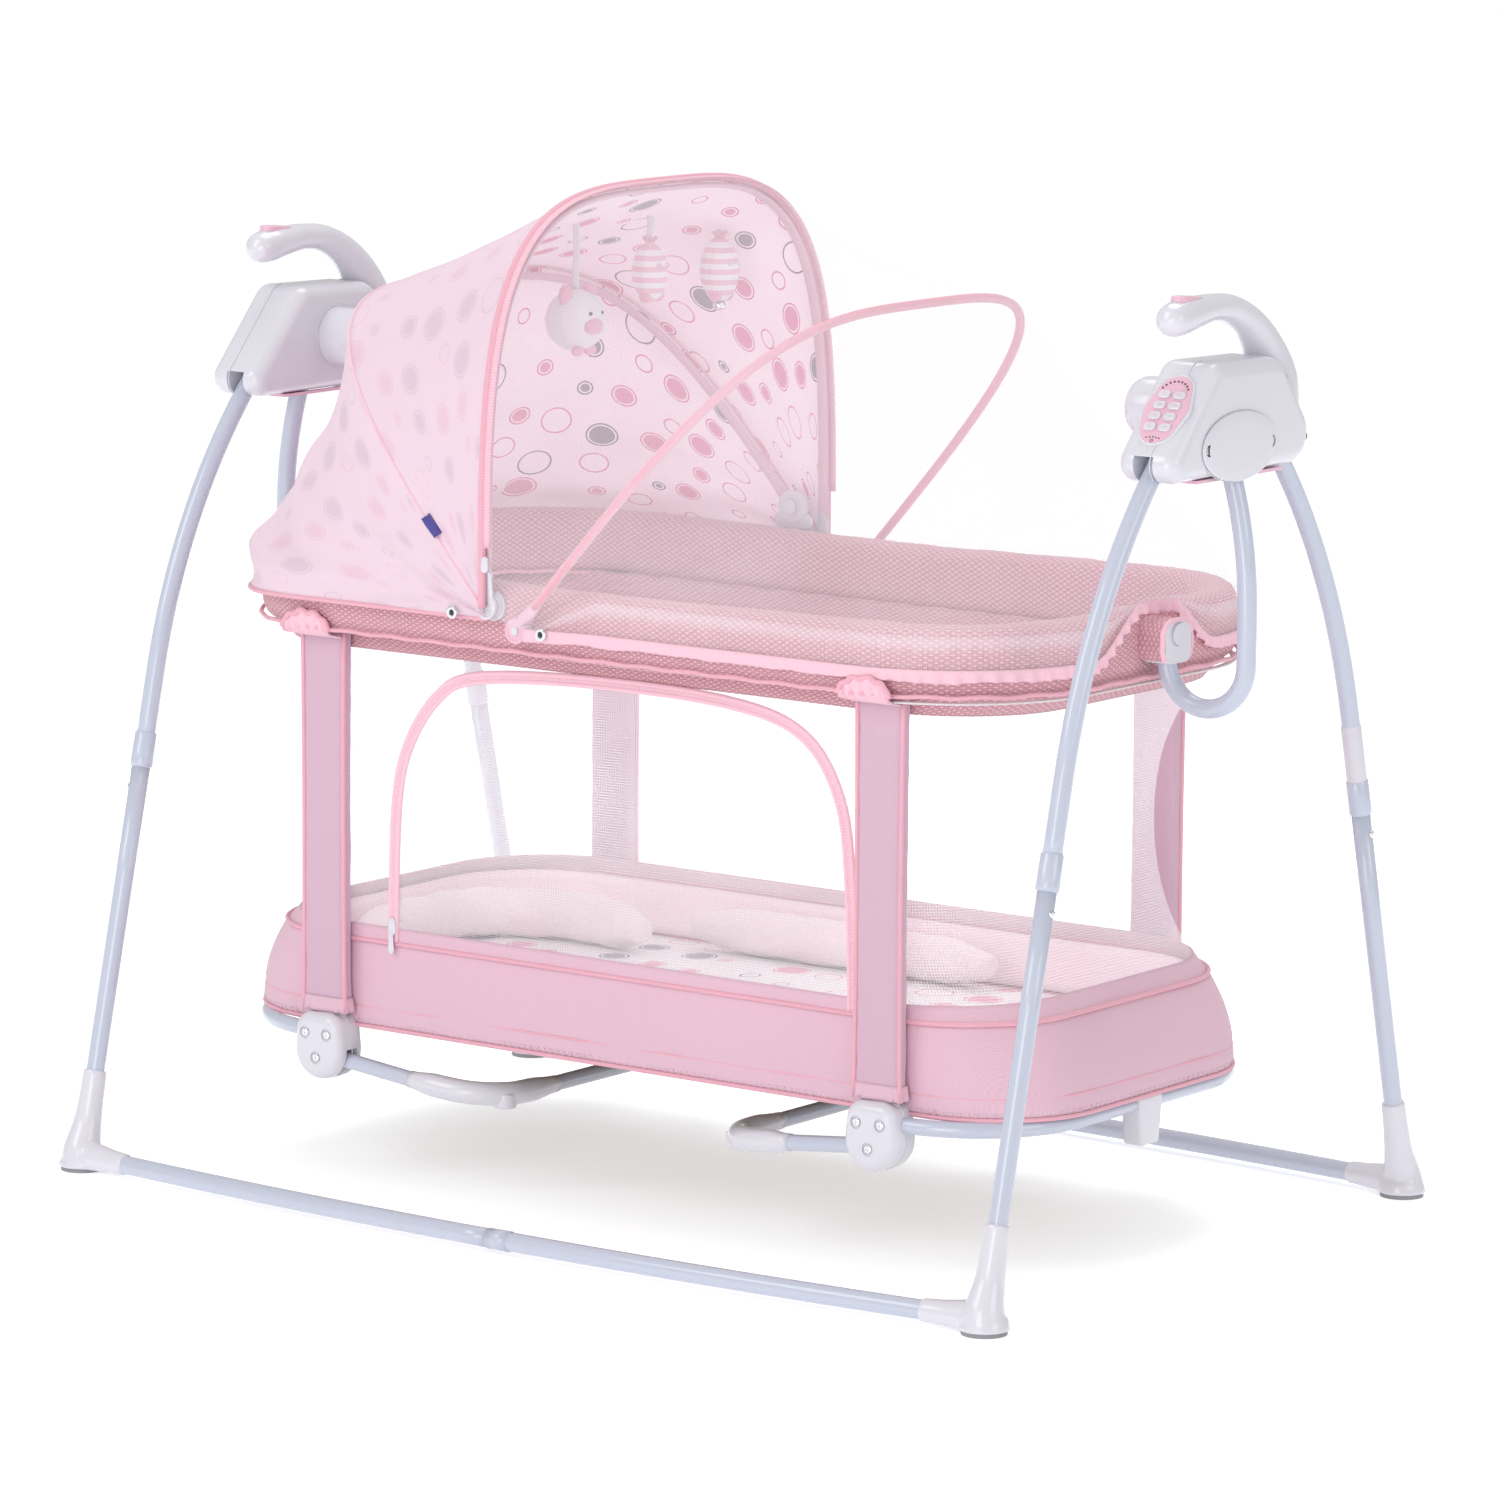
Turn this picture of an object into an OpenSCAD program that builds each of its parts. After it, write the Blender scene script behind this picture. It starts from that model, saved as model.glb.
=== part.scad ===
// Baby swing: a hanging crib on an A-frame stand with a powered swing head at each end.
// +X runs along the crib, -Y is the side with the door, +Z is up, the floor is z = 0. Millimetres.

/* [Stand] */
// Height of the swing axis above the floor
axle_z = 830; // [800:1:880]
// Distance of each end of the stand from the middle
stand_half = 563; // [555:1:620]
// Outside diameter of the stand's tubes
tube_d = 19; // [16:0.5:22]
// Wall of every steel tube
tube_wall = 1.2; // [0.8:0.1:2]
// Lean of the straight lower legs from the vertical
leg_lean = 13.5; // [11:0.5:16]
// Angle of the bend in the upper legs
leg_bend = 27.5; // [20:0.5:32]
// Radius of the bend in the upper legs
leg_bend_r = 640; // [560:5:720]
// Distance of the leg's top from the swing axis, along Y
leg_top_y = 112; // [106:1:118]
// Height of the joint between upper and lower leg
leg_joint_z = 410; // [360:5:440]
// Outward bow of the floor tubes at their middle
floor_bow = 30; // [15:1:50]
// Radius of each rubber foot pad
pad_r = 22; // [18:0.5:26]
// Thickness of each rubber foot pad
pad_t = 4; // [3:0.5:6]
// Height of the corner covers on the feet
foot_h = 88; // [70:1:110]
// Reach of the corner covers along the floor tubes
foot_l = 66; // [50:1:90]

/* [Swing heads] */
// Thickness of a head, along X
head_w = 68; // [60:1:76]
// Wall of the plastic housings
shell_t = 3; // [2.5:0.1:4]
// Radius of the drive housing on the head's inner face
boss_r = 30; // [28:0.5:34]
// Reach of the drive housing towards the crib
boss_l = 62; // [50:1:70]
// Radius of the swing shaft
shaft_r = 8; // [6:0.5:9]
// Radius of the pins that the front legs fold about
pin_r = 4; // [3:0.5:5]
// Length of the control panel's oval
panel_l = 88; // [80:1:92]
// Width of the control panel's oval
panel_w = 50; // [46:1:54]
// Thickness of the control panel
panel_t = 2; // [1.5:0.1:2.5]
// Travel of the control buttons
key_travel = 0.8; // [0.5:0.1:1]
// Width of the carrying handle at its root
handle_w = 44; // [38:1:48]

/* [Crib] */
// Half length of the padded top rail
rail_half_l = 495; // [480:1:505]
// Half width of the padded top rail
rail_half_w = 268; // [262:1:276]
// Height of the top of the padded rail
rail_top = 637; // [625:1:650]
// Height of the padded rail's section
rail_h = 70; // [60:1:76]
// Thickness of the padded rail, inside to outside
rail_t = 40; // [34:1:46]
// Radius of the top rail's corners in plan
rail_corner = 165; // [150:1:180]
// Half length of the fabric base
base_half_l = 505; // [490:1:506]
// Half width of the fabric base
base_half_w = 226; // [222:1:227]
// Radius of the base's corners in plan
base_corner = 120; // [112:1:130]
// Height of the base board's underside
board_z = 158; // [154:1:164]
// Thickness of the base board
board_t = 4; // [3:0.5:6]
// Thickness of the mattress
mattress_t = 30; // [25:1:35]
// Height of the top of the fabric base band
band_top = 249; // [240:1:260]
// How far the ends of the mesh walls are drawn in at the waist
waist = 72; // [40:1:80]
// Thickness of mesh and fabric walls
cloth_t = 3; // [2:0.5:4]

/* [Crib frame] */
// Distance of the corner posts from the middle, along X
post_x = 346; // [340:1:350]
// Width of the fabric sleeve on a corner post
post_w = 57; // [50:1:62]
// Thickness of the fabric sleeve on a corner post
post_t = 18; // [16.5:0.5:22]
// Width of a corner hub
hub_w = 62; // [58:1:68]
// Thickness of a corner hub
hub_t = 42; // [38:0.5:46]
// Diameter of the tubes under the crib
base_tube_d = 16; // [14:0.5:17]
// Reach of a fold-out leg from its hub
loop_reach = 205; // [180:1:215]
// Drop of a stowed leg from hub to corner
loop_drop = 22; // [12:1:26]

/* [Hood and net] */
// Distance of the hood hubs from the middle, towards the head end
hood_x = 105; // [90:1:120]
// Height of the hood bow above the hub
hood_h = 402; // [380:1:420]
// Lean of the rear hood bow from the vertical
hood_lean = 41; // [36:1:44]
// Distance of the net bow's pivot from the middle, towards the head end
net_x = 66; // [60:1:74]
// Length of the net bow's legs
net_bow_l = 430; // [410:1:440]
// Lean of the net bow from the vertical, towards the foot end
net_lean = 42; // [38:1:48]
// Radius of the net bow's rod
net_rod_r = 4.5; // [3.5:0.25:5]
// Reach of the hanging toys below the hood
toy_drop = 93; // [85:1:100]

/* [Hidden] */
$fn = 48;
hull_fn = 24;

// Fits: pieces of one body, pieces that slide or turn, and room for free movement
seat = 0.1;
running = 0.05;
slip = 0.4;

tube_r = tube_d / 2;
blue = [0.82, 0.86, 0.93];
white = [0.94, 0.93, 0.96];
pink = [0.96, 0.75, 0.80];
pale = [0.98, 0.90, 0.92];

// ---- Helpers -------------------------------------------------------------------------------

// A rod or a tube between two points
module bar(a, b, r) {
    v = b - a;
    translate(a) rotate([0, acos(v[2] / norm(v)), atan2(v[1], v[0])]) cylinder(h = norm(v), r = r);
}
// Draws what lies in local X and Y in the YZ plane, with local Z along X
module in_yz() rotate([90, 0, 90]) children();
// Draws what lies in local X and Y in the XZ plane, with local Z along -Y
module in_xz() rotate([90, 0, 0]) children();
// A copy at each end of the crib, and one at each side
module both_ends() { children(); mirror([1, 0, 0]) children(); }
module both_sides() { children(); mirror([0, 1, 0]) children(); }
module four_corners() both_ends() both_sides() children();
// Rounded rectangle of half sizes l and w in plan
module plan(l, w, c) for (e = [0]) hull() for (x = [-1, 1], y = [-1, 1])
    translate([x * (l - c), y * (w - c)]) circle(c, $fn = hull_fn);
// A closed ring of the section drawn by children, run round a rounded rectangle
module run_round(l, w, c) {
    for (x = [-1, 1], y = [-1, 1]) translate([x * (l - c), y * (w - c), 0])
        rotate([0, 0, (x > 0 ? (y > 0 ? 0 : 270) : (y > 0 ? 90 : 180))])
        rotate_extrude(angle = 90) translate([c, 0]) children();
    for (y = [0, 180]) rotate([0, 0, y]) translate([-(l - c), w, 0]) rotate([90, 0, 90])
        linear_extrude(2 * (l - c)) children();
    for (x = [0, 180]) rotate([0, 0, x]) translate([l, w - c, 0]) rotate([90, 0, 0])
        linear_extrude(2 * (w - c)) children();
}
// Points of a smooth line through the points of p, with k steps between two of them
function mix(a, b, c, d, t) = 0.5 * (2 * b + (c - a) * t + (2 * a - 5 * b + 4 * c - d) * t * t
    + (3 * b - a - 3 * c + d) * t * t * t);
function smooth(p, k) = let (m = len(p) - 1) [for (i = [0:m - 1], s = [0:k - 1])
    mix(p[max(i - 1, 0)], p[i], p[i + 1], p[min(i + 2, m)], s / k), p[m]];
function unit(v) = v / norm(v);
// The direction of a line of points at point i
function heading(p, i) = unit(p[min(i + 1, len(p) - 1)] - p[max(i - 1, 0)]);
// Faces of a skin over m rings of n points each
function skin(m, n) = concat([[for (i = [0:n - 1]) i]],
    [for (j = [0:m - 2], i = [0:n - 1]) let (a = j * n + i, b = j * n + (i + 1) % n)
        each [[a, a + n, b], [b, a + n, b + n]]],
    [[for (i = [n - 1:-1:0]) (m - 1) * n + i]]);
// Rings of n points along the line p: size is [across, along nrm] at each point
function rings(p, size, nrm, n) = [for (i = [0:len(p) - 1]) let (t = heading(p, i),
    v = unit(cross(nrm, t)), w = cross(t, v)) each [for (k = [0:n - 1])
        p[i] + size[i][0] * cos(360 * k / n) * v + size[i][1] * sin(360 * k / n) * w]];
// A rod along points p that lie in, or near, the plane square to nrm
module sweep(p, size, nrm, n = 12) polyhedron(rings(p, size, nrm, n), skin(len(p), n));
// A tube along points p, open at both ends: outer sizes at each point, one radius inside
tube_n = 16;
module pipe(p, size, inner, nrm, n = tube_n) polyhedron(
    concat(rings(p, size, nrm, n), rings(p, same(p, inner, inner), nrm, n)),
    let (m = len(p), h = len(p) * n) concat(
        [for (j = [0:m - 2], i = [0:n - 1]) let (a = j * n + i, b = j * n + (i + 1) % n)
            each [[a, a + n, b], [b, a + n, b + n], [h + a, h + b, h + a + n], [h + b, h + b + n, h + a + n]]],
        [for (i = [0:n - 1]) let (b = (i + 1) % n, q = (m - 1) * n)
            each [[i, b, h + i], [b, h + b, h + i], [q + i, h + q + i, q + b], [q + b, h + q + i, h + q + b]]]));
function same(p, a, b) = [for (q = p) [a, b]];

// ---- Stand ---------------------------------------------------------------------------------

// Places in the plane of an end of the stand are [y, z], with y away from the middle
function down(a) = [sin(a), -cos(a)];
function yz(p) = [0, p[0], p[1]];
leg_top_drop = 53;
leg_pin_back = 40;
leg_end_back = 12;
floor_z = tube_r + pad_t + 0.5;
leg_top = [leg_top_y, axle_z - leg_top_drop];
top_lean = leg_lean + leg_bend;
leg_arc = leg_top - leg_bend_r * [cos(top_lean), sin(top_lean)];
leg_arc_end = leg_arc + leg_bend_r * [cos(leg_lean), sin(leg_lean)];
foot = [leg_arc_end[0] + (leg_arc_end[1] - floor_z) * tan(leg_lean), floor_z];
leg_pin = leg_top - leg_pin_back * down(top_lean);
leg_end = leg_pin - leg_end_back * down(top_lean);
leg_joint = foot - (leg_joint_z - floor_z) / cos(leg_lean) * down(leg_lean);
pin_l = head_w - 2 * shell_t - 0.2;
function at_end(p) = [stand_half, p[0], p[1]];
// Line of the upper leg, from its end in the head to the joint
leg_line = [at_end(leg_end), for (i = [6:-1:0]) at_end(leg_arc + leg_bend_r
    * [cos(leg_lean + leg_bend * i / 6), sin(leg_lean + leg_bend * i / 6)]), at_end(leg_joint)];
module upper_leg() difference() {
    pipe(leg_line, same(leg_line, tube_r, tube_r), tube_r - tube_wall, [1, 0, 0]);
    translate([stand_half - tube_d, leg_pin[0], leg_pin[1]]) rotate([0, 90, 0])
        cylinder(h = 2 * tube_d, r = pin_r + running);
}
// Line of the lower leg, round the corner and along half of the floor tube to the middle
corner_bend = 42;
function bow_y(x) = foot[0] + floor_bow * (1 - pow(x / stand_half, 2));
corner_a = at_end(foot - corner_bend * down(leg_lean));
corner_b = [stand_half - corner_bend, bow_y(stand_half - corner_bend), floor_z];
corner_line = [for (t = [0:0.2:1]) pow(1 - t, 2) * corner_a + 2 * t * (1 - t) * at_end(foot)
    + t * t * corner_b];
floor_line = [for (i = [4:-1:0]) let (x = (stand_half - 2 * corner_bend) * i / 4) [x, bow_y(x), floor_z]];
lower_line = concat([at_end(leg_joint)], corner_line, floor_line);
bend_plane = [0, cos(leg_lean), sin(leg_lean)];
module lower_tube() pipe(lower_line, same(lower_line, tube_r, tube_r), tube_r - tube_wall, bend_plane);
// Corner cover: a flared foot with a collar on the leg and one on the floor tube
foot_flare = pad_r + 3;
foot_base = 9;
module foot_cover() difference() {
    union() {
        hull($fn = hull_fn) {
            translate([stand_half, foot[0], pad_t]) cylinder(h = foot_base, r = foot_flare, $fn = hull_fn);
            bar([stand_half, 0, 0] + yz(foot - foot_h * 0.5 * down(leg_lean)),
                [stand_half, 0, 0] + yz(foot - foot_h * down(leg_lean)), tube_r + 3, $fn = hull_fn);
        }
        hull($fn = hull_fn) {
            translate([stand_half, foot[0], pad_t]) cylinder(h = foot_base, r = foot_flare, $fn = hull_fn);
            translate([stand_half - foot_l, foot[0] + 3, floor_z]) rotate([0, 90, 0])
                cylinder(h = 8, r = tube_r + 1.5, $fn = hull_fn);
            translate([stand_half, foot[0], floor_z + tube_r]) sphere(tube_r + 3, $fn = hull_fn);
        }
    }
    sweep(lower_line, same(lower_line, tube_r + seat, tube_r + seat), bend_plane, tube_n);
    translate([0, 0, pad_t - 50]) linear_extrude(50) square(4 * stand_half, center = true);
}
module foot_pad() translate([stand_half, foot[0], 0]) cylinder(h = pad_t, r = pad_r);

module front() mirror([0, 1, 0]) children();
module rear_upper_legs() color(blue) both_ends() upper_leg();
module front_upper_legs() color(blue) front() both_ends() upper_leg();
module rear_lower_tubes() color(blue) both_ends() lower_tube();
module front_lower_tubes() color(blue) front() both_ends() lower_tube();
module rear_feet() color(white) both_ends() foot_cover();
module front_feet() color(white) front() both_ends() foot_cover();
module rear_foot_pads() color("gray") both_ends() foot_pad();
module front_foot_pads() color("gray") front() both_ends() foot_pad();
module leg_pins() color("silver") four_corners()
    translate([head_mid - pin_l / 2, leg_pin[0], leg_pin[1]]) rotate([0, 90, 0])
        cylinder(h = pin_l, r = pin_r);

// ---- Swing heads ---------------------------------------------------------------------------

// Outline of a head: discs at [y, z from the axis, radius]
head_discs = [[-108, -38, 18], [-42, 34, 20], [60, 22, 28], [86, -24, 30]];
head_mid = stand_half + 2;
head_in = head_mid - head_w / 2;
head_out = head_mid + head_w / 2;
head_edge = 9;
module head_form(less = 0) hull() for (d = head_discs) translate([0, d[0], axle_z + d[1]])
    rotate([0, 90, 0]) {
        translate([0, 0, head_in + less]) cylinder(h = head_w - 2 * less, r = d[2] - head_edge, $fn = hull_fn);
        translate([0, 0, head_in + head_edge]) cylinder(h = head_w - 2 * head_edge, r = d[2] - less, $fn = hull_fn);
    }
// Slope of the head's front top face, and the middle of that face
slope_v = [head_discs[1][0] - head_discs[0][0], head_discs[1][1] - head_discs[0][1]];
slope = atan2(slope_v[1], slope_v[0]) + asin((head_discs[1][2] - head_discs[0][2]) / norm(slope_v));
slope_n = [-sin(slope), cos(slope)];
slope_mid = [0, axle_z] + ([head_discs[0][0], head_discs[0][1]] + [head_discs[1][0], head_discs[1][1]]
    + (head_discs[0][2] + head_discs[1][2]) * slope_n) / 2;
module on_slope() translate([head_mid, slope_mid[0], slope_mid[1]]) rotate([slope, 0, 0]) children();
// Places of the keys on the panel, [x, along the slope]
key_gap_x = 17;
key_gap_y = 13;
key_l = 12;
key_w = 8;
key_rise = 1.5;
key_window_x = key_gap_x + 6;
key_window_y = 4 * key_gap_y;
function key_at(i) = [(i % 2 - 0.5) * key_gap_x, (floor(i / 2) - 1.7) * key_gap_y];
module oval(l, w) {
    square([l - w, w], center = true);
    for (s = [-1, 1]) translate([s * (l - w) / 2, 0]) circle(w / 2);
}
module key_oval(grow) oval(key_l + 2 * grow, key_w + 2 * grow);
module key_spot(i) on_slope() translate([key_at(i)[0], key_at(i)[1], 0]) children();

hub_r = 22;
hub_l = 30;
bush_r = 13;
bush_l = 12;
coil_l = 32;
coil_r = boss_r - shell_t;
rotor_r = 12;
outer_bush_x = head_out - shell_t - bush_l;
inner_bush_x = head_in - 4;
swing_room = 34;
module shaft_line(x0, x1, r) translate([x0, 0, axle_z]) rotate([0, 90, 0]) cylinder(h = x1 - x0, r = r);

module head_shell() difference() {
    union() {
        head_form();
        shaft_line(head_in - boss_l, head_in + shell_t, boss_r);
    }
    difference() {
        head_form(shell_t);
        // Webs that hold the bushes
        shaft_line(head_in, inner_bush_x + bush_l, bush_r + 5);
        shaft_line(outer_bush_x, head_out, bush_r + 5);
    }
    shaft_line(head_in - boss_l + shell_t, inner_bush_x, coil_r);
    shaft_line(inner_bush_x - 1, inner_bush_x + bush_l + 1, bush_r + seat);
    shaft_line(outer_bush_x - 1, head_out - shell_t, bush_r + seat);
    // Slot that the hanger swings in, and the openings for the legs
    translate([head_mid - head_w / 2 + shell_t + 8, -swing_room, axle_z - 90])
        cube([head_w - 2 * shell_t - 6, 2 * swing_room, 60]);
    translate([stand_half - tube_r - 1.5, -leg_top[0] - 32, leg_top[1] - 40])
        cube([tube_d + 3, 66, 62]);
    bar([stand_half, 0, 0] + yz(leg_pin), [stand_half, 0, 0] + yz(leg_top + 40 * down(top_lean)), tube_r + 0.5);
}
module head_shell_right() color(white) difference() {
    head_shell();
    on_slope() translate([0, 0, -8]) linear_extrude(16) square([key_window_x, key_window_y], center = true);
    inlet_place() translate([0, 0, -20]) cylinder(h = 40, r = inlet_r + seat);
}
module head_shell_left() color(white) mirror([1, 0, 0]) head_shell();

// Oval cover on the outer face of each head
cover_t = 3;
cover_l = 130;
cover_h = 66;
module head_covers() color(white) both_ends() translate([head_out, -16, axle_z - 27]) in_yz()
    hull($fn = hull_fn) {
        for (s = [-1, 1]) translate([s * (cover_l - cover_h) / 2, 0, 0]) cylinder(h = 1, r = cover_h / 2 - 1);
        for (s = [-1, 1]) translate([s * (cover_l - cover_h) / 2, 0, 0]) cylinder(h = cover_t, r = cover_h / 2 - 4);
    }
// Control panel on the slope of the right head
module panel_oval() hull() for (s = [-1, 0, 1]) translate([0, s * (panel_l - panel_w * 0.8) / 2])
    circle(s == 0 ? panel_w / 2 : panel_w * 0.4, $fn = hull_fn);
module control_panel() color(pink) on_slope() translate([0, 0, seat]) difference() {
    linear_extrude(panel_t) panel_oval();
    for (i = [0:7]) translate([key_at(i)[0], key_at(i)[1], -1]) linear_extrude(panel_t + 2) key_oval(slip);
}
module key(i) color("white") key_spot(i) translate([0, 0, seat + key_travel + 0.1])
    linear_extrude(panel_t + key_rise - key_travel) key_oval(0);

// Trim round the hanger's slot under each head
trim_l = 150;
trim_w = 52;
trim_t = 3;
module slot_trims() color(pink) both_ends() difference() {
    translate([head_mid - trim_w / 2, -trim_l / 2, axle_z - 56 - trim_t - seat]) cube([trim_w, trim_l, trim_t]);
    translate([head_mid - trim_w / 2 + 6, -swing_room, axle_z - 90]) cube([trim_w, 2 * swing_room, 60]);
}
// Speaker on the inside of the right head's outer wall
speaker_r = 17;
module speaker() color("dimgray") translate([head_out - shell_t - seat - 10, 60, axle_z + 22]) rotate([0, 90, 0]) {
    cylinder(h = 9, r = speaker_r);
    translate([0, 0, -6]) cylinder(h = 7, r = speaker_r / 2);
}
// Power inlet in the back of the right head
inlet_r = 5.5;
inlet_bore = 3;
module inlet_place() translate([head_mid + 22, 100, axle_z - 30]) rotate([-90, 0, 0]) children();
module power_inlet() color("black") inlet_place() translate([0, 0, -4]) difference() {
    cylinder(h = 20, r = inlet_r);
    translate([0, 0, 8]) cylinder(h = 20, r = inlet_bore);
}
// Circuit board behind the control panel
module circuit_board() color("green") on_slope() translate([0, 2, -shell_t - 7]) linear_extrude(1.6)
    square([44, 62], center = true);
// Coil round the magnet on the end of the right shaft
coil_x = head_in - boss_l + shell_t + 8;
module drive_coil() color("orange") difference() {
    shaft_line(coil_x, coil_x + coil_l, coil_r - seat);
    shaft_line(coil_x - 1, coil_x + coil_l + 1, rotor_r + 1.5);
}
module axle_bushes() color("ivory") both_ends() for (x = [inner_bush_x, outer_bush_x]) difference() {
    shaft_line(x, x + bush_l - seat, bush_r);
    shaft_line(x - 1, x + bush_l + 1, shaft_r + running);
}

// Carrying handle: root on the head's back, tip above its middle
handle_line = [[96, -10], [94, 26], [78, 56], [52, 82], [18, 98], [-14, 102], [-46, 100], [-70, 97],
    [-88, 94], [-95, 93]];
handle_size = [[20, 24], [20, 22], [17, 17], [15, 15], [14, 14], [13, 14], [15, 17], [17, 18], [13, 14], [5, 6]];
module carry_handle() difference() {
    p = smooth([for (q = handle_line) [0, q[0], q[1]]], 3);
    translate([head_mid, 0, axle_z])
        sweep(p, smooth([for (q = handle_size) q * handle_w / 44], 3), [1, 0, 0], 16);
    head_form(-seat);
    fold_place() translate([0, 0, -9]) linear_extrude(30) fold_oval(slip);
}
button_travel = 3;
module fold_place() translate([head_mid, -58, axle_z + 113]) rotate([-5, 0, 0]) children();
module fold_oval(grow) rotate([0, 0, 90]) oval(43 + 2 * grow, 17 + 2 * grow);
module carry_handles() color(white) both_ends() carry_handle();
module fold_button() color(pink) fold_place() translate([0, 0, -9 + button_travel + 0.3])
    linear_extrude(10) fold_oval(0);
module fold_button_right() fold_button();
module fold_button_left() mirror([1, 0, 0]) fold_button();

// ---- Hangers -------------------------------------------------------------------------------

// Each hanger drops from the shaft outside the crib's end and hooks in under the rail
hanger_r = 9.5;
bracket_x = rail_half_l + 16;
hook_out_x = stand_half + 39;
hook_r = (hook_out_x - bracket_x) / 2;
hook_z = rail_top - 48;
hanger_arc = 440;
hanger_arc_z = rail_top + 3;
hanger_top_a = asin((axle_z - hub_r + 6 - hanger_arc_z) / hanger_arc);
module hanger_rod(r, more = 0) {
    translate([hook_out_x - hanger_arc, 0, hanger_arc_z]) in_xz() rotate_extrude(angle = hanger_top_a + more)
        translate([hanger_arc, 0]) circle(r);
    bar([hook_out_x, 0, hook_z], [hook_out_x, 0, hanger_arc_z], r);
    translate([hook_out_x - hook_r, 0, hook_z]) in_xz() rotate([0, 0, 180]) rotate_extrude(angle = 180)
        translate([hook_r, 0]) circle(r);
    bar([bracket_x, 0, hook_z], [bracket_x, 0, hook_z + 8 + more], r);
}
module hangers() color(blue) both_ends() difference() {
    hanger_rod(hanger_r);
    hanger_rod(hanger_r - tube_wall - 0.4, 0.6);
    shaft_line(head_in, head_out, shaft_r + 6);
}
hub_x = hook_out_x - hanger_arc + hanger_arc * cos(hanger_top_a) - hub_l / 2 - 2;
module swing_shafts() color("silver") both_ends() difference() {
    union() {
        shaft_line(inner_bush_x - 8, outer_bush_x + bush_l - 1, shaft_r);
        shaft_line(hub_x, hub_x + hub_l, hub_r);
        shaft_line(coil_x + 2, coil_x + coil_l - 2, rotor_r);
        shaft_line(coil_x + 2, inner_bush_x, shaft_r - 1);
    }
    hanger_rod(hanger_r + seat, 1);
}
// White bracket on each end of the rail, with the hook in its socket
bracket_w = 44;
bracket_h = 40;
bracket_t = 26;
module end_bracket() difference() {
    hull($fn = hull_fn) for (y = [-1, 1], z = [-1, 1])
        translate([bracket_x - bracket_t / 2, y * (bracket_w / 2 - 9), hook_z + 16 + z * (bracket_h / 2 - 9)])
        rotate([0, 90, 0]) cylinder(h = bracket_t, r = 9, $fn = hull_fn);
    bar([bracket_x, 0, hook_z - 20], [bracket_x, 0, hook_z + 8 + seat], hanger_r + seat);
    release_line(bracket_x + bracket_t / 2 - 6, bracket_x + bracket_t, release_r + slip);
    rail_block(seat);
}
release_r = 11;
release_z = hook_z + 24;
module release_line(x0, x1, r) translate([x0, 0, release_z]) rotate([0, 90, 0]) cylinder(h = x1 - x0, r = r);
module end_brackets() color(white) both_ends() end_bracket();
module release_button() color(white)
    release_line(bracket_x + bracket_t / 2 - 6 + button_travel - 0.5, bracket_x + bracket_t / 2 + 3, release_r);
module release_button_right() release_button();
module release_button_left() mirror([1, 0, 0]) release_button();

// ---- Crib ----------------------------------------------------------------------------------

rail_tube_r = 9;
rail_mid = rail_t / 2;
rail_z = rail_top - rail_h / 2;
rail_round = 13;
module rail_section(grow = 0) polygon([for (q = [0:3], a = [0:30:90]) let (c = 90 * q + a,
    x = (q == 0 || q == 3) ? 1 : -1, z = q < 2 ? 1 : -1)
    [x * (rail_t / 2 - rail_round) - rail_mid + (rail_round + grow) * cos(c),
        z * (rail_h / 2 - rail_round) + (rail_round + grow) * sin(c)]]);
// The padded rail as one solid, used to trim what meets it
module rail_block(grow) translate([0, 0, rail_z]) run_round(rail_half_l, rail_half_w, rail_corner)
    rail_section(grow);
module rail_tube() color(blue) translate([0, 0, rail_z])
    run_round(rail_half_l - rail_mid, rail_half_w - rail_mid, rail_corner - rail_mid) difference() {
        circle(rail_tube_r);
        circle(rail_tube_r - tube_wall);
    }
module rail_cover() color(pink) translate([0, 0, rail_z])
    run_round(rail_half_l, rail_half_w, rail_corner) difference() {
        rail_section();
        translate([-rail_mid, 0]) circle(rail_tube_r + seat);
        // The cover is drawn over the tube from above, so it is open below
        translate([-rail_mid - rail_tube_r - seat, -rail_h]) square([2 * (rail_tube_r + seat), rail_h]);
    }

// Plan of a fabric wall: point k of n round a rounded rectangle of half sizes l and w
wall_n = 48;
function corner_angle(k, n) = 360 * (k + 0.5) / n;
function rounded(a, l, w, c) = let (q = floor(a / 90), s = [[1, 1], [-1, 1], [-1, -1], [1, -1]][q])
    [s[0] * (l - c) + c * cos(a), s[1] * (w - c) + c * sin(a)];
// A fabric wall as a closed tube: rings are [z, half length, half width, corner radius]
module fabric_ring(rings, t) polyhedron(
    concat([for (g = rings) each [for (k = [0:wall_n - 1])
            let (p = rounded(corner_angle(k, wall_n), g[1], g[2], g[3])) [p[0], p[1], g[0]]]],
        [for (g = rings) each [for (k = [0:wall_n - 1])
            let (p = rounded(corner_angle(k, wall_n), g[1] - t, g[2] - t, g[3] - t)) [p[0], p[1], g[0]]]]),
    let (m = len(rings), n = wall_n, h = len(rings) * wall_n) concat(
        [for (j = [0:m - 2], i = [0:n - 1]) let (a = j * n + i, b = j * n + (i + 1) % n)
            each [[a, a + n, b], [b, a + n, b + n], [h + a, h + b, h + a + n], [h + b, h + b + n, h + a + n]]],
        [for (i = [0:n - 1]) let (b = (i + 1) % n, q = (m - 1) * n)
            each [[i, b, h + i], [b, h + b, h + i], [q + i, h + q + i, q + b], [q + b, h + q + i, h + q + b]]]));
wall_top = rail_top - rail_h - seat;
wall_steps = 6;
function draw_in(t) = waist * pow(4 * t * (1 - t), 0.8);
band_bottom = board_z + seat;
band_lean = 33;
wall_bottom_l = base_half_l - band_lean;
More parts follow.
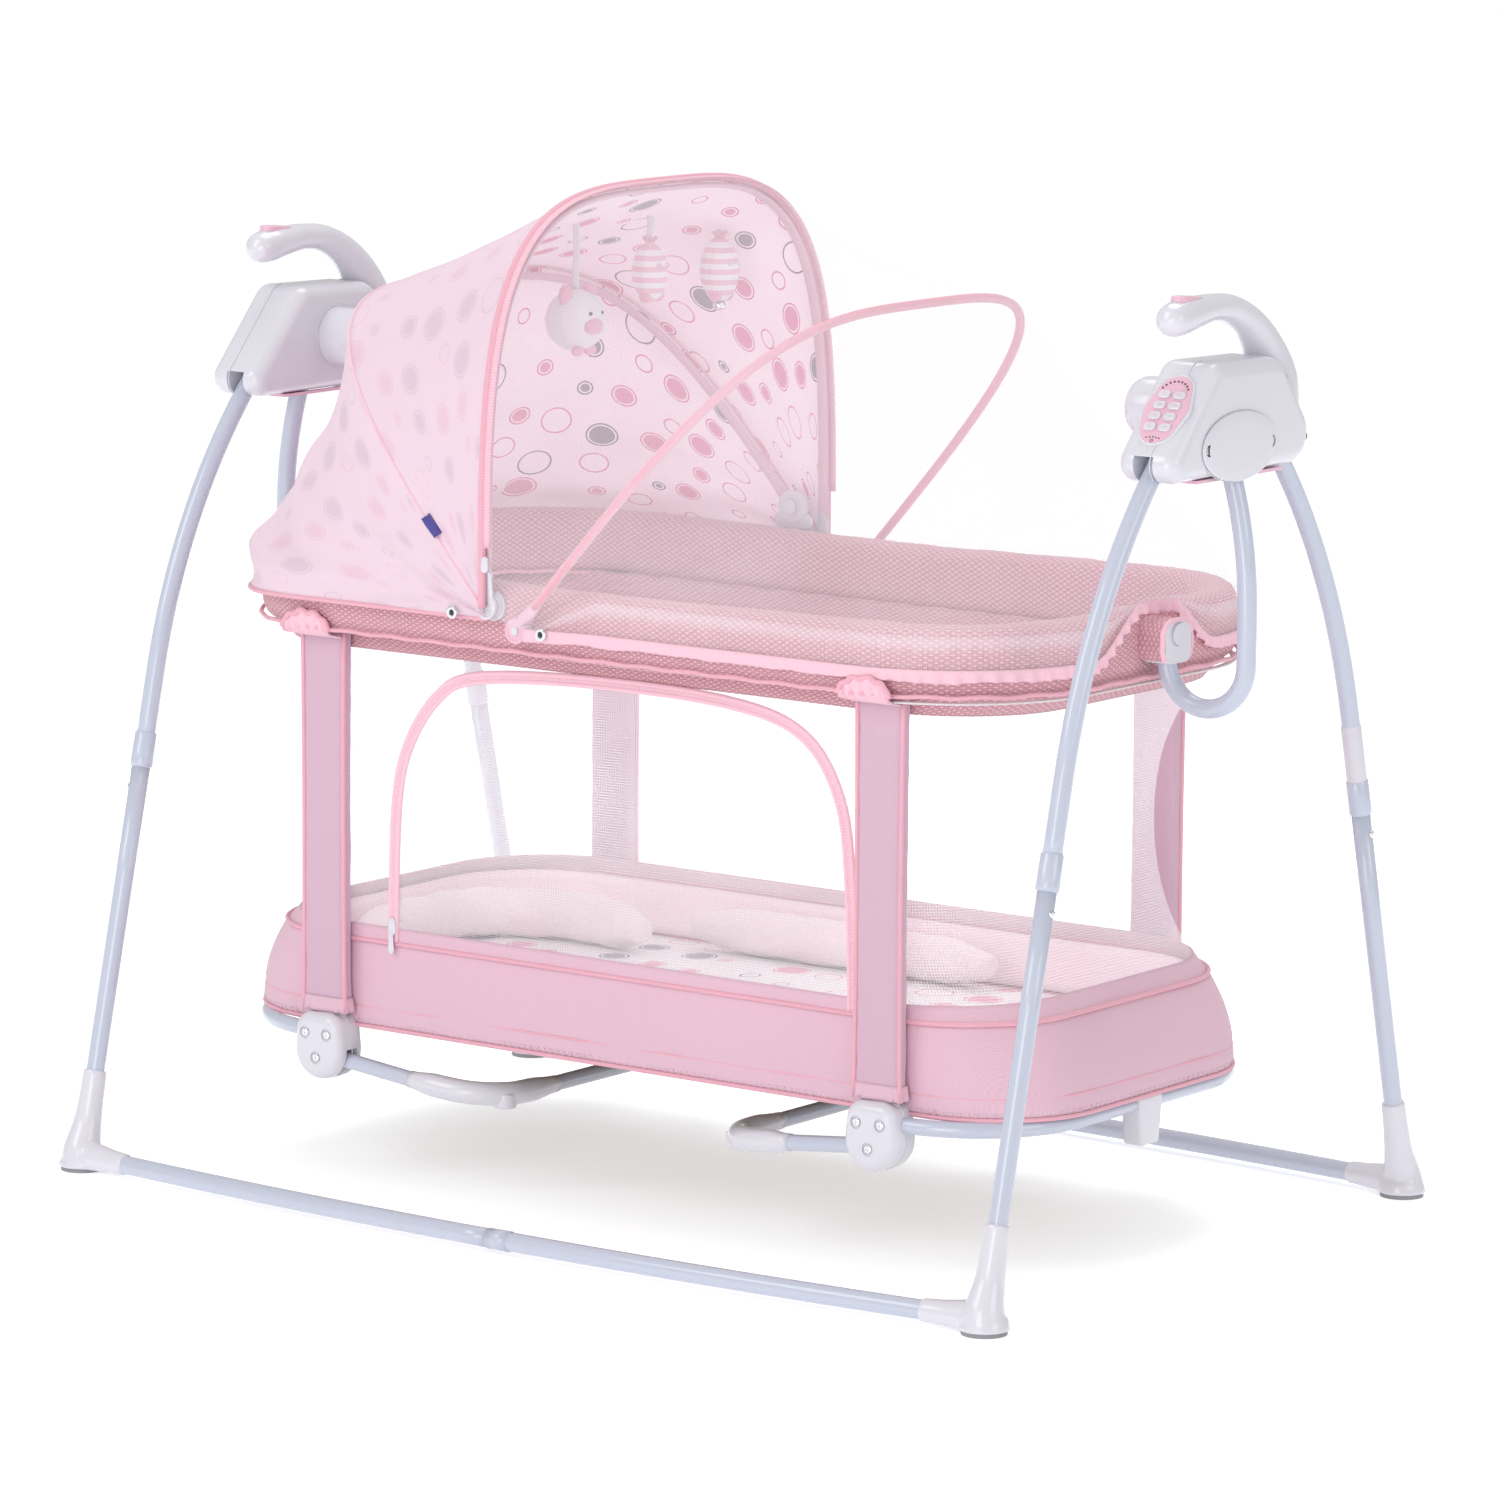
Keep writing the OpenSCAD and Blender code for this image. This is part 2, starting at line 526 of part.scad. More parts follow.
module mesh_walls() color(pale, 0.4) fabric_ring([for (j = [0:wall_steps]) let (t = j / wall_steps)
    [band_top + seat + t * (wall_top - band_top - seat),
        wall_bottom_l + t * (rail_half_l - 10 - wall_bottom_l) - draw_in(t), base_half_w, base_corner]], cloth_t);
module base_band() color(pink) fabric_ring([for (j = [0:3]) let (t = j / 3)
    [band_bottom + t * (band_top - band_bottom), base_half_l - band_lean * t * t, base_half_w, base_corner]], cloth_t);
module base_board() color("saddlebrown") translate([0, 0, board_z]) linear_extrude(board_t)
    plan(base_half_l - cloth_t - 6, base_half_w - cloth_t - 1, base_corner - cloth_t - 2);
module mattress() color("white") translate([0, 0, board_z + board_t + seat]) linear_extrude(mattress_t)
    plan(base_half_l - 24, base_half_w - 6, base_corner - 12);
bed_z = board_z + board_t + 2 * seat + mattress_t;
// Padded nest at the head end and a bolster along the back
nest_r = 30;
back_r = 28;
module bolsters() color(pale) {
    l = base_half_l - 85;
    w = base_half_w - cloth_t - 16;
    nest = smooth([[85 - l, -w * 0.66, 0], [15 - l, -w * 0.4, 0], [-l, 0, 0], [20 - l, w * 0.4, 0],
        [115 - l, w * 0.59, 0], [225 - l, w * 0.46, 0]], 5);
    translate([0, 0, bed_z + nest_r]) sweep(nest, same(nest, nest_r, nest_r), [0, 0, 1], 14);
    back = smooth([[285 - l, w - nest_r - 3, 0], [0, w - nest_r, 0], [l - 235, w - nest_r, 0],
        [l - 115, w - nest_r - 3, 0]], 3);
    translate([0, 0, bed_z + back_r]) sweep(back, same(back, back_r, back_r), [0, 0, 1], 14);
}

// Zip of the arched door in the front wall
zip_w = 9;
zip_t = 3;
// Its arch: [part of the distance to the corner post, part of the height of the wall]
door_arch = [[-0.773, 0], [-0.759, 0.447], [-0.713, 0.657], [-0.602, 0.828], [-0.455, 0.903], [-0.057, 0.935],
    [0.426, 0.926], [0.699, 0.854], [0.835, 0.657], [0.875, 0.35], [0.886, 0]];
zip_y = -base_half_w - zip_t / 2 - seat;
module door_zip() color("white") {
    p = smooth([for (q = door_arch) [q[0] * post_x, zip_y, band_top + 2 + q[1] * (wall_top - band_top - 8)]], 4);
    sweep(p, same(p, zip_w / 2, zip_t / 2), [0, 1, 0], 8);
}
slider_z = band_top + 14;
module zip_slider() color("white") translate([door_arch[0][0] * post_x + 1, zip_y - zip_t / 2 - 0.3, slider_z]) in_xz()
    union() {
        linear_extrude(3) hull() { circle(5); translate([0, 9]) circle(4); }
        translate([0, -3, 3 - 0.5]) linear_extrude(1.5) hull() { circle(3); translate([0, -17]) circle(3.5); }
    }

// ---- Crib frame ----------------------------------------------------------------------------

post_y = base_half_w + 1 + post_t / 2;
post_foot = board_z + 14;
module corner_post() translate([post_x - post_w / 2, post_y - post_t / 2, post_foot])
    linear_extrude(wall_top - post_foot - 0.2) difference() {
        translate([post_w / 2, post_t / 2]) hull() for (s = [-1, 1]) translate([s * (post_w / 2 - 7), 0])
            scale([1, 1]) square([14, post_t], center = true);
        translate([post_w / 2, post_t / 2]) circle(base_tube_d / 2 - 1.5);
    }
module corner_posts() color(pink) four_corners() corner_post();
// Corner hub: an egg shape in two halves that holds the post, the end rail and the fold-out leg
hub_top = post_foot - 0.2;
hub_belly = [0, hub_top - 38];
hub_y = post_y;
hub_pin = [0, hub_top - 46];
module hub_form() hull() {
    for (s = [-1, 1]) translate([s * 11, hub_top - 18]) circle(18, $fn = hull_fn);
    translate(hub_belly) circle(hub_w / 2, $fn = hull_fn);
}
loop_y = hub_y;
slot_t = base_tube_d + 2 * slip;
end_rail_z = board_z - base_tube_d / 2 - seat;
module corner_hub() difference() {
    translate([post_x, hub_y + hub_t / 2, 0]) in_xz() linear_extrude(hub_t) hub_form();
    translate([post_x + hub_pin[0], hub_y + hub_t, hub_pin[1]]) rotate([90, 0, 0])
        cylinder(h = 2 * hub_t, r = hinge_r + running);
    bar([post_x + 12, rail_side_y, end_rail_z], [post_x + 80, rail_side_y, end_rail_z],
        base_tube_d / 2 + seat);
    // Slot that the fold-out leg swings down in
    translate([post_x - hub_w, loop_y - slot_t / 2, hub_pin[1] - hub_w])
        cube([hub_w + base_tube_d / 2 + 1.5, slot_t, hub_w + base_tube_d / 2 + 1.5]);
    // Step that the base and its band sit on
    translate([post_x - hub_w, 0, board_z - slip]) cube([2 * hub_w, base_half_w + slip, hub_w]);
}
module corner_hubs() color(white) four_corners() corner_hub();
screw_spots = [[-14, hub_top - 20], [14, hub_top - 20], hub_pin];
module hub_screws() color("silver") four_corners() for (s = screw_spots)
    translate([post_x + s[0], hub_y + hub_t / 2 + seat, s[1]]) rotate([-90, 0, 0]) cylinder(h = 2, r = 5.5);
// U tube under each end of the base
end_rail_l = base_half_l - 14;
end_rail_c = end_rail_l - post_x - 24;
rail_side_y = hub_y;
module end_rail_rod(r) translate([0, 0, end_rail_z]) {
    both_sides() {
        bar([post_x + 12 + seat, rail_side_y, 0], [end_rail_l - end_rail_c, rail_side_y, 0], r);
        translate([end_rail_l - end_rail_c, rail_side_y - end_rail_c, 0])
            rotate_extrude(angle = 90) translate([end_rail_c, 0]) circle(r);
    }
    bar([end_rail_l, end_rail_c - rail_side_y, 0], [end_rail_l, rail_side_y - end_rail_c, 0], r);
}
module end_rails() color(blue) both_ends() difference() {
    end_rail_rod(base_tube_d / 2);
    end_rail_rod(base_tube_d / 2 - tube_wall);
}
block_w = 42;
block_h = 50;
module foot_blocks() color(white) both_ends() difference() {
    translate([end_rail_l - 12, -block_w / 2, board_z - block_h - seat]) cube([23, block_w, block_h]);
    end_rail_rod(base_tube_d / 2 + seat);
}

// ---- Fold-out legs -------------------------------------------------------------------------

// Each is one tube bent to a U, with moulded sleeves on its two corners, and lies in one plane
hinge_r = 5;
loop_r = base_tube_d / 2;
loop_sleeve = 2.5;
hinge_z = hub_pin[1];
loop_half = [[4, loop_y], [-60, loop_y], [-loop_reach * 0.6, loop_y - 2], [-loop_reach * 0.84, loop_y - 12],
    [-loop_reach * 0.97, loop_y - 40], [-loop_reach, loop_y - 75], [-loop_reach, loop_y - 150]];
loop_fat = [0, 0, 1, 1, 1, 0, 0];
module leg_loop() {
    path = concat(loop_half, [for (i = [len(loop_half) - 1:-1:0]) [loop_half[i][0], -loop_half[i][1]]]);
    fat = concat(loop_fat, [for (i = [len(loop_fat) - 1:-1:0]) loop_fat[i]]);
    translate([post_x, 0, hinge_z]) {
        rotate([0, -atan(loop_drop / loop_reach), 0])
            pipe(smooth([for (q = path) [q[0], q[1], 0]], 2),
                smooth([for (f = fat) (loop_r + loop_sleeve * f) * [1, 1]], 2),
                loop_r - tube_wall, [0, 0, 1], 12);
        both_sides() translate([0, hub_y - hub_t / 2, 0]) rotate([-90, 0, 0]) cylinder(h = hub_t, r = hinge_r);
    }
}
module leg_loop_right() color(blue) leg_loop();
module leg_loop_left() color(blue) mirror([1, 0, 0]) leg_loop();

// ---- Hood and net --------------------------------------------------------------------------

// The bows turn about pins that stand out of clamps on the rail
hood_z = rail_top - 24;
hood_pin_r = 4;
net_z = hood_z - 20;
clamp_w = 30;
mount_y = rail_half_w + seat;
front_eye_y = mount_y + 10;
rear_eye_y = mount_y + 3;
eye_t = 4;
eye_r = 12;
net_y = mount_y + 12;
module pin_y(x, z, y0, y1, r) translate([x, y0, z]) rotate([-90, 0, 0]) cylinder(h = y1 - y0, r = r);
module hood_mounts() color(white) both_sides() {
    pin_y(-hood_x, hood_z, mount_y, front_eye_y + eye_t + 1, hood_pin_r);
    pin_y(-hood_x, hood_z, mount_y, mount_y + 2.5, 15);
    pin_y(-net_x, net_z, mount_y, net_y + eye_t + 1, hood_pin_r);
    pin_y(-net_x, net_z, mount_y, mount_y + 3, 9);
}
// A bow over the crib: reach h above the hub, half width w at its feet, in the plane x = 0
bow_square = 3.6;
bow_n = 26;
function pow_s(v, e) = (v < 0 ? -1 : 1) * pow(abs(v), e);
function bow_line(w, h) = [for (i = [0:bow_n]) let (t = 180 * i / bow_n)
    [0, w * pow_s(cos(t), 2 / bow_square), h * pow_s(sin(t), 2 / bow_square)]];
module bow(y, h, a, b, start) {
    p = [for (q = bow_line(y, h)) if (q[2] > 1) q];
    legs = concat([[0, y, start]], p, [[0, -y, start]]);
    sweep(legs, same(legs, b, a), [1, 0, 0], 10);
    both_sides() difference() {
        union() {
            translate([0, y - eye_t / 2, 0]) rotate([-90, 0, 0]) cylinder(h = eye_t, r = eye_r);
            translate([-a, y - eye_t / 2, 0]) cube([2 * a, eye_t, start + 12]);
        }
        translate([0, y - eye_t, 0]) rotate([-90, 0, 0]) cylinder(h = 2 * eye_t, r = hood_pin_r + running);
    }
}
module hood_place(lean) translate([-hood_x, 0, hood_z]) rotate([0, -lean, 0]) children();
module hood_front_bow() color(pink) hood_place(0) bow(front_eye_y + eye_t / 2, hood_h - 8, 6, 3, 24);
module hood_rear_bow() color(pink) hood_place(hood_lean) bow(rear_eye_y + eye_t / 2, hood_h - 24, 5, 3, 24);
module net_bow() color(pink) translate([-net_x, 0, net_z]) rotate([0, net_lean, 0])
    bow(net_y + eye_t / 2, net_bow_l, net_rod_r, net_rod_r, 20);

// Hood and net are skins over rows of points, each from the +Y side over the crib to the -Y side
row_n = 24;
skin_y = rail_half_w + 20;
function arch_row(x, z, lean, w, h) = [for (k = [0:row_n]) let (t = 180 * k / row_n,
    r = h * pow_s(sin(t), 2 / bow_square)) [x - r * sin(lean), w * pow_s(cos(t), 2 / bow_square), z + r * cos(lean)]];
// Round an end of the rail, at a distance outside it, rising to zm at the middle of the end:
// e is 1 at the foot end, -1 at the head end
function rail_row(x, e, out, z, zm) = let (l = rail_half_l + out, w = rail_half_w + out, c = rail_corner + out,
    half = concat([for (i = [0:3]) [x + (e * (l - c) - x) * i / 4, w, z]],
        [for (i = [0:7]) [e * (l - c + c * sin(90 * i / 7)), w - c + c * cos(90 * i / 7), z]]))
    concat(half, [[e * l, 0, zm]], [for (i = [11:-1:0]) [half[i][0], -half[i][1], z]]);
// Point between two rows, drawn in by sag towards the middle of the crib
core = [0, 0, hood_z - 150];
function to_core(p) = unit([core[0] + 0.4 * p[0], core[1], core[2]] - p);
function between(a, b, s, sag) = [for (k = [0:row_n]) let (p = a[k] + (b[k] - a[k]) * s)
    p + sag * sin(180 * s) * sin(180 * k / row_n) * to_core(p)];
module row_skin(rows, t) polyhedron(
    concat([for (g = rows) each g], [for (g = rows) each [for (p = g) p + t * to_core(p)]]),
    let (m = len(rows), n = row_n + 1, h = len(rows) * (row_n + 1)) concat(
        [for (j = [0:m - 2], i = [0:n - 2]) let (a = j * n + i, b = a + 1)
            each [[a, b, a + n], [b, b + n, a + n], [h + a, h + a + n, h + b], [h + b, h + a + n, h + b + n]]],
        [for (i = [0:n - 2]) let (q = (m - 1) * n)
            each [[i, h + i, i + 1], [i + 1, h + i, h + i + 1],
                [q + i, q + i + 1, h + q + i], [q + i + 1, h + q + i + 1, h + q + i]]],
        [for (j = [0:m - 2]) let (a = j * n, b = a + n, c = a + n - 1, d = c + n)
            each [[a, b, h + a], [b, h + b, h + a], [c, h + c, d], [d, h + c, h + d]]]));
canopy_t = 2;
module canopy() color(pink, 0.8) {
    front = arch_row(-hood_x, hood_z, 0, skin_y, hood_h);
    rear = arch_row(-hood_x - 6, hood_z, hood_lean, skin_y, hood_h - 12);
    end = rail_row(-hood_x - 14, -1, 20, rail_top - 45, rail_top + 5);
    row_skin([front, between(front, rear, 0.33, 4), between(front, rear, 0.67, 4), rear,
        between(rear, end, 0.25, 14), between(rear, end, 0.5, 10), between(rear, end, 0.8, -12), end], canopy_t);
}
// The net's hem runs down over the rail; its corners hang beside the feet of the net's bow
function net_row(out, z, zm, zf) = let (r = rail_row(-100, 1, out, z, zm)) [for (k = [0:row_n])
    k == 0 || k == row_n ? [-net_x + 15, (k == 0 ? 1 : -1) * (skin_y + 1), zf] : r[k]];
module net() color("white", 0.3) {
    front = arch_row(-hood_x + 3, hood_z, 0, skin_y, hood_h);
    mid = arch_row(-net_x, net_z, -net_lean, net_y + eye_t / 2 + net_rod_r + 3, net_bow_l + net_rod_r + 3);
    hem = net_row(3, rail_top - 46, rail_top + 3, net_z);
    edge = net_row(3, rail_top - 8, rail_top + 5, net_z + 4);
    end = net_row(-6, rail_top + 2.5, rail_top + 7, net_z + 8);
    row_skin([hem, edge, end, between(mid, end, 0.8, 6), between(mid, end, 0.5, 12), between(mid, end, 0.2, 12), mid,
        between(front, mid, 0.8, 24), between(front, mid, 0.5, 24), between(front, mid, 0.2, 24), front],
        canopy_t / 2);
}

// Three soft toys on straps under the hood
toy_x = -hood_x - 62;
toy_top = hood_z + hood_h - 43;
toy_top_side = toy_top - 22;
toy_y = [-60, 62, 180];
module strap(y, top = toy_top) {
    translate([toy_x - 4, y - 1, top - toy_drop * 0.45]) cube([8, 2, toy_drop * 0.45]);
    translate([toy_x - 4, y, top]) rotate([0, 90, 0]) cylinder(h = 8, r = 2);
}
module toy_ball() color(pale) {
    strap(toy_y[0]);
    translate([toy_x - 1, toy_y[0] - 1, toy_top - toy_drop * 0.7]) cube([2, 2, toy_drop * 0.3]);
    translate([toy_x, toy_y[0], toy_top - toy_drop - 4]) sphere(32);
}
module toy_ring() color(pale) { strap(toy_y[1]); hull() {
    translate([toy_x, toy_y[1], toy_top - toy_drop * 0.45]) sphere(17, $fn = 16);
    translate([toy_x, toy_y[1], toy_top - toy_drop * 0.73]) sphere(20, $fn = 16); } }
module toy_bell() color(pale) { strap(toy_y[2], toy_top_side); hull() {
    translate([toy_x, toy_y[2], toy_top - toy_drop * 0.5]) sphere(17, $fn = 16);
    translate([toy_x, toy_y[2], toy_top - toy_drop * 0.8]) sphere(21, $fn = 16); } }

// ---- Nodes ---------------------------------------------------------------------------------

head_shell_right();
head_shell_left();
head_covers();
carry_handles();
control_panel();
slot_trims();
speaker();
circuit_board();
drive_coil();
axle_bushes();
leg_pins();
power_inlet();
rear_upper_legs();
rear_lower_tubes();
rear_feet();
rear_foot_pads();
front_upper_legs();
front_lower_tubes();
front_feet();
front_foot_pads();
key(0);  // key_1
key(1);  // key_2
key(2);  // key_3
key(3);  // key_4
key(4);  // key_5
key(5);  // key_6
key(6);  // key_7
key(7);  // key_8
fold_button_right();
fold_button_left();
swing_shafts();
hangers();
end_brackets();
release_button_right();
release_button_left();
rail_tube();
rail_cover();
mesh_walls();
door_zip();
zip_slider();
base_band();
base_board();
mattress();
bolsters();
corner_posts();
corner_hubs();
hub_screws();
end_rails();
foot_blocks();
leg_loop_right();
leg_loop_left();
hood_mounts();
hood_front_bow();
hood_rear_bow();
canopy();
net_bow();
net();
toy_ball();
toy_ring();
toy_bell();
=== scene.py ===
"""Baby swing: a padded hanging crib between two powered swing heads on a folding tube stand.

It gives the part its looks: metal, moulded parts, sewn covers, mattress, hood, net and toys.
Metres throughout, +X towards the foot end, -Y towards the side with the door, +Z up.
"""
import logging
import math
from collections.abc import Callable, Iterable, Sequence
from dataclasses import dataclass
from enum import Enum

import bmesh
import bpy
from mathutils import Matrix, Vector, noise


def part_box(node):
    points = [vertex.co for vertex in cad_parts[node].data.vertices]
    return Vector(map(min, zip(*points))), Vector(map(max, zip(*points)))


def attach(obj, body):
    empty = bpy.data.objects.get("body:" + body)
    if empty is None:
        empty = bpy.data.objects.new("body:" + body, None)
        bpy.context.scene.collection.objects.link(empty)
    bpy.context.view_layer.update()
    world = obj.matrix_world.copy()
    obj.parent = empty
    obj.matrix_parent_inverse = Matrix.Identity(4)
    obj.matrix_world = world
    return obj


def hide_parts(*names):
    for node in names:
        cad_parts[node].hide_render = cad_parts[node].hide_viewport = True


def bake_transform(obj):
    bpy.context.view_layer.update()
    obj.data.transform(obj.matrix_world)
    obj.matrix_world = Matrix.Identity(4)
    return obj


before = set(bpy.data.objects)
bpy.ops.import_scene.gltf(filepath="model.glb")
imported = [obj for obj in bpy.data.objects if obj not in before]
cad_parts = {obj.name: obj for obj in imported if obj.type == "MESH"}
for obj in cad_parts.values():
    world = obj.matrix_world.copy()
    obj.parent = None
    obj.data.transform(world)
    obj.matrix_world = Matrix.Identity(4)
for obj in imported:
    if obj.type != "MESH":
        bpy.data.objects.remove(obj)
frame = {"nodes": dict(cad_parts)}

logging.basicConfig(level=logging.INFO, format="%(name)s: %(message)s")
LOG = logging.getLogger("baby_swing")

Point = tuple[float, float, float]
Colour = tuple[float, float, float]
Obj = bpy.types.Object
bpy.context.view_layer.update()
# Scale at which a band texture makes one band a metre
BAND = 0.31416


# ---- Lines and curves ----------------------------------------------------------------------


def catmull(points: Sequence[Sequence[float]], steps: int) -> list[Vector]:
    """Draws a smooth line through points.

    Args:
        points: The points the line passes through.
        steps: Steps between two of the points.

    Returns:
        The points of the smooth line.
    """
    pts = [Vector(p) for p in points]
    count = len(pts)
    line = []
    for i in range(count - 1):
        a, b, c, d = (pts[min(max(i + k, 0), count - 1)] for k in (-1, 0, 1, 2))
        for s in range(steps):
            t = s / steps
            line.append(0.5 * (2 * b + (c - a) * t + (2 * a - 5 * b + 4 * c - d) * t * t
                               + (3 * b - a - 3 * c + d) * t ** 3))
    line.append(pts[-1])
    return line


def even(line: Sequence[Vector], gap: float) -> list[Vector]:
    """Spaces a line's points evenly, about gap apart."""
    lengths = [0.0]
    for a, b in zip(line, line[1:]):
        lengths.append(lengths[-1] + (b - a).length)
    count = max(2, round(lengths[-1] / gap))
    out, j = [], 0
    for i in range(count + 1):
        want = lengths[-1] * i / count
        while j < len(line) - 2 and lengths[j + 1] < want:
            j += 1
        span = lengths[j + 1] - lengths[j]
        out.append(line[j].lerp(line[j + 1], 0.0 if span < 1e-9 else min(1.0, (want - lengths[j]) / span)))
    return out


def power(value: float, exponent: float) -> float:
    """Signed power, for superellipses."""
    return math.copysign(abs(value) ** exponent, value)


def fade(value: float, low: float, high: float) -> float:
    """Smooth step from 0 at low to 1 at high."""
    t = min(1.0, max(0.0, (value - low) / (high - low)))
    return t * t * (3 - 2 * t)


def bump(value: float, middle: float, width: float) -> float:
    """Smooth hump of height 1 at middle, fading to 0 at width from it."""
    return math.exp(-((value - middle) / width) ** 2 * 2.5)


def ripple(p: Vector, scale: float, seed: float = 0.0) -> float:
    """Soft noise between about -1 and 1 at a point, with lumps about scale across."""
    return noise.noise(p / scale + Vector((seed, seed * 0.7, -seed)))


# ---- The workbench -------------------------------------------------------------------------


class Bench:
    """Makes and finishes meshes."""

    @staticmethod
    def clear_selection() -> None:
        """Deselects everything, because an operator acts on all that is selected."""
        if bpy.context.object and bpy.context.object.mode != "OBJECT":
            bpy.ops.object.mode_set(mode="OBJECT")
        bpy.ops.object.select_all(action="DESELECT")

    @staticmethod
    def hold(piece: Obj) -> Obj:
        """Selects one piece and makes it active."""
        Bench.clear_selection()
        piece.select_set(True)
        bpy.context.view_layer.objects.active = piece
        return piece

    @staticmethod
    def rest(piece: Obj, smooth: float | None = 40) -> Obj:
        """Puts a piece's place into its mesh and shades it.

        Args:
            piece: The piece.
            smooth: Angle in degrees below which edges shade smooth, 180 for all, None for flat.

        Returns:
            The piece.
        """
        Bench.hold(piece)
        bpy.ops.object.transform_apply(location=True, rotation=True, scale=True)
        if smooth is not None:
            if smooth >= 180:
                bpy.ops.object.shade_smooth()
            else:
                bpy.ops.object.shade_smooth_by_angle(angle=math.radians(smooth))
        return piece

    @staticmethod
    def mesh(name: str, verts: Iterable[Sequence[float]], faces: Iterable[Sequence[int]]) -> Obj:
        """Makes a smooth mesh object from points and faces."""
        data = bpy.data.meshes.new(name)
        data.from_pydata([tuple(v) for v in verts], [], [tuple(f) for f in faces])
        data.update()
        piece = bpy.data.objects.new(name, data)
        bpy.context.scene.collection.objects.link(piece)
        data.shade_smooth()
        return piece

    @staticmethod
    def modifier(piece: Obj, kind: str, **settings: object) -> Obj:
        """Adds a modifier, sets it and applies it."""
        Bench.hold(piece)
        mod = piece.modifiers.new(kind.title(), kind)
        for key, value in settings.items():
            setattr(mod, key, value)
        bpy.ops.object.modifier_apply(modifier=mod.name)
        return piece

    @staticmethod
    def subdivide(piece: Obj, levels: int = 1) -> Obj:
        """Applies a subdivision surface."""
        return Bench.modifier(piece, "SUBSURF", levels=levels, render_levels=levels)

    @staticmethod
    def bevel(piece: Obj, width: float, segments: int = 3, angle: float = 30) -> Obj:
        """Rounds a piece's sharp edges.

        Args:
            piece: The piece.
            width: Radius of the rounding.
            segments: Segments of the rounding.
            angle: Angle in degrees above which an edge is sharp.

        Returns:
            The piece.
        """
        return Bench.modifier(piece, "BEVEL", width=width, segments=segments, limit_method="ANGLE",
                              angle_limit=math.radians(angle), harden_normals=False)

    @staticmethod
    def carve(piece: Obj, tool: Obj, operation: str = "DIFFERENCE") -> Obj:
        """Cuts a piece with a tool, or joins the tool on, and throws the tool away."""
        Bench.modifier(piece, "BOOLEAN", operation=operation, object=tool, solver="EXACT")
        bpy.data.objects.remove(tool)
        return piece

    @staticmethod
    def outward(piece: Obj) -> Obj:
        """Merges doubles and turns faces outwards."""
        work = bmesh.new()
        work.from_mesh(piece.data)
        bmesh.ops.remove_doubles(work, verts=work.verts, dist=1e-6)
        bmesh.ops.recalc_face_normals(work, faces=work.faces)
        work.to_mesh(piece.data)
        work.free()
        return piece

    @staticmethod
    def join(name: str, pieces: Sequence[Obj]) -> Obj:
        """Joins pieces into one."""
        Bench.clear_selection()
        for p in pieces:
            p.select_set(True)
        bpy.context.view_layer.objects.active = pieces[0]
        if len(pieces) > 1:
            bpy.ops.object.join()
        pieces[0].name = name
        pieces[0].data.name = name
        return pieces[0]

    @staticmethod
    def copy(piece: Obj, name: str, place: Matrix) -> Obj:
        """A copy of a piece with a mesh of its own, put in place by a matrix."""
        twin = piece.copy()
        twin.data = piece.data.copy()
        twin.name = name
        bpy.context.scene.collection.objects.link(twin)
        twin.data.transform(place)
        if place.to_3x3().determinant() < 0:
            twin.data.flip_normals()
        return twin

    @staticmethod
    def block(low: Sequence[float], high: Sequence[float], turn: float = 0.0) -> Obj:
        """A box between two corners, turned about its upright axis."""
        Bench.clear_selection()
        bpy.ops.mesh.primitive_cube_add(size=1.0, location=[(a + b) / 2 for a, b in zip(low, high)])
        piece = bpy.context.object
        piece.scale = [b - a for a, b in zip(low, high)]
        piece.rotation_euler = (0, 0, turn)
        return Bench.rest(piece, None)

    @staticmethod
    def discard(*pieces: Obj) -> None:
        """Removes pieces that others were copied from."""
        for piece in pieces:
            bpy.data.objects.remove(piece)


def sheet_grid(name: str, rows: Sequence[Sequence[Vector]], thickness: float = 0.0012, closed: bool = False,
               offset: float = 0.0, inner_first: bool = False,
               flat: Callable[[int, int], tuple[float, float]] | None = None) -> Obj:
    """A cloth sheet through rows of points, with a UV map in metres and a thickness.

    Args:
        name: Name of the piece.
        rows: Rows of points, all of the same number.
        thickness: Thickness of the cloth.
        closed: True where each row is a loop.
        offset: Side on which the thickness is added, -1 to 1.
        inner_first: True to turn the faces round.
        flat: Place of point (row, column) in the flat cloth, or None to measure it.

    Returns:
        The piece.
    """
    high, wide = len(rows), len(rows[0])
    verts = [p for row in rows for p in row]
    faces = []
    for j in range(high - 1):
        for i in range(wide if closed else wide - 1):
            k = (i + 1) % wide
            quad = (j * wide + i, j * wide + k, (j + 1) * wide + k, (j + 1) * wide + i)
            faces.append(quad[::-1] if inner_first else quad)
    piece = Bench.mesh(name, verts, faces)
    across = [0.0]
    middle = rows[high // 2]
    for i in range(1, wide + 1):
        across.append(across[-1] + (middle[i % wide] - middle[i - 1]).length)
    up = [0.0]
    for j in range(1, high):
        up.append(up[-1] + sum((rows[j][i] - rows[j - 1][i]).length for i in range(wide)) / wide)
    layer = piece.data.uv_layers.new(name="flat")
    for poly in piece.data.polygons:
        columns = [piece.data.loops[k].vertex_index % wide for k in poly.loop_indices]
        wraps = closed and max(columns) - min(columns) > 1
        for k in poly.loop_indices:
            v = piece.data.loops[k].vertex_index
            i, j = v % wide, v // wide
            if flat:
                layer.data[k].uv = flat(j, wide if wraps and i == 0 else i)
            else:
                layer.data[k].uv = (across[wide if wraps and i == 0 else i], up[j])
    if thickness:
        Bench.modifier(piece, "SOLIDIFY", thickness=thickness, offset=offset, use_even_offset=False)
    return piece


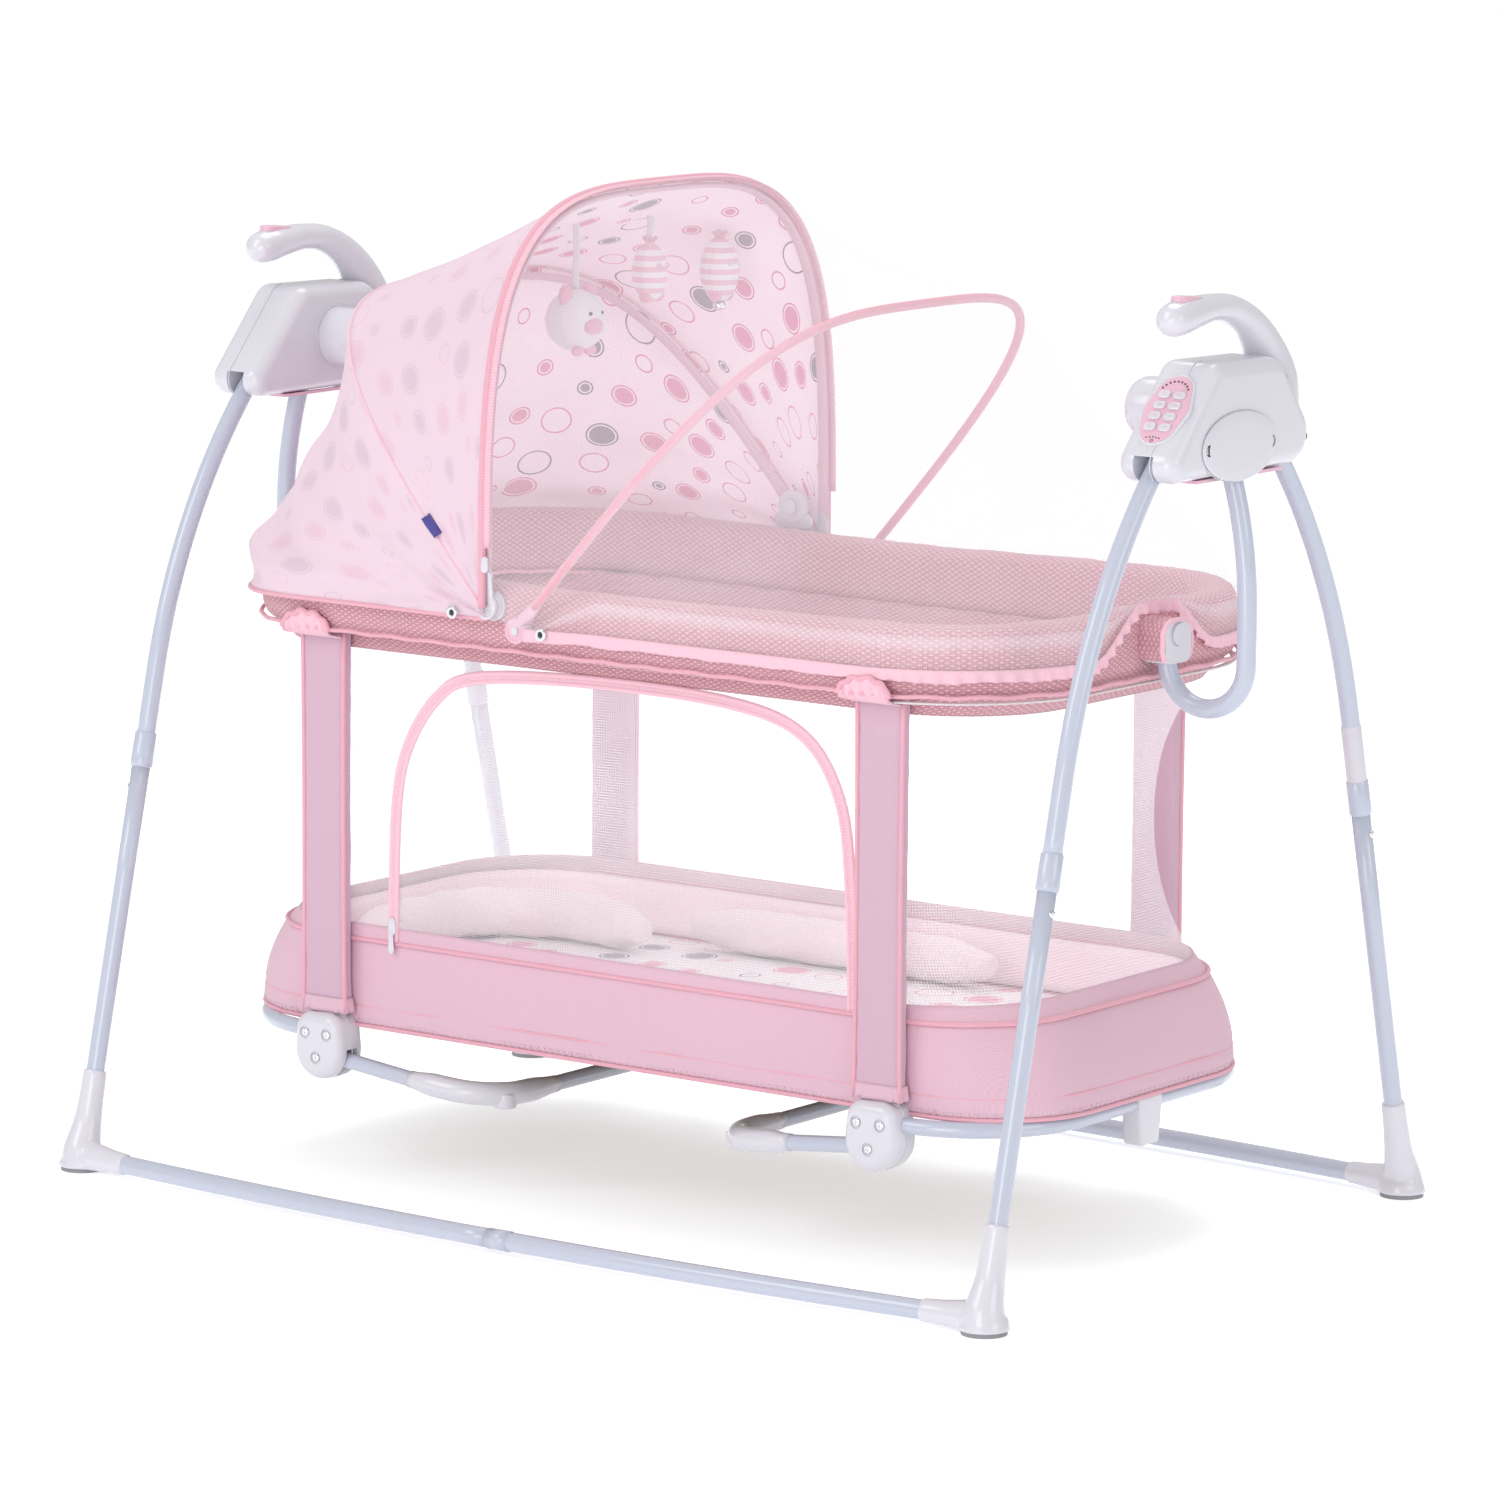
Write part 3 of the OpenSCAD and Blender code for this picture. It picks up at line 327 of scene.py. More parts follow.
def sweep(name: str, line: Sequence[Vector], size: float | tuple[float, float] | list,
          sides: int = 12, closed: bool = False, normal: Point | None = None, caps: bool = True) -> Obj:
    """A rod, tube or piping along a line.

    Args:
        name: Name of the piece.
        line: Points of the line.
        size: A radius, an (across, along normal) pair, or a list of either, one for each point.
        sides: Sides of the section.
        closed: True for a loop.
        normal: Direction that the section keeps, or None to carry it along the line.
        caps: True to close the ends.

    Returns:
        The piece, with a UV map of (girth, length) in metres.
    """
    count = len(line)
    if isinstance(size, (int, float)):
        sizes = [(float(size), float(size))] * count
    elif isinstance(size, tuple):
        sizes = [size] * count
    else:
        sizes = [s if isinstance(s, tuple) else (s, s) for s in size]
    verts, length, lengths, carried = [], 0.0, [], None
    for i, p in enumerate(line):
        before = line[(i - 1) % count] if closed or i else line[0]
        after = line[(i + 1) % count] if closed or i < count - 1 else line[-1]
        along = (after - before).normalized()
        if i:
            length += (p - line[i - 1]).length
        lengths.append(length)
        up = Vector(normal) if normal is not None else (carried or
            (Vector((0, 0, 1)) if abs(along.z) < 0.9 else Vector((1, 0, 0))))
        across = up.cross(along).normalized()
        up = along.cross(across)
        carried = up
        for k in range(sides):
            a = 2 * math.pi * k / sides
            verts.append(p + across * (sizes[i][0] * math.cos(a)) + up * (sizes[i][1] * math.sin(a)))
    faces = []
    for j in range(count if closed else count - 1):
        n = (j + 1) % count
        for k in range(sides):
            m = (k + 1) % sides
            faces.append((j * sides + k, j * sides + m, n * sides + m, n * sides + k))
    if caps and not closed:
        faces.append(tuple(range(sides - 1, -1, -1)))
        faces.append(tuple((count - 1) * sides + k for k in range(sides)))
    piece = Bench.mesh(name, verts, faces)
    girth = 2 * math.pi * (sizes[0][0] + sizes[0][1]) / 2
    layer = piece.data.uv_layers.new(name="flat")
    for poly in piece.data.polygons:
        if len(poly.loop_indices) != 4:
            continue
        at = [piece.data.loops[k].vertex_index for k in poly.loop_indices]
        turn = max(v % sides for v in at) - min(v % sides for v in at) > 1
        loop_end = closed and max(v // sides for v in at) - min(v // sides for v in at) > 1
        for k, v in zip(poly.loop_indices, at):
            u = (sides if turn and v % sides == 0 else v % sides) / sides * girth
            w = length + (line[0] - line[-1]).length if loop_end and v // sides == 0 else lengths[v // sides]
            layer.data[k].uv = (u, w)
    return piece


def outline_slab(name: str, outline: Sequence[tuple[float, float]], depth: float, edge: float, place: Matrix,
                 dome: float = 0.0, segments: int = 5) -> Obj:
    """A moulded slab: an outline filled, extruded and rounded at its edges.

    Args:
        name: Name of the piece.
        outline: Points of the outline in the slab's own plane.
        depth: Thickness along local Z.
        edge: Radius of the rounded edges.
        place: Matrix from the slab's plane to the part.
        dome: Extra height at the middle of the top face.
        segments: Segments of the rounding.

    Returns:
        The piece.
    """
    Bench.clear_selection()
    bpy.ops.mesh.primitive_circle_add(vertices=len(outline), radius=1.0, fill_type="NGON")
    piece = bpy.context.object
    piece.name = name
    for vert, (x, y) in zip(piece.data.vertices, outline):
        vert.co = (x, y, 0.0)
    bpy.ops.object.mode_set(mode="EDIT")
    bpy.ops.mesh.select_all(action="SELECT")
    bpy.ops.mesh.extrude_region_move(TRANSFORM_OT_translate={"value": (0, 0, depth)})
    bpy.ops.mesh.select_all(action="SELECT")
    bpy.ops.mesh.normals_make_consistent(inside=False)
    bpy.ops.object.mode_set(mode="OBJECT")
    if edge > 0:
        Bench.bevel(piece, edge, segments, 50)
    if dome:
        work = bmesh.new()
        work.from_mesh(piece.data)
        tops = [f for f in work.faces if f.normal.z > 0.9 and len(f.verts) > 8]
        for _ in range(3):
            bmesh.ops.inset_region(work, faces=tops, thickness=edge * 1.2, use_even_offset=True)
            for f in tops:
                for v in f.verts:
                    v.co.z += dome / 3
        work.to_mesh(piece.data)
        work.free()
    piece.data.transform(place)
    piece.data.update()
    return Bench.rest(piece, 35)


def facing_front(x: float, y: float, z: float) -> Matrix:
    """From a slab's plane (local X along X, local Y up, local Z towards -Y) to a place on the part."""
    return Matrix(((1, 0, 0, x), (0, 0, -1, y), (0, 1, 0, z), (0, 0, 0, 1)))


def hull_outline(discs: Sequence[tuple[float, float, float]], count: int = 96) -> list[tuple[float, float]]:
    """Points round the hull of discs (x, y, radius), counter-clockwise."""
    points = []
    for k in range(count):
        a = 2 * math.pi * k / count
        d = max(discs, key=lambda c: c[0] * math.cos(a) + c[1] * math.sin(a) + c[2])
        points.append((d[0] + d[2] * math.cos(a), d[1] + d[2] * math.sin(a)))
    return points


def drum(name: str, centre: Point, radius: float, depth: float, axis: str = "Z", sides: int = 32,
         edge: float = 0.0, inset: tuple[float, float] | None = None) -> Obj:
    """A turned part: a cylinder with a rounded rim and, if asked, a recess or boss in its face.

    Args:
        name: Name of the piece.
        centre: Its middle.
        radius: Its radius.
        depth: Its length along the axis.
        axis: X, Y or Z, with a minus sign where the face looks the other way.
        sides: Sides of the circle.
        edge: Radius of the rim's rounding.
        inset: (width of the rim, height of the middle above the rim), or None.

    Returns:
        The piece.
    """
    turn = {"X": (0, math.pi / 2, 0), "-X": (0, -math.pi / 2, 0), "Y": (-math.pi / 2, 0, 0),
            "-Y": (math.pi / 2, 0, 0), "Z": (0, 0, 0), "-Z": (math.pi, 0, 0)}[axis]
    Bench.clear_selection()
    bpy.ops.mesh.primitive_cylinder_add(vertices=sides, radius=radius, depth=depth, end_fill_type="NGON")
    piece = bpy.context.object
    piece.name = name
    if inset:
        bpy.ops.object.mode_set(mode="EDIT")
        bpy.ops.mesh.select_mode(type="FACE")
        work = bmesh.from_edit_mesh(piece.data)
        for f in work.faces:
            f.select = f.normal.z > 0.9
        bmesh.update_edit_mesh(piece.data)
        bpy.ops.mesh.inset(thickness=inset[0], depth=0)
        bpy.ops.mesh.extrude_region_move(TRANSFORM_OT_translate={"value": (0, 0, inset[1])})
        bpy.ops.object.mode_set(mode="OBJECT")
    if edge:
        Bench.bevel(piece, edge, 3, 40)
    piece.rotation_euler = turn
    piece.location = centre
    return Bench.rest(piece, 35)


# ---- Finishes ------------------------------------------------------------------------------


def dimmed(colour: Colour, share: float) -> Colour:
    """A colour with a share of its light."""
    return tuple(c * share for c in colour)


class Pen:
    """Draws a material's nodes."""

    def __init__(self, name: str) -> None:
        """Starts a material with its shader."""
        self.material = bpy.data.materials.new(name)
        self.material.use_nodes = True
        self.nodes = self.material.node_tree.nodes
        self.links = self.material.node_tree.links
        self.shader = self.nodes["Principled BSDF"]
        self.coords = self.nodes.new("ShaderNodeTexCoord")

    def node(self, kind: str, inputs: dict | None = None, **settings: object) -> bpy.types.Node:
        """Adds a node.

        Args:
            kind: The node's type, without "ShaderNode".
            inputs: Values or sockets for its inputs, by name or number.
            settings: Properties of the node.

        Returns:
            The node.
        """
        made = self.nodes.new("ShaderNode" + kind)
        for key, value in settings.items():
            setattr(made, key, value)
        for key, value in (inputs or {}).items():
            self.feed(made.inputs[key], value)
        return made

    def feed(self, socket: bpy.types.NodeSocket, value: object) -> None:
        """Links a socket to an input, or sets the input's value."""
        if isinstance(value, bpy.types.NodeSocket):
            self.links.new(value, socket)
        elif isinstance(value, tuple) and len(value) == 3 and socket.type == "RGBA":
            socket.default_value = (*value, 1.0)
        else:
            socket.default_value = value

    def math(self, operation: str, a: object, b: object = 0.0) -> bpy.types.NodeSocket:
        """A maths node's result."""
        return self.node("Math", {0: a, 1: b}, operation=operation).outputs[0]

    def remap(self, value: object, low: float, high: float, to_low: float = 0.0,
              to_high: float = 1.0) -> bpy.types.NodeSocket:
        """A value moved from one range to another, and clamped.

        Args:
            value: The value.
            low: Start of its range.
            high: End of its range.
            to_low: Start of the new range.
            to_high: End of the new range.

        Returns:
            The moved value.
        """
        return self.node("MapRange", {"Value": value, "From Min": low, "From Max": high, "To Min": to_low,
                                      "To Max": to_high}).outputs["Result"]

    def mix(self, factor: object, a: object, b: object) -> bpy.types.NodeSocket:
        """Two colours mixed."""
        return self.node("Mix", {"Factor": factor, 6: a, 7: b}, data_type="RGBA").outputs[2]

    def place(self, flat: bool, turn: float = 0.0) -> bpy.types.NodeSocket:
        """Coordinates in metres, of the flat cloth or of the part, turned."""
        source = (self.node("UVMap", uv_map="flat").outputs[0] if flat else self.coords.outputs["Object"])
        made = self.node("Mapping", {"Vector": source})
        made.inputs["Rotation"].default_value = (0, 0, turn)
        return made.outputs[0]

    def noise(self, where: object, scale: float, detail: float = 3.0,
              roughness: float = 0.5) -> bpy.types.NodeSocket:
        """A noise texture's value.

        Args:
            where: Coordinates.
            scale: Lumps in a metre.
            detail: Layers of finer noise.
            roughness: Strength of the finer layers.

        Returns:
            The value, 0 to 1.
        """
        return self.node("TexNoise", {"Vector": where, "Scale": scale, "Detail": detail,
                                      "Roughness": roughness}).outputs[0]

    def wave(self, where: object, scale: float, direction: str) -> bpy.types.NodeSocket:
        """A band texture's value."""
        return self.node("TexWave", {"Vector": where, "Scale": scale}, bands_direction=direction).outputs["Fac"]

    def relief(self, height: object, strength: float, distance: float) -> None:
        """Puts a bump under the shader."""
        made = self.node("Bump", {"Height": height, "Strength": strength, "Distance": distance})
        self.feed(self.shader.inputs["Normal"], made.outputs[0])

    def set(self, **values: object) -> bpy.types.Material:
        """Sets the shader's inputs, with _ for a space, and gives the material."""
        for key, value in values.items():
            self.feed(self.shader.inputs[key.replace("_", " ")], value)
        return self.material


@dataclass(frozen=True)
class Moulded:
    """Injection-moulded plastic: a satin to gloss skin with faint flow and handling marks."""

    name: str
    colour: Colour
    roughness: float = 0.3
    grain: float = 0.04
    coat: float = 0.25

    def make(self) -> bpy.types.Material:
        """Makes the material."""
        pen = Pen(self.name)
        where = pen.place(False)
        tone = pen.remap(pen.noise(where, 14, 3), 0.35, 0.7)
        pen.relief(pen.noise(where, 1400, 2), self.grain, 0.0004)
        rough = pen.remap(pen.noise(where, 45, 4, 0.6), 0.3, 0.75, self.roughness * 0.95, self.roughness * 1.08)
        return pen.set(Base_Color=pen.mix(tone, self.colour, dimmed(self.colour, 0.985)), Roughness=rough,
                       Coat_Weight=self.coat, Coat_Roughness=0.12, IOR=1.49)


@dataclass(frozen=True)
class Painted:
    """Stoved gloss paint over steel tube, with faint orange peel."""

    name: str
    colour: Colour

    def make(self) -> bpy.types.Material:
        """Makes the material."""
        pen = Pen(self.name)
        where = pen.place(False)
        tone = pen.remap(pen.noise(where, 2.5, 2), 0.3, 0.7)
        pen.relief(pen.noise(where, 320, 2), 0.03, 0.0003)
        return pen.set(Base_Color=pen.mix(tone, self.colour, dimmed(self.colour, 0.985)),
                       Roughness=pen.remap(pen.noise(where, 40, 3), 0.3, 0.7, 0.2, 0.27),
                       Coat_Weight=0.6, Coat_Roughness=0.06)


@dataclass(frozen=True)
class Metal:
    """Bright or turned metal."""

    name: str
    colour: Colour
    roughness: float = 0.16

    def make(self) -> bpy.types.Material:
        """Makes the material."""
        pen = Pen(self.name)
        where = pen.place(False)
        rough = pen.remap(pen.noise(where, 500, 4), 0.3, 0.7, self.roughness * 0.7, self.roughness * 1.5)
        pen.relief(pen.noise(where, 900, 2), 0.05, 0.0003)
        tone = pen.mix(pen.noise(where, 120, 3), self.colour, dimmed(self.colour, 0.86))
        return pen.set(Base_Color=tone, Roughness=rough, Metallic=1.0)


class Weave(Enum):
    """Kinds of cloth, by the relief of their surface."""

    PLAIN = "plain"
    SPACER = "spacer"
    RIB = "rib"
    BRUSHED = "brushed"


@dataclass(frozen=True)
class Cloth:
    """Dyed cloth with threads or holes in relief, painted shade in the low places between them, sheen and a little
    shading from use.
    """

    name: str
    colour: Colour
    # shade: colour of the painted shade in the low places between the threads
    shade: Colour
    weave: Weave = Weave.PLAIN
    pitch: float = 0.0011
    relief: float = 0.35
    rough: float = 0.86
    sheen: float = 0.25
    flat: bool = False
    # through: strength of a painted glow that stands in for light through the thin cloth
    through: float = 0.0

    def threads(self, pen: Pen) -> bpy.types.NodeSocket:
        """The height of the threads, 0 to 1."""
        where = pen.place(self.flat)
        scale = BAND / self.pitch
        if self.weave is Weave.SPACER:
            a, b = (pen.wave(pen.place(True, turn=turn), scale, "X") for turn in (1.05, -1.05))
            return pen.remap(pen.math("MULTIPLY", a, b), 0.04, 0.5)
        if self.weave is Weave.RIB:
            return pen.wave(where, scale, "X")
        if self.weave is Weave.BRUSHED:
            return pen.noise(where, 1.0 / self.pitch, 4, 0.7)
        if self.flat:
            return pen.math("MULTIPLY", pen.wave(where, scale, "X"), pen.wave(where, scale, "Y"))
        return pen.math("MULTIPLY", pen.wave(pen.place(False, turn=0.7854), scale, "X"), pen.wave(where, scale, "Z"))

    def ground(self, pen: Pen) -> object:
        """The cloth's colour before the painted shade between its threads darkens it."""
        tone = pen.remap(pen.noise(pen.place(False), 7, 4), 0.3, 0.72)
        return pen.mix(tone, self.colour, dimmed(self.colour, 0.955))

    def make(self) -> bpy.types.Material:
        """Makes the material."""
        pen = Pen(self.name)
        height = self.threads(pen)
        # Painted shade: where the threads are low and in the mesh's holes, the colour turns to the darker shade colour
        colour = pen.mix(pen.remap(height, 0.0, 0.7), self.shade, self.ground(pen))
        pen.relief(height, self.relief, self.pitch * 0.6)
        if self.through:
            # Painted glow: an emission that stands in for light passing through the thin cloth
            pen.set(Emission_Color=self.colour, Emission_Strength=self.through)
        return pen.set(Base_Color=colour, Roughness=self.rough, Sheen_Weight=self.sheen, Sheen_Roughness=0.5,
                       Specular_IOR_Level=0.25)


@dataclass(frozen=True)
class Netting:
    """Open net: threads round small holes that let what lies behind show through, with a painted glow for light through
    the threads.
    """

    name: str
    colour: Colour
    pitch: float = 0.0024
    low: float = 0.3
    high: float = 0.8
    # through: strength of a painted glow that stands in for light through the net
    through: float = 0.32

    def make(self) -> bpy.types.Material:
        """Makes the material."""
        pen = Pen(self.name)
        where = pen.place(True)
        cells = pen.node("TexVoronoi", {"Vector": where, "Scale": 1.0 / self.pitch, "Randomness": 0.12})
        thread = pen.remap(cells.outputs["Distance"], 0.25, 0.5)
        tone = pen.noise(pen.place(False), 5, 3)
        alpha = pen.math("MULTIPLY", pen.remap(thread, 0.0, 1.0, self.low, self.high),
                         pen.remap(tone, 0.3, 0.7, 0.8, 1.2))
        # Emission Color and Strength paint a glow that stands in for light passing through the net
        return pen.set(Base_Color=self.colour, Roughness=0.9, Alpha=alpha, Sheen_Weight=0.2, Specular_IOR_Level=0.1,
                       Emission_Color=self.colour, Emission_Strength=self.through)


@dataclass(frozen=True)
class SpotPrint:
    """Cloth printed all over with spots and rings in two colours, in rows that shift about."""

    name: str
    ground: Colour
    first: Colour
    second: Colour
    size: float = 0.050
    flat: bool = True
    veil: Colour | None = None
    veil_amount: float = 0.0
    alpha: float = 1.0
    # through: strength of a painted glow that stands in for light through the thin cloth
    through: float = 0.0

    def make(self) -> bpy.types.Material:
        """Makes the material."""
        pen = Pen(self.name)
        where = pen.place(self.flat)
        level = pen.node("VectorMath", {0: where, 1: (1.0, 1.0, 0.0)}, operation="MULTIPLY").outputs[0]
        cells = pen.node("TexVoronoi", {"Vector": level, "Scale": 1.0 / self.size, "Randomness": 0.5},
                         voronoi_dimensions="2D")
        radius, tone, kind = pen.node("SeparateColor", {0: cells.outputs["Color"]}).outputs[:3]
        inside = pen.math("SUBTRACT", pen.remap(radius, 0.1, 0.9, 0.15, 0.345), cells.outputs["Distance"])
        ring = pen.math("SUBTRACT", pen.remap(inside, 0.0, 0.012), pen.remap(inside, 0.034, 0.046))
        core = pen.math("MULTIPLY", pen.remap(inside, 0.070, 0.082), pen.math("LESS_THAN", kind, 0.66))
        ink = pen.mix(pen.math("GREATER_THAN", tone, 0.56), self.first, self.second)
        colour = pen.mix(core, self.ground, pen.mix(0.15, ink, self.ground))
        colour = pen.mix(ring, colour, ink)
        threads = pen.math("MULTIPLY", pen.wave(where, 210, "X"), pen.wave(where, 210, "Y"))
        colour = pen.mix(pen.remap(threads, 0, 1, 0.0, 0.06), colour, (0.7, 0.66, 0.7))
        if self.veil:
            colour = pen.mix(self.veil_amount, colour, self.veil)
        pen.relief(threads, 0.2, 0.0005)
        # Painted glow: emission in the print's colour, warmed towards pink, stands in for light that passes through the
        # cloth
        if self.through:
            painted_glow_colour = pen.node("VectorMath", {0: colour, 1: (1.0, 0.70, 0.78)}, operation="MULTIPLY").outputs[0]
            pen.set(Emission_Color=painted_glow_colour, Emission_Strength=self.through)
        return pen.set(Base_Color=colour, Roughness=0.88, Sheen_Weight=0.2, Specular_IOR_Level=0.2,
                       Alpha=self.alpha)


@dataclass(frozen=True)
class Striped:
    """Plush cloth in two colours of stripes across the piece."""

    name: str
    colour: Colour
    stripe: Colour
    pitch: float = 0.011

    def make(self) -> bpy.types.Material:
        """Makes the material."""
        pen = Pen(self.name)
        where = pen.place(False)
        bands = pen.wave(where, BAND / self.pitch, "Z")
        colour = pen.mix(pen.remap(bands, 0.46, 0.54), self.colour, self.stripe)
        pen.relief(pen.noise(where, 900, 4, 0.7), 0.5, 0.0012)
        return pen.set(Base_Color=colour, Roughness=0.92, Sheen_Weight=0.5, Sheen_Roughness=0.4)


@dataclass(frozen=True)
class ZipTape:
    """Woven zip tape with a row of moulded teeth along its middle, read from the flat cloth."""

    name: str
    tape: Colour
    teeth: Colour

    def make(self) -> bpy.types.Material:
        """Makes the material."""
        pen = Pen(self.name)
        where = pen.place(True)
        teeth = pen.wave(where, 105, "Y")
        ribs = pen.wave(where, 420, "X")
        pen.relief(pen.math("ADD", pen.remap(teeth, 0.3, 0.7), pen.math("MULTIPLY", ribs, 0.15)), 0.6, 0.0008)
        return pen.set(Base_Color=pen.mix(pen.remap(teeth, 0.25, 0.6), self.tape, self.teeth), Roughness=0.55,
                       Sheen_Weight=0.1)


@dataclass(frozen=True)
class Board:
    """Brown pressed board with fine fibres."""

    name: str
    colour: Colour
    fibre: Colour

    def make(self) -> bpy.types.Material:
        """Makes the material."""
        pen = Pen(self.name)
        fibres = pen.noise(pen.place(False), 260, 6, 0.75)
        pen.relief(fibres, 0.3, 0.0006)
        return pen.set(Base_Color=pen.mix(fibres, self.colour, self.fibre), Roughness=0.72)


class Finishes:
    """All finishes of the part, made once."""

    WHITE = (0.71, 0.695, 0.755)
    PINK = (0.82, 0.50, 0.61)
    ROSE = (0.83, 0.545, 0.65)
    BLUSH = (0.94, 0.77, 0.84)
    BLUE = (0.54, 0.575, 0.68)

    def __init__(self) -> None:
        """Makes the materials."""
        white, pink, rose, blush = self.WHITE, self.PINK, self.ROSE, self.BLUSH
        kinds = [
            Moulded("white_shell", white, 0.24, 0.012, 0.5),
            Moulded("white_satin", dimmed(white, 0.97), 0.4, 0.03, 0.1),
            Moulded("pink_shell", pink, 0.32, 0.04, 0.3),
            Moulded("black_part", (0.025, 0.025, 0.028), 0.45, 0.08, 0.0),
            Moulded("nylon_part", (0.78, 0.75, 0.66), 0.5, 0.05, 0.0),
            Moulded("green_board", (0.05, 0.22, 0.1), 0.4, 0.05, 0.2),
            Moulded("rubber_pad", (0.3, 0.3, 0.32), 0.8, 0.2, 0.0),
            Moulded("lamp_dot", (0.1, 0.06, 0.07), 0.25, 0.0, 0.4),
            Painted("tube_paint", self.BLUE),
            Metal("chrome_screw", (0.8, 0.8, 0.82), 0.14),
            Metal("turned_steel", (0.62, 0.62, 0.64), 0.3),
            Metal("copper_wire", (0.72, 0.36, 0.16), 0.3),
            Cloth("rail_spacer", (0.89, 0.535, 0.585), (0.66, 0.32, 0.38), Weave.SPACER, 0.0046, 0.7, 0.85, 0.3),
            Cloth("pink_plain", rose, dimmed(rose, 0.88), Weave.PLAIN, 0.0011, 0.3, 0.85, 0.25),
            Cloth("post_cloth", (0.71, 0.48, 0.59), (0.63, 0.42, 0.52), Weave.PLAIN, 0.0011, 0.3, 0.8, 0.3),
            Cloth("pink_piping", (0.90, 0.48, 0.57), (0.80, 0.39, 0.48), Weave.RIB, 0.0016, 0.35, 0.7, 0.3, True),
            # Painted glow: through=0.05 gives this binding a faint emission that stands in for light through the cloth
            Cloth("pink_binding", (0.93, 0.60, 0.69), (0.86, 0.52, 0.61), Weave.PLAIN, 0.0009, 0.25, 0.8, 0.3,
                  through=0.05),
            # Painted light: a lighter copy of the lining cloth, with a painted glow, to make up for the shade inside
            # the walls
            Cloth("lit_inner_cloth", (0.95, 0.78, 0.84), (0.88, 0.70, 0.77), Weave.PLAIN, 0.0011, 0.3, 0.85, 0.25,
                  through=0.14),
            Cloth("blush_plain", blush, dimmed(blush, 0.9), Weave.PLAIN, 0.0011, 0.3, 0.87, 0.25),
            Cloth("blush_brushed", (0.95, 0.82, 0.86), (0.88, 0.72, 0.78), Weave.BRUSHED, 0.0016, 0.35, 0.92, 0.4),
            Cloth("white_plain", (0.88, 0.86, 0.88), (0.8, 0.77, 0.8), Weave.PLAIN, 0.0011, 0.3, 0.85, 0.2),
            Cloth("white_plush", (0.87, 0.84, 0.85), (0.78, 0.74, 0.76), Weave.BRUSHED, 0.0022, 0.6, 0.95, 0.6),
            Cloth("pink_plush", (0.86, 0.45, 0.57), (0.76, 0.36, 0.48), Weave.BRUSHED, 0.0022, 0.6, 0.95, 0.6),
            Cloth("navy_label", (0.10, 0.09, 0.36), (0.08, 0.07, 0.28), Weave.PLAIN, 0.0008, 0.3, 0.7, 0.2),
            # Painted glow: both nets glow by emission, standing in for light through the threads
            Netting("wall_net", (0.97, 0.94, 0.96), 0.0028, 0.02, 0.22),
            Netting("sheer_net", (0.91, 0.88, 0.93), 0.0020, 0.04, 0.21, through=0.21),
            SpotPrint("bed_print", (0.88, 0.87, 0.88), (0.82, 0.28, 0.44), (0.16, 0.14, 0.17), 0.060, False),
            # Painted glow: the hood lining glows by emission, standing in for light through the hood
            SpotPrint("hood_lining", (0.97, 0.87, 0.91), (0.72, 0.17, 0.35), (0.16, 0.10, 0.15), 0.054,
                      alpha=0.88, through=0.13),
            SpotPrint("hood_outside", (0.92, 0.76, 0.84), (0.82, 0.30, 0.50), (0.40, 0.27, 0.37), 0.054,
                      veil=(0.84, 0.65, 0.74), veil_amount=0.85, alpha=0.88),
            Striped("striped_plush", (0.88, 0.84, 0.85), (0.84, 0.5, 0.6)),
            ZipTape("zip_tape", (0.9, 0.86, 0.88), (0.8, 0.77, 0.79)),
            ZipTape("pink_zip", (0.90, 0.50, 0.60), (0.90, 0.60, 0.69)),
            Board("brown_board", (0.2, 0.115, 0.065), (0.11, 0.06, 0.035)),
        ]
        self.materials = {kind.name: kind.make() for kind in kinds}

    def dress(self, piece: Obj, name: str, inner: str | None = None) -> Obj:
        """Gives a piece its finish, and its inner face another.

        Args:
            piece: The piece.
            name: The finish.
            inner: The finish of faces with material number 1, or None.

        Returns:
            The piece.
        """
        slots = piece.data.materials
        if inner:
            slots[0], slots[1] = self.materials[name], self.materials[inner]
        else:
            slots.clear()
            slots.append(self.materials[name])
        return piece

    def place(self, piece: Obj, name: str, body: str, node: str | None = None) -> Obj:
        """Gives a piece its finish and its body.

        Args:
            piece: The piece.
            name: The finish.
            body: The body it rides on.
            node: The CAD node it stands for, or None.

        Returns:
            The piece.
        """
        self.dress(piece, name)
        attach(piece, body)
        if node:
            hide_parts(node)
        return piece

    def redress(self, nodes: dict[str, Obj], finish: str, *names: str) -> None:
        """Gives kept CAD nodes a finish."""
        for name in names:
            slots = nodes[name].material_slots
            for slot in slots:
                slot.material = self.materials[finish]
            if not slots:
                nodes[name].data.materials.append(self.materials[finish])


# ---- Stand ---------------------------------------------------------------------------------


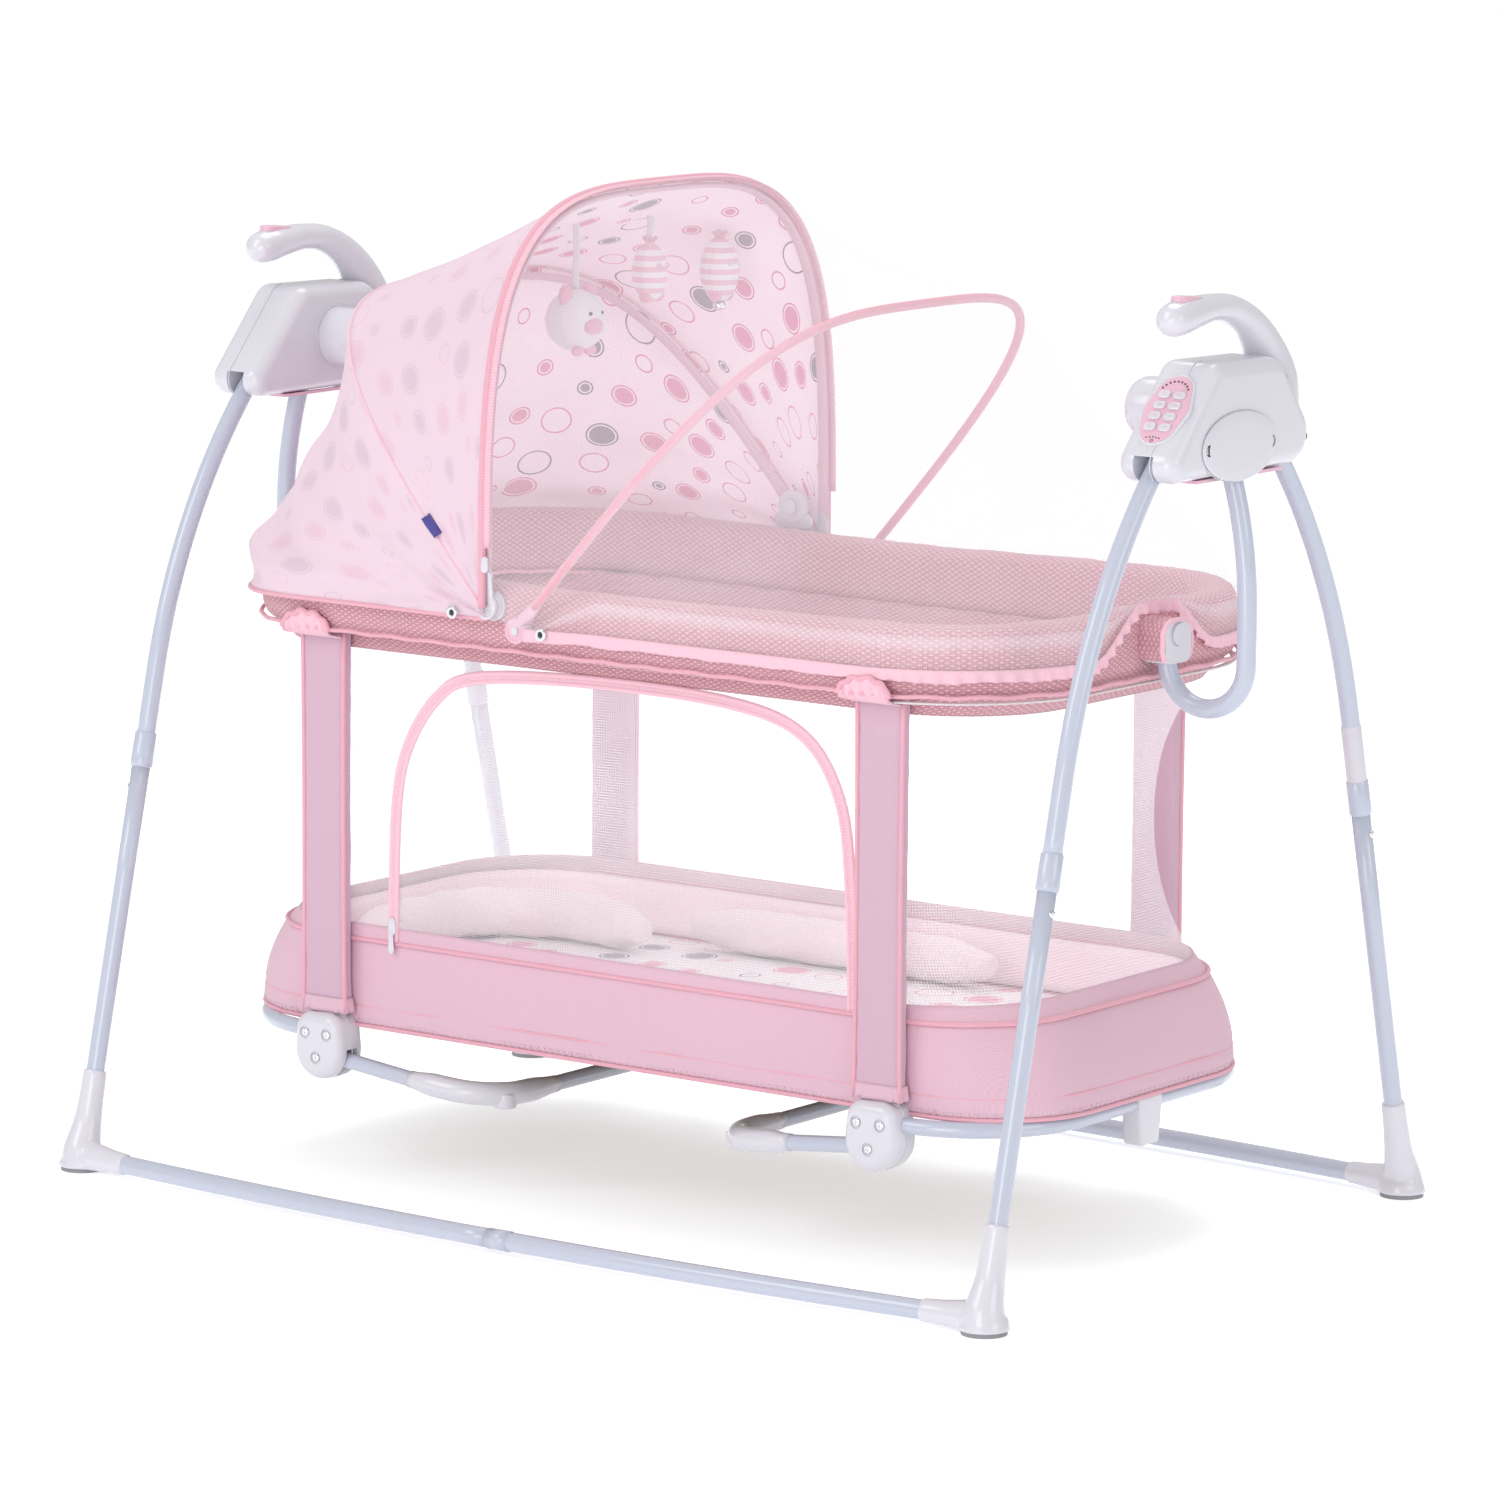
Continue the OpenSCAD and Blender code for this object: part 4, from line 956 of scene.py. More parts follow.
@dataclass
class Stand:
    """Two leg frames that fold about pins in the heads, with a bowed tube along the floor on each side."""

    finishes: Finishes
    axle: float = 0.830
    half: float = 0.563
    tube: float = 0.0095
    lean: float = math.radians(13.5)
    bend: float = math.radians(27.5)
    bend_radius: float = 0.640
    top_y: float = 0.112
    joint_z: float = 0.410
    bow: float = 0.030
    pad: float = 0.004
    corner: float = 0.042

    def __post_init__(self) -> None:
        """Works out the places on the leg's line."""
        self.floor_z = self.tube + self.pad + 0.0005
        self.top = Vector((0, self.top_y, self.axle - 0.053))
        steep = self.lean + self.bend
        self.centre = self.top - self.bend_radius * Vector((0, math.cos(steep), math.sin(steep)))
        low = self.on_arc(self.lean)
        self.foot = Vector((0, low.y + (low.z - self.floor_z) * math.tan(self.lean), self.floor_z))
        self.down = Vector((0, math.sin(self.lean), -math.cos(self.lean)))
        self.joint = self.foot - self.down * ((self.joint_z - self.floor_z) / math.cos(self.lean))
        self.top_down = Vector((0, math.sin(steep), -math.cos(steep)))
        self.pin = self.top - self.top_down * 0.040

    def on_arc(self, angle: float) -> Vector:
        """A point of the leg's bend, by the leg's lean there."""
        return self.centre + self.bend_radius * Vector((0, math.cos(angle), math.sin(angle)))

    def bow_y(self, x: float) -> float:
        """Distance of the floor tube from the middle at x."""
        return self.foot.y + self.bow * (1 - (x / self.half) ** 2)

    def leg_line(self) -> list[Vector]:
        """The upper leg, from its end in the head to the joint."""
        line = [self.pin - self.top_down * 0.012, self.pin + self.top_down * 0.02]
        line += [self.on_arc(self.lean + self.bend * i / 16) for i in range(16, -1, -1)]
        line += [self.joint.lerp(line[-1], 0.5), self.joint]
        return [p + Vector((self.half, 0, 0)) for p in line]

    def lower_line(self) -> list[Vector]:
        """The lower leg, round its corner and along half of the floor tube."""
        at = Vector((self.half, 0, 0))
        first = at + self.foot - self.down * self.corner
        last = Vector((self.half - self.corner, self.bow_y(self.half - self.corner), self.floor_z))
        line = [at + self.joint.lerp(self.foot, t) for t in (0.0, 0.3, 0.6, 0.8)]
        line += [(1 - t) ** 2 * first + 2 * t * (1 - t) * (at + self.foot) + t * t * last
                 for t in (k / 12 for k in range(13))]
        reach = self.half - 2 * self.corner
        line += [Vector((reach * (16 - k) / 16, self.bow_y(reach * (16 - k) / 16), self.floor_z)) for k in range(17)]
        return line

    def corners(self, piece: Obj, name: str, front: bool) -> Obj:
        """A right rear piece made into the pair of one side, joined."""
        side = -1 if front else 1
        right = Bench.copy(piece, name, Matrix.Diagonal((1, side, 1, 1)))
        left = Bench.copy(piece, name + "_l", Matrix.Diagonal((-1, side, 1, 1)))
        return Bench.join(name, [right, left])

    def tubes(self) -> None:
        """Bends the legs and the floor tubes, with the joints' collars."""
        upper = sweep("leg_upper", self.leg_line(), self.tube, 28, normal=(1, 0, 0))
        line = self.lower_line()
        lower = sweep("leg_lower", line, self.tube, 28, normal=(0, math.cos(self.lean), math.sin(self.lean)))
        at = Vector((self.half, 0, 0))
        for front, side in ((False, "rear"), (True, "front")):
            body = "front_frame" if front else "stand"
            self.finishes.place(self.corners(upper, f"{side}_legs", front), "tube_paint", body, f"{side}_upper_legs")
            frames = self.corners(lower, f"{side}_floor_frame", front)
            self.finishes.place(frames, "tube_paint", body, f"{side}_lower_tubes")
            # Collar where the upper leg sleeves into the lower, with its snap button
            spots = [at + self.joint + self.down * d for d in (-0.032, -0.030, 0.0, 0.004, 0.005)]
            collar = sweep("collar", spots, [self.tube + r for r in (0.0, 0.0016, 0.0020, 0.0020, 0.0)], 28,
                           normal=(1, 0, 0), caps=False)
            collars = self.corners(collar, f"{side}_leg_collars", front)
            self.finishes.place(collars, "tube_paint", body)
            button = drum("snap", tuple(at + self.joint + self.down * 0.026 + Vector((self.tube, 0, 0))), 0.0038,
                          0.005, "X", 20, 0.0015)
            buttons = self.corners(button, f"{side}_snap_buttons", front)
            self.finishes.place(buttons, "chrome_screw", body)
            ferrule = sweep("ferrule", [Vector((0.022, self.bow_y(0.022), self.floor_z)),
                                        Vector((-0.004, self.bow_y(0.004), self.floor_z))],
                            [self.tube + 0.0008, self.tube + 0.0008], 28)
            ferrule.data.transform(Matrix.Diagonal((1, -1 if front else 1, 1, 1)))
            Bench.outward(ferrule)
            ferrule.name = f"{side}_floor_ferrule"
            self.finishes.place(ferrule, "tube_paint", body)
            Bench.discard(button, collar)
        Bench.discard(upper, lower)

    def foot_cover(self) -> Obj:
        """The moulded corner cover: a flared shoe with a collar up the leg and one along the floor tube."""
        at = Vector((self.half, 0, 0))
        top = at + self.foot - self.down * 0.088
        line = [top, top + self.down * 0.002, at + self.foot - self.down * 0.060, at + self.foot - self.down * 0.034,
                Vector((self.half, self.foot.y, 0.022)), Vector((self.half, self.foot.y, 0.010)),
                Vector((self.half, self.foot.y, self.pad))]
        sizes = [self.tube + 0.0010, self.tube + 0.0026, self.tube + 0.0034, self.tube + 0.0052, 0.0195, 0.0238, 0.025]
        leg = sweep("foot_cover", catmull(line, 4), [s[0] for s in catmull([(v, 0, 0) for v in sizes], 4)], 32,
                    normal=(1, 0, 0))
        run = [Vector((x, self.bow_y(x), self.floor_z)) for x in
               (self.half - 0.066, self.half - 0.064, self.half - 0.045, self.half - 0.022, self.half - 0.004)]
        along = sweep("foot_sleeve", catmull(run, 4),
                      [s[0] for s in catmull([(v, 0, 0) for v in (self.tube + 0.0008, self.tube + 0.0018,
                                                                  self.tube + 0.003, 0.0155, 0.018)], 4)], 32)
        floor = drum("foot_block", (self.half, self.foot.y, self.pad - 0.03), 0.2, 0.06, "Z")
        made = Bench.join("foot_cover", [leg, along])
        Bench.modifier(made, "REMESH", mode="VOXEL", voxel_size=0.0016, use_smooth_shade=True)
        Bench.modifier(made, "SMOOTH", factor=0.5, iterations=6)
        Bench.carve(made, floor)
        return Bench.rest(made, 50)

    def feet(self) -> None:
        """Puts a cover and a rubber pad on each foot."""
        cover = self.foot_cover()
        for front, side in ((False, "rear"), (True, "front")):
            body = "front_frame" if front else "stand"
            self.finishes.place(self.corners(cover, f"{side}_foot_covers", front), "white_shell", body, f"{side}_feet")
        Bench.discard(cover)
        LOG.info("feet made")

    def sticker(self) -> None:
        """The bare white sleeve round the rear right leg above its joint."""
        at = Vector((self.half, 0, 0))
        spots = [at + self.joint - self.down * d for d in (0.030, 0.032, 0.060, 0.088, 0.090)]
        sleeve = sweep("leg_label", spots, [self.tube + r for r in (0.0, 0.0007, 0.0007, 0.0007, 0.0)], 32,
                       normal=(1, 0, 0), caps=False)
        self.finishes.place(sleeve, "white_satin", "stand")

    def build(self) -> None:
        """Builds the whole stand below the heads."""
        self.tubes()
        self.feet()
        self.sticker()
        LOG.info("stand made")


# ---- Swing heads ---------------------------------------------------------------------------


@dataclass
class Heads:
    """The moulded housings at both ends, with drive boss, carrying handle, oval cover and control panel."""

    finishes: Finishes
    stand: Stand
    width: float = 0.068
    mid: float = 0.565
    boss_radius: float = 0.030
    boss_reach: float = 0.062
    discs: tuple[tuple[float, float, float], ...] = ((-0.108, -0.038, 0.018), (-0.042, 0.034, 0.020),
                                                     (0.050, 0.024, 0.028), (0.085, -0.025, 0.030))
    edge: float = 0.015
    slots: tuple[tuple[Point, Point], ...] = (((-0.023, -0.034, -0.09), (0.033, 0.034, -0.03)),
                                              ((-0.013, -0.150, -0.095), (0.009, -0.078, -0.03)),
                                              ((-0.013, 0.080, -0.095), (0.009, 0.140, -0.045)))
    oval_at: tuple[float, float] = (-0.016, -0.027)
    oval_size: tuple[float, float] = (0.0640, 0.0335)
    wells: tuple[float, float] = (-0.0745, 0.0425)
    screws_at: tuple[float, float] = (-0.0703, 0.0385)
    button_at: tuple[float, float] = (-0.058, 0.113)
    handle: tuple[tuple[float, float], ...] = ((0.092, -0.012), (0.092, 0.026), (0.078, 0.056), (0.052, 0.082),
                                               (0.018, 0.098), (-0.014, 0.102), (-0.046, 0.100), (-0.070, 0.097),
                                               (-0.088, 0.094), (-0.095, 0.093))
    handle_sizes: tuple[tuple[float, float], ...] = ((0.024, 0.029), (0.0225, 0.027), (0.0195, 0.021),
                                                     (0.016, 0.0165), (0.014, 0.0145), (0.0135, 0.0145),
                                                     (0.0155, 0.017), (0.017, 0.018), (0.014, 0.0145),
                                                     (0.0045, 0.005))

    def frame_matrix(self, x: float) -> Matrix:
        """From a slab's plane (local X along Y, local Y along Z, local Z along X) to the part."""
        return Matrix(((0, 0, 1, x), (1, 0, 0, 0), (0, 1, 0, self.stand.axle), (0, 0, 0, 1)))

    def shell(self) -> Obj:
        """One housing with its boss, hollowed by its slots."""
        outline = hull_outline(self.discs, 112)
        body = outline_slab("head", outline, self.width, self.edge, self.frame_matrix(self.mid - self.width / 2),
                            segments=7)
        back = self.mid - self.width / 2
        rim = [(back + 0.006, self.boss_radius + 0.004), (back - 0.001, self.boss_radius + 0.003),
               (back - 0.004, self.boss_radius), (back - self.boss_reach + 0.020, self.boss_radius),
               (back - self.boss_reach + 0.010, self.boss_radius - 0.002),
               (back - self.boss_reach + 0.003, self.boss_radius - 0.008),
               (back - self.boss_reach, self.boss_radius - 0.018), (back - self.boss_reach, 0.001)]
        line = catmull([(x, r, 0) for x, r in rim], 4)
        boss = sweep("boss", [Vector((p.x, 0, self.stand.axle)) for p in line], [max(p.y, 0.0005) for p in line], 48,
                     normal=(0, 0, 1))
        Bench.outward(boss)
        Bench.carve(body, boss, "UNION")
        for low, high in self.slots:
            tool = Bench.block(low, high)
            tool.data.transform(Matrix.Translation((self.mid, 0, self.stand.axle)))
            Bench.carve(body, tool)
        return Bench.rest(body, 42)

    def seam(self) -> Obj:
        """The parting groove's lip that runs over a head between its two halves."""
        grown = [(x, y, r + 0.0003) for x, y, r in self.discs]
        line = [Vector((self.mid + 0.006, y, self.stand.axle + z)) for y, z in hull_outline(grown, 120)]
        slope = next(i for i, (p, q) in enumerate(zip(line, line[1:]))
                     if (q - p).length > 0.05 and p.z > self.stand.axle)
        return sweep("head_seam", line[slope + 1:] + line[:slope + 1], 0.0006, 8)

    def carrying_handle(self) -> Obj:
        """The handle that rises behind the head and reaches forward over it."""
        line = catmull([(self.mid, y, self.stand.axle + z) for y, z in self.handle], 6)
        sizes = [(s[0], s[1]) for s in catmull([(a, b, 0) for a, b in self.handle_sizes], 6)]
        return sweep("handle", line, sizes, 36, normal=(1, 0, 0))

    def slope_frame(self) -> Matrix:
        """From the panel's plane (local X along X, local Y up the slope, local Z outwards) to the part."""
        (ay, az, ar), (by, bz, br) = self.discs[0], self.discs[1]
        run = Vector((0, by - ay, bz - az))
        tilt = math.atan2(run.z, run.y) + math.asin((br - ar) / run.length)
        up = Vector((0, math.cos(tilt), math.sin(tilt)))
        out = Vector((0, -math.sin(tilt), math.cos(tilt)))
        middle = Vector((self.mid, (ay + by) / 2, self.stand.axle + (az + bz) / 2)) + out * ((ar + br) / 2)
        return Matrix(((1, 0, 0, middle.x), (0, up.y, out.y, middle.y), (0, up.z, out.z, middle.z), (0, 0, 0, 1)))

    def panel(self) -> None:
        """The control panel: raised rim, pink plate, keys, lamps and a speaker hole."""
        to_part = self.slope_frame()
        discs = [(0, -0.0195, 0.0205), (0, 0.0, 0.0255), (0, 0.0195, 0.0205)]
        edge = [Vector((x, y, 0)) for x, y in hull_outline(discs, 72)]
        rim = sweep("panel_rim", [to_part @ p for p in edge], (0.0018, 0.0017), 12, closed=True,
                    normal=tuple(to_part.to_3x3() @ Vector((0, 0, 1))))
        self.finishes.place(rim, "white_shell", "stand")
        plate = outline_slab("panel_plate", [(p.x * 0.955, p.y * 0.97) for p in edge], 0.0017, 0.0006,
                             to_part @ Matrix.Translation((0, 0, 0.0001)))
        self.finishes.place(plate, "pink_shell", "stand", "control_panel")
        lamps = []
        for k in range(9):
            a = math.radians(90 + (k - 4) * 15)
            lamps.append(drum("lamp", (0.0165 * math.cos(a), 0.016 + 0.0165 * math.sin(a), 0.0019), 0.0011, 0.0012,
                              "Z", 12, 0.0003))
        for k in range(5):
            lamps.append(drum("lamp", ((k - 2) * 0.0036, -0.0322 - 0.0006 * abs(k - 2), 0.0019), 0.0008, 0.001, "Z",
                              10, 0.0002))
        lamps.append(drum("lamp", (0.0, -0.0365, 0.0018), 0.0019, 0.001, "Z", 16, 0.0003, (0.0006, -0.0006)))
        dots = Bench.join("panel_lamps", lamps)
        dots.data.transform(to_part)
        self.finishes.place(dots, "lamp_dot", "stand")
        discs = [(-0.0025, 0, 0.0044), (0.0025, 0, 0.0044)]
        for i in range(8):
            x, y = (i % 2 - 0.5) * 0.017, (i // 2 - 1.7) * 0.0125
            at = to_part @ Matrix.Translation((x, y, 0.0016))
            key = outline_slab(f"key_{i + 1}_cap", hull_outline(discs, 32), 0.0022, 0.0009, at, 0.0004, 3)
            self.finishes.place(key, "white_shell", f"key_{i + 1}", f"key_{i + 1}")
            marks = []
            for k in range(1 + i % 3):
                shift = (k - (i % 3) / 2) * 0.0024
                if i % 2:
                    marks.append(drum("mark", (shift, 0, 0.0026), 0.00085, 0.0005, "Z", 12, 0.0001))
                else:
                    marks.append(outline_slab("mark", hull_outline([(shift, -0.0011, 0.0005), (shift, 0.0011, 0.0005)],
                                                                   16), 0.0004, 0.0001,
                                              Matrix.Translation((0, 0, 0.0024)), 0, 1))
            sign = Bench.join(f"key_{i + 1}_mark", marks)
            sign.data.transform(at)
            self.finishes.place(sign, "pink_shell", f"key_{i + 1}")

    def screw(self) -> Obj:
        """A pan-head screw with a cross recess, at the origin and facing +Z."""
        head = drum("screw", (0, 0, 0.0), 0.0042, 0.0022, "Z", 28, 0.0008)
        for turn in (0, math.pi / 2):
            Bench.carve(head, Bench.block((-0.0024, -0.00055, 0.0001), (0.0024, 0.00055, 0.0023), turn))
        return Bench.rest(head, 35)

    def covers(self) -> None:
        """The oval cover on the outer face of each head, with two screw wells."""
        outer = self.mid + self.width / 2
        (y0, z0), (wide, high) = self.oval_at, self.oval_size
        oval, edge = ([(y0 + (wide + more) * math.cos(a), z0 + (high + more) * math.sin(a))
                       for a in (2 * math.pi * k / 96 for k in range(96))] for more in (0.0, 0.0006))
        ring = [Vector((outer - 0.0002, y, self.stand.axle + z)) for y, z in edge]
        for side, sign in (("right", 1), ("left", -1)):
            mirror = Matrix.Diagonal((sign, 1, 1, 1))
            plate = outline_slab("cover", oval, 0.0030, 0.0022, self.frame_matrix(outer), 0.0008, 5)
            for y in self.wells:
                well = drum("well", (outer + 0.0022, y * 0.93 - 0.001, self.stand.axle + z0), 0.0062, 0.003, "X",
                            28, 0.0006)
                Bench.carve(plate, well)
            cover = Bench.copy(plate, f"head_cover_{side}", mirror)
            Bench.discard(plate)
            Bench.rest(cover, 35)
            self.finishes.place(cover, "white_shell", "stand", "head_covers" if side == "right" else None)
            groove = sweep("groove", ring, 0.0005, 8, closed=True)
            self.finishes.place(Bench.copy(groove, f"cover_line_{side}", mirror), "white_satin", "stand")
            Bench.discard(groove)

    def screws(self) -> None:
        """Two screws in each cover; the screw that they are copied from stays for the hubs of the crib."""
        master = self.screw()
        outer = self.mid + self.width / 2
        made = []
        for sign in (1, -1):
            for y in self.screws_at:
                at = Matrix.Translation((sign * (outer + 0.0016), y, self.stand.axle + self.oval_at[1]))
                made.append(Bench.copy(master, "screw_copy", at @ Matrix.Rotation(sign * math.pi / 2, 4, "Y")))
        heads = Bench.join("head_screws", made)
        self.finishes.place(heads, "turned_steel", "stand")
        master.name = "screw_master"

    def build(self) -> None:
        """Builds both heads."""
        shell = self.shell()
        handle = self.carrying_handle()
        seam = self.seam()
        for side, sign in (("right", 1), ("left", -1)):
            mirror = Matrix.Diagonal((sign, 1, 1, 1))
            self.finishes.place(Bench.copy(shell, f"head_{side}", mirror), "white_shell", "stand", f"head_shell_{side}")
            self.finishes.place(Bench.copy(handle, f"handle_{side}", mirror), "white_shell", "stand",
                                "carry_handles" if side == "right" else None)
            self.finishes.place(Bench.copy(seam, f"head_seam_{side}", mirror), "white_satin", "stand")
            discs = [(0, -0.012, 0.0085), (0, 0.012, 0.0085)]
            y, z = self.button_at
            place = (mirror @ Matrix.Translation((self.mid, y, self.stand.axle + z))
                     @ Matrix.Rotation(math.radians(-5), 4, "X"))
            button = outline_slab("fold_key", hull_outline(discs, 48), 0.0062, 0.0016,
                                  place @ Matrix.Translation((0, 0, -0.003)), 0.0008, 4)
            button.name = f"fold_key_{side}"
            if sign < 0:
                Bench.outward(button)
            self.finishes.place(button, "pink_shell", f"fold_button_{side}", f"fold_button_{side}")
        Bench.discard(shell, handle, seam)
        self.covers()
        self.panel()
        self.screws()
        LOG.info("heads made")


# ---- Crib ----------------------------------------------------------------------------------


def rounded_loop(half_l: float, half_w: float, corner: float, count: int) -> list[tuple[Vector, Vector]]:
    """Even points round a rounded rectangle in plan, with their outward directions.

    Args:
        half_l: Half length along X.
        half_w: Half width along Y.
        corner: Radius of the corners.
        count: Number of points.

    Returns:
        (point, outward direction) pairs, counter-clockwise from (half_l, 0).
    """
    straight_x, straight_y, arc = half_l - corner, half_w - corner, corner * math.pi / 2
    runs = [straight_y, arc, 2 * straight_x, arc, 2 * straight_y, arc, 2 * straight_x, arc, straight_y]
    total = sum(runs)
    out = []
    for k in range(count):
        s, part = total * k / count, 0
        while s > runs[part]:
            s -= runs[part]
            part += 1
        if part in (0, 8):
            p, n = Vector((half_l, s if part == 0 else s - straight_y, 0)), Vector((1, 0, 0))
        elif part == 2:
            p, n = Vector((straight_x - s, half_w, 0)), Vector((0, 1, 0))
        elif part == 4:
            p, n = Vector((-half_l, straight_y - s, 0)), Vector((-1, 0, 0))
        elif part == 6:
            p, n = Vector((s - straight_x, -half_w, 0)), Vector((0, -1, 0))
        else:
            q = (part - 1) // 2
            a = (q * 90 + 90 * s / arc) * math.pi / 180
            n = Vector((math.cos(a), math.sin(a), 0))
            p = Vector(((1, -1, -1, 1)[q] * straight_x, (1, 1, -1, -1)[q] * straight_y, 0)) + n * corner
        out.append((p, n))
    return out


def ring(half_l: float, half_w: float, corner: float, count: int, z: float, grow: float = 0.0) -> list[Vector]:
    """Even points round a rounded rectangle at a height.

    Args:
        half_l: Half length along X.
        half_w: Half width along Y.
        corner: Radius of the corners.
        count: Number of points.
        z: Height.
        grow: Distance outside the rectangle.

    Returns:
        The points, counter-clockwise.
    """
    return [p + n * grow + Vector((0, 0, z)) for p, n in rounded_loop(half_l, half_w, corner, count)]


class Padding:
    """Stuffs closed cloth shapes by simulation."""

    @staticmethod
    def stuff(piece: Obj, voxel: float, pressure: float, cap: float, frames: int = 20) -> Obj:
        """Remeshes a closed shape, blows it up as cloth and smooths it.

        Args:
            piece: The closed shape, a little smaller than the finished one.
            voxel: Size of the remesh.
            pressure: Pressure inside.
            cap: Furthest that a point may move.
            frames: Steps of the simulation.

        Returns:
            The piece.
        """
        Bench.modifier(piece, "REMESH", mode="VOXEL", voxel_size=voxel, use_smooth_shade=True)
        start = [v.co.copy() for v in piece.data.vertices]
        Bench.hold(piece)
        cloth = piece.modifiers.new("Cloth", "CLOTH")
        for key, value in {"quality": 5, "mass": 0.3, "tension_stiffness": 20, "compression_stiffness": 20,
                           "bending_stiffness": 0.4, "use_pressure": True,
                           "uniform_pressure_force": pressure}.items():
            setattr(cloth.settings, key, value)
        cloth.settings.effector_weights.gravity = 0
        cloth.collision_settings.use_collision = False
        cloth.point_cache.frame_start = 1
        cloth.point_cache.frame_end = frames
        for k in range(1, frames + 1):
            bpy.context.scene.frame_set(k)
        Bench.hold(piece)
        bpy.ops.object.modifier_apply(modifier=cloth.name)
        bpy.context.scene.frame_set(1)
        for v, was in zip(piece.data.vertices, start):
            move = v.co - was
            if move.length > cap:
                v.co = was + move * (cap / move.length)
        Bench.modifier(piece, "SMOOTH", factor=0.5, iterations=3)
        return piece


@dataclass
class Crib:
    """The hanging crib: padded rail, net walls, base band, posts, hubs, end rails, mattress and bolsters."""

    finishes: Finishes
    rail_l: float = 0.495
    rail_w: float = 0.268
    rail_c: float = 0.165
    rail_top: float = 0.637
    rail_h: float = 0.070
    rail_t: float = 0.040
    base_l: float = 0.505
    base_w: float = 0.226
    base_c: float = 0.120
    band_low: float = 0.1581
    band_top: float = 0.249
    band_lean: float = 0.033
    waist: float = 0.072
    post_x: float = 0.346
    post_y: float = 0.236
    post_w: float = 0.057
    post_t: float = 0.018
    hub_w: float = 0.062
    hub_t: float = 0.042
    tube: float = 0.008
    reach: float = 0.205
    drop: float = 0.022
    edge_h: float = 0.0265
    lining_h: float = 0.0545
    band_h: float = 0.0985
    pouch_h: float = 0.0335
    tucks_flat: tuple[float, float] = (0.34, 0.032)
    pouch_x: float = 0.4885
    pouch_z: float = 0.605
    studs: tuple[Point, ...] = ((-0.030, 0.2890, 0.5935), (-0.141, 0.2893, 0.6055))
    nest: tuple[tuple[float, float], ...] = ((-0.335, -0.137), (-0.405, -0.083), (-0.420, 0.0), (-0.400, 0.083),
                                             (-0.305, 0.122), (-0.195, 0.095))
    bolster: tuple[tuple[float, float], ...] = ((-0.190, 0.174), (-0.06, 0.177), (0.08, 0.177), (0.190, 0.174))
    nest_radius: float = 0.026
    bolster_radius: float = 0.024
    door: tuple[tuple[float, float], ...] = ((-0.773, 0), (-0.759, 0.447), (-0.713, 0.657), (-0.602, 0.828),
                                             (-0.455, 0.903), (-0.057, 0.935), (0.426, 0.926), (0.699, 0.854),
                                             (0.835, 0.657), (0.875, 0.35), (0.886, 0))

    def __post_init__(self) -> None:
        """Works out the heights that follow from the sizes."""
        self.wall_top = self.rail_top - self.rail_h - 0.0001
        self.rail_z = self.rail_top - self.rail_h / 2
        self.hub_top = self.band_low - 0.0001 + 0.014 - 0.0002
        self.pin_z = self.hub_top - 0.046

    def wall_half_l(self, z: float) -> float:
        """Half length of the net wall at a height, drawn in at its waist."""
        t = min(1.0, max(0.0, (z - self.band_top) / (self.wall_top - self.band_top)))
        low = self.base_l - self.band_lean
        return low + t * (self.rail_l - 0.010 - low) - self.waist * (4 * t * (1 - t)) ** 0.8

    def rail_cover(self) -> None:
        """The padded rail: a stuffed sleeve with a bound lower edge, seams and a gathered hem."""
        count, around = 300, 28
        line = rounded_loop(self.rail_l - self.rail_t / 2, self.rail_w - self.rail_t / 2,
                            self.rail_c - self.rail_t / 2, count)
        rows = []
        for k in range(around + 1):
            a = -math.pi / 2 + 2 * math.pi * k / around
            row = []
            for p, n in line:
                q = p + Vector((0, 0, a))
                puff = 0.0012 * ripple(q, 0.05, 1) + 0.0008 * ripple(q, 0.017, 2)
                seam = max(bump(abs(p.x), 0.330, 0.006), bump(abs(p.y), 0.0, 0.006) if abs(p.x) > 0.3 else 0.0)
                across = (self.rail_t / 2 - 0.0005) * power(math.cos(a), 0.62)
                up = self.rail_h / 2 * power(math.sin(a), 0.66)
                out = p + n * across * (1 - 0.10 * seam + puff * 30) + Vector((0, 0, up * (1 - 0.03 * seam) + puff))
                out.z += self.rail_z - 0.004 * bump(p.x, 0.04, 0.30) * (1 if abs(n.y) > 0.7 else 0)
                row.append(out)
            rows.append(row)
        cover = sheet_grid("rail_sleeve", rows, 0.0, closed=True, inner_first=True)
        Bench.outward(cover)
        self.finishes.dress(cover, "rail_spacer")
        Bench.rest(cover, 180)
        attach(cover, "cradle")
        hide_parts("rail_cover")
        for name, inset, z, size in (("rail_binding_out", -0.0005, self.wall_top + 0.0030, 0.0022),
                                     ("rail_binding_in", self.rail_t - 0.001, self.wall_top + 0.0040, 0.0020)):
            loop = [p + Vector((0, 0, 0.0007 * math.sin(i * 0.9))) for i, p in
                    enumerate(ring(self.rail_l - inset, self.rail_w - inset, self.rail_c - inset, 360, z))]
            bind = sweep(name, loop, size, 10, closed=True, normal=(0, 0, 1))
            self.finishes.place(bind, "pink_piping", "cradle")
        # Zip that joins the rail to the net walls at the foot end
        path = [p for p in ring(self.rail_l - 0.004, self.rail_w - 0.004, self.rail_c - 0.004, 360,
                                self.wall_top - 0.0035) if p.x > 0.37]
        half = next(i for i, (p, q) in enumerate(zip(path, path[1:])) if (q - p).length > 0.1)
        teeth = sweep("rail_zip", path[half + 1:] + path[:half + 1], (0.0036, 0.0014), 10, normal=(0, 0, 1))
        self.finishes.place(teeth, "zip_tape", "cradle")

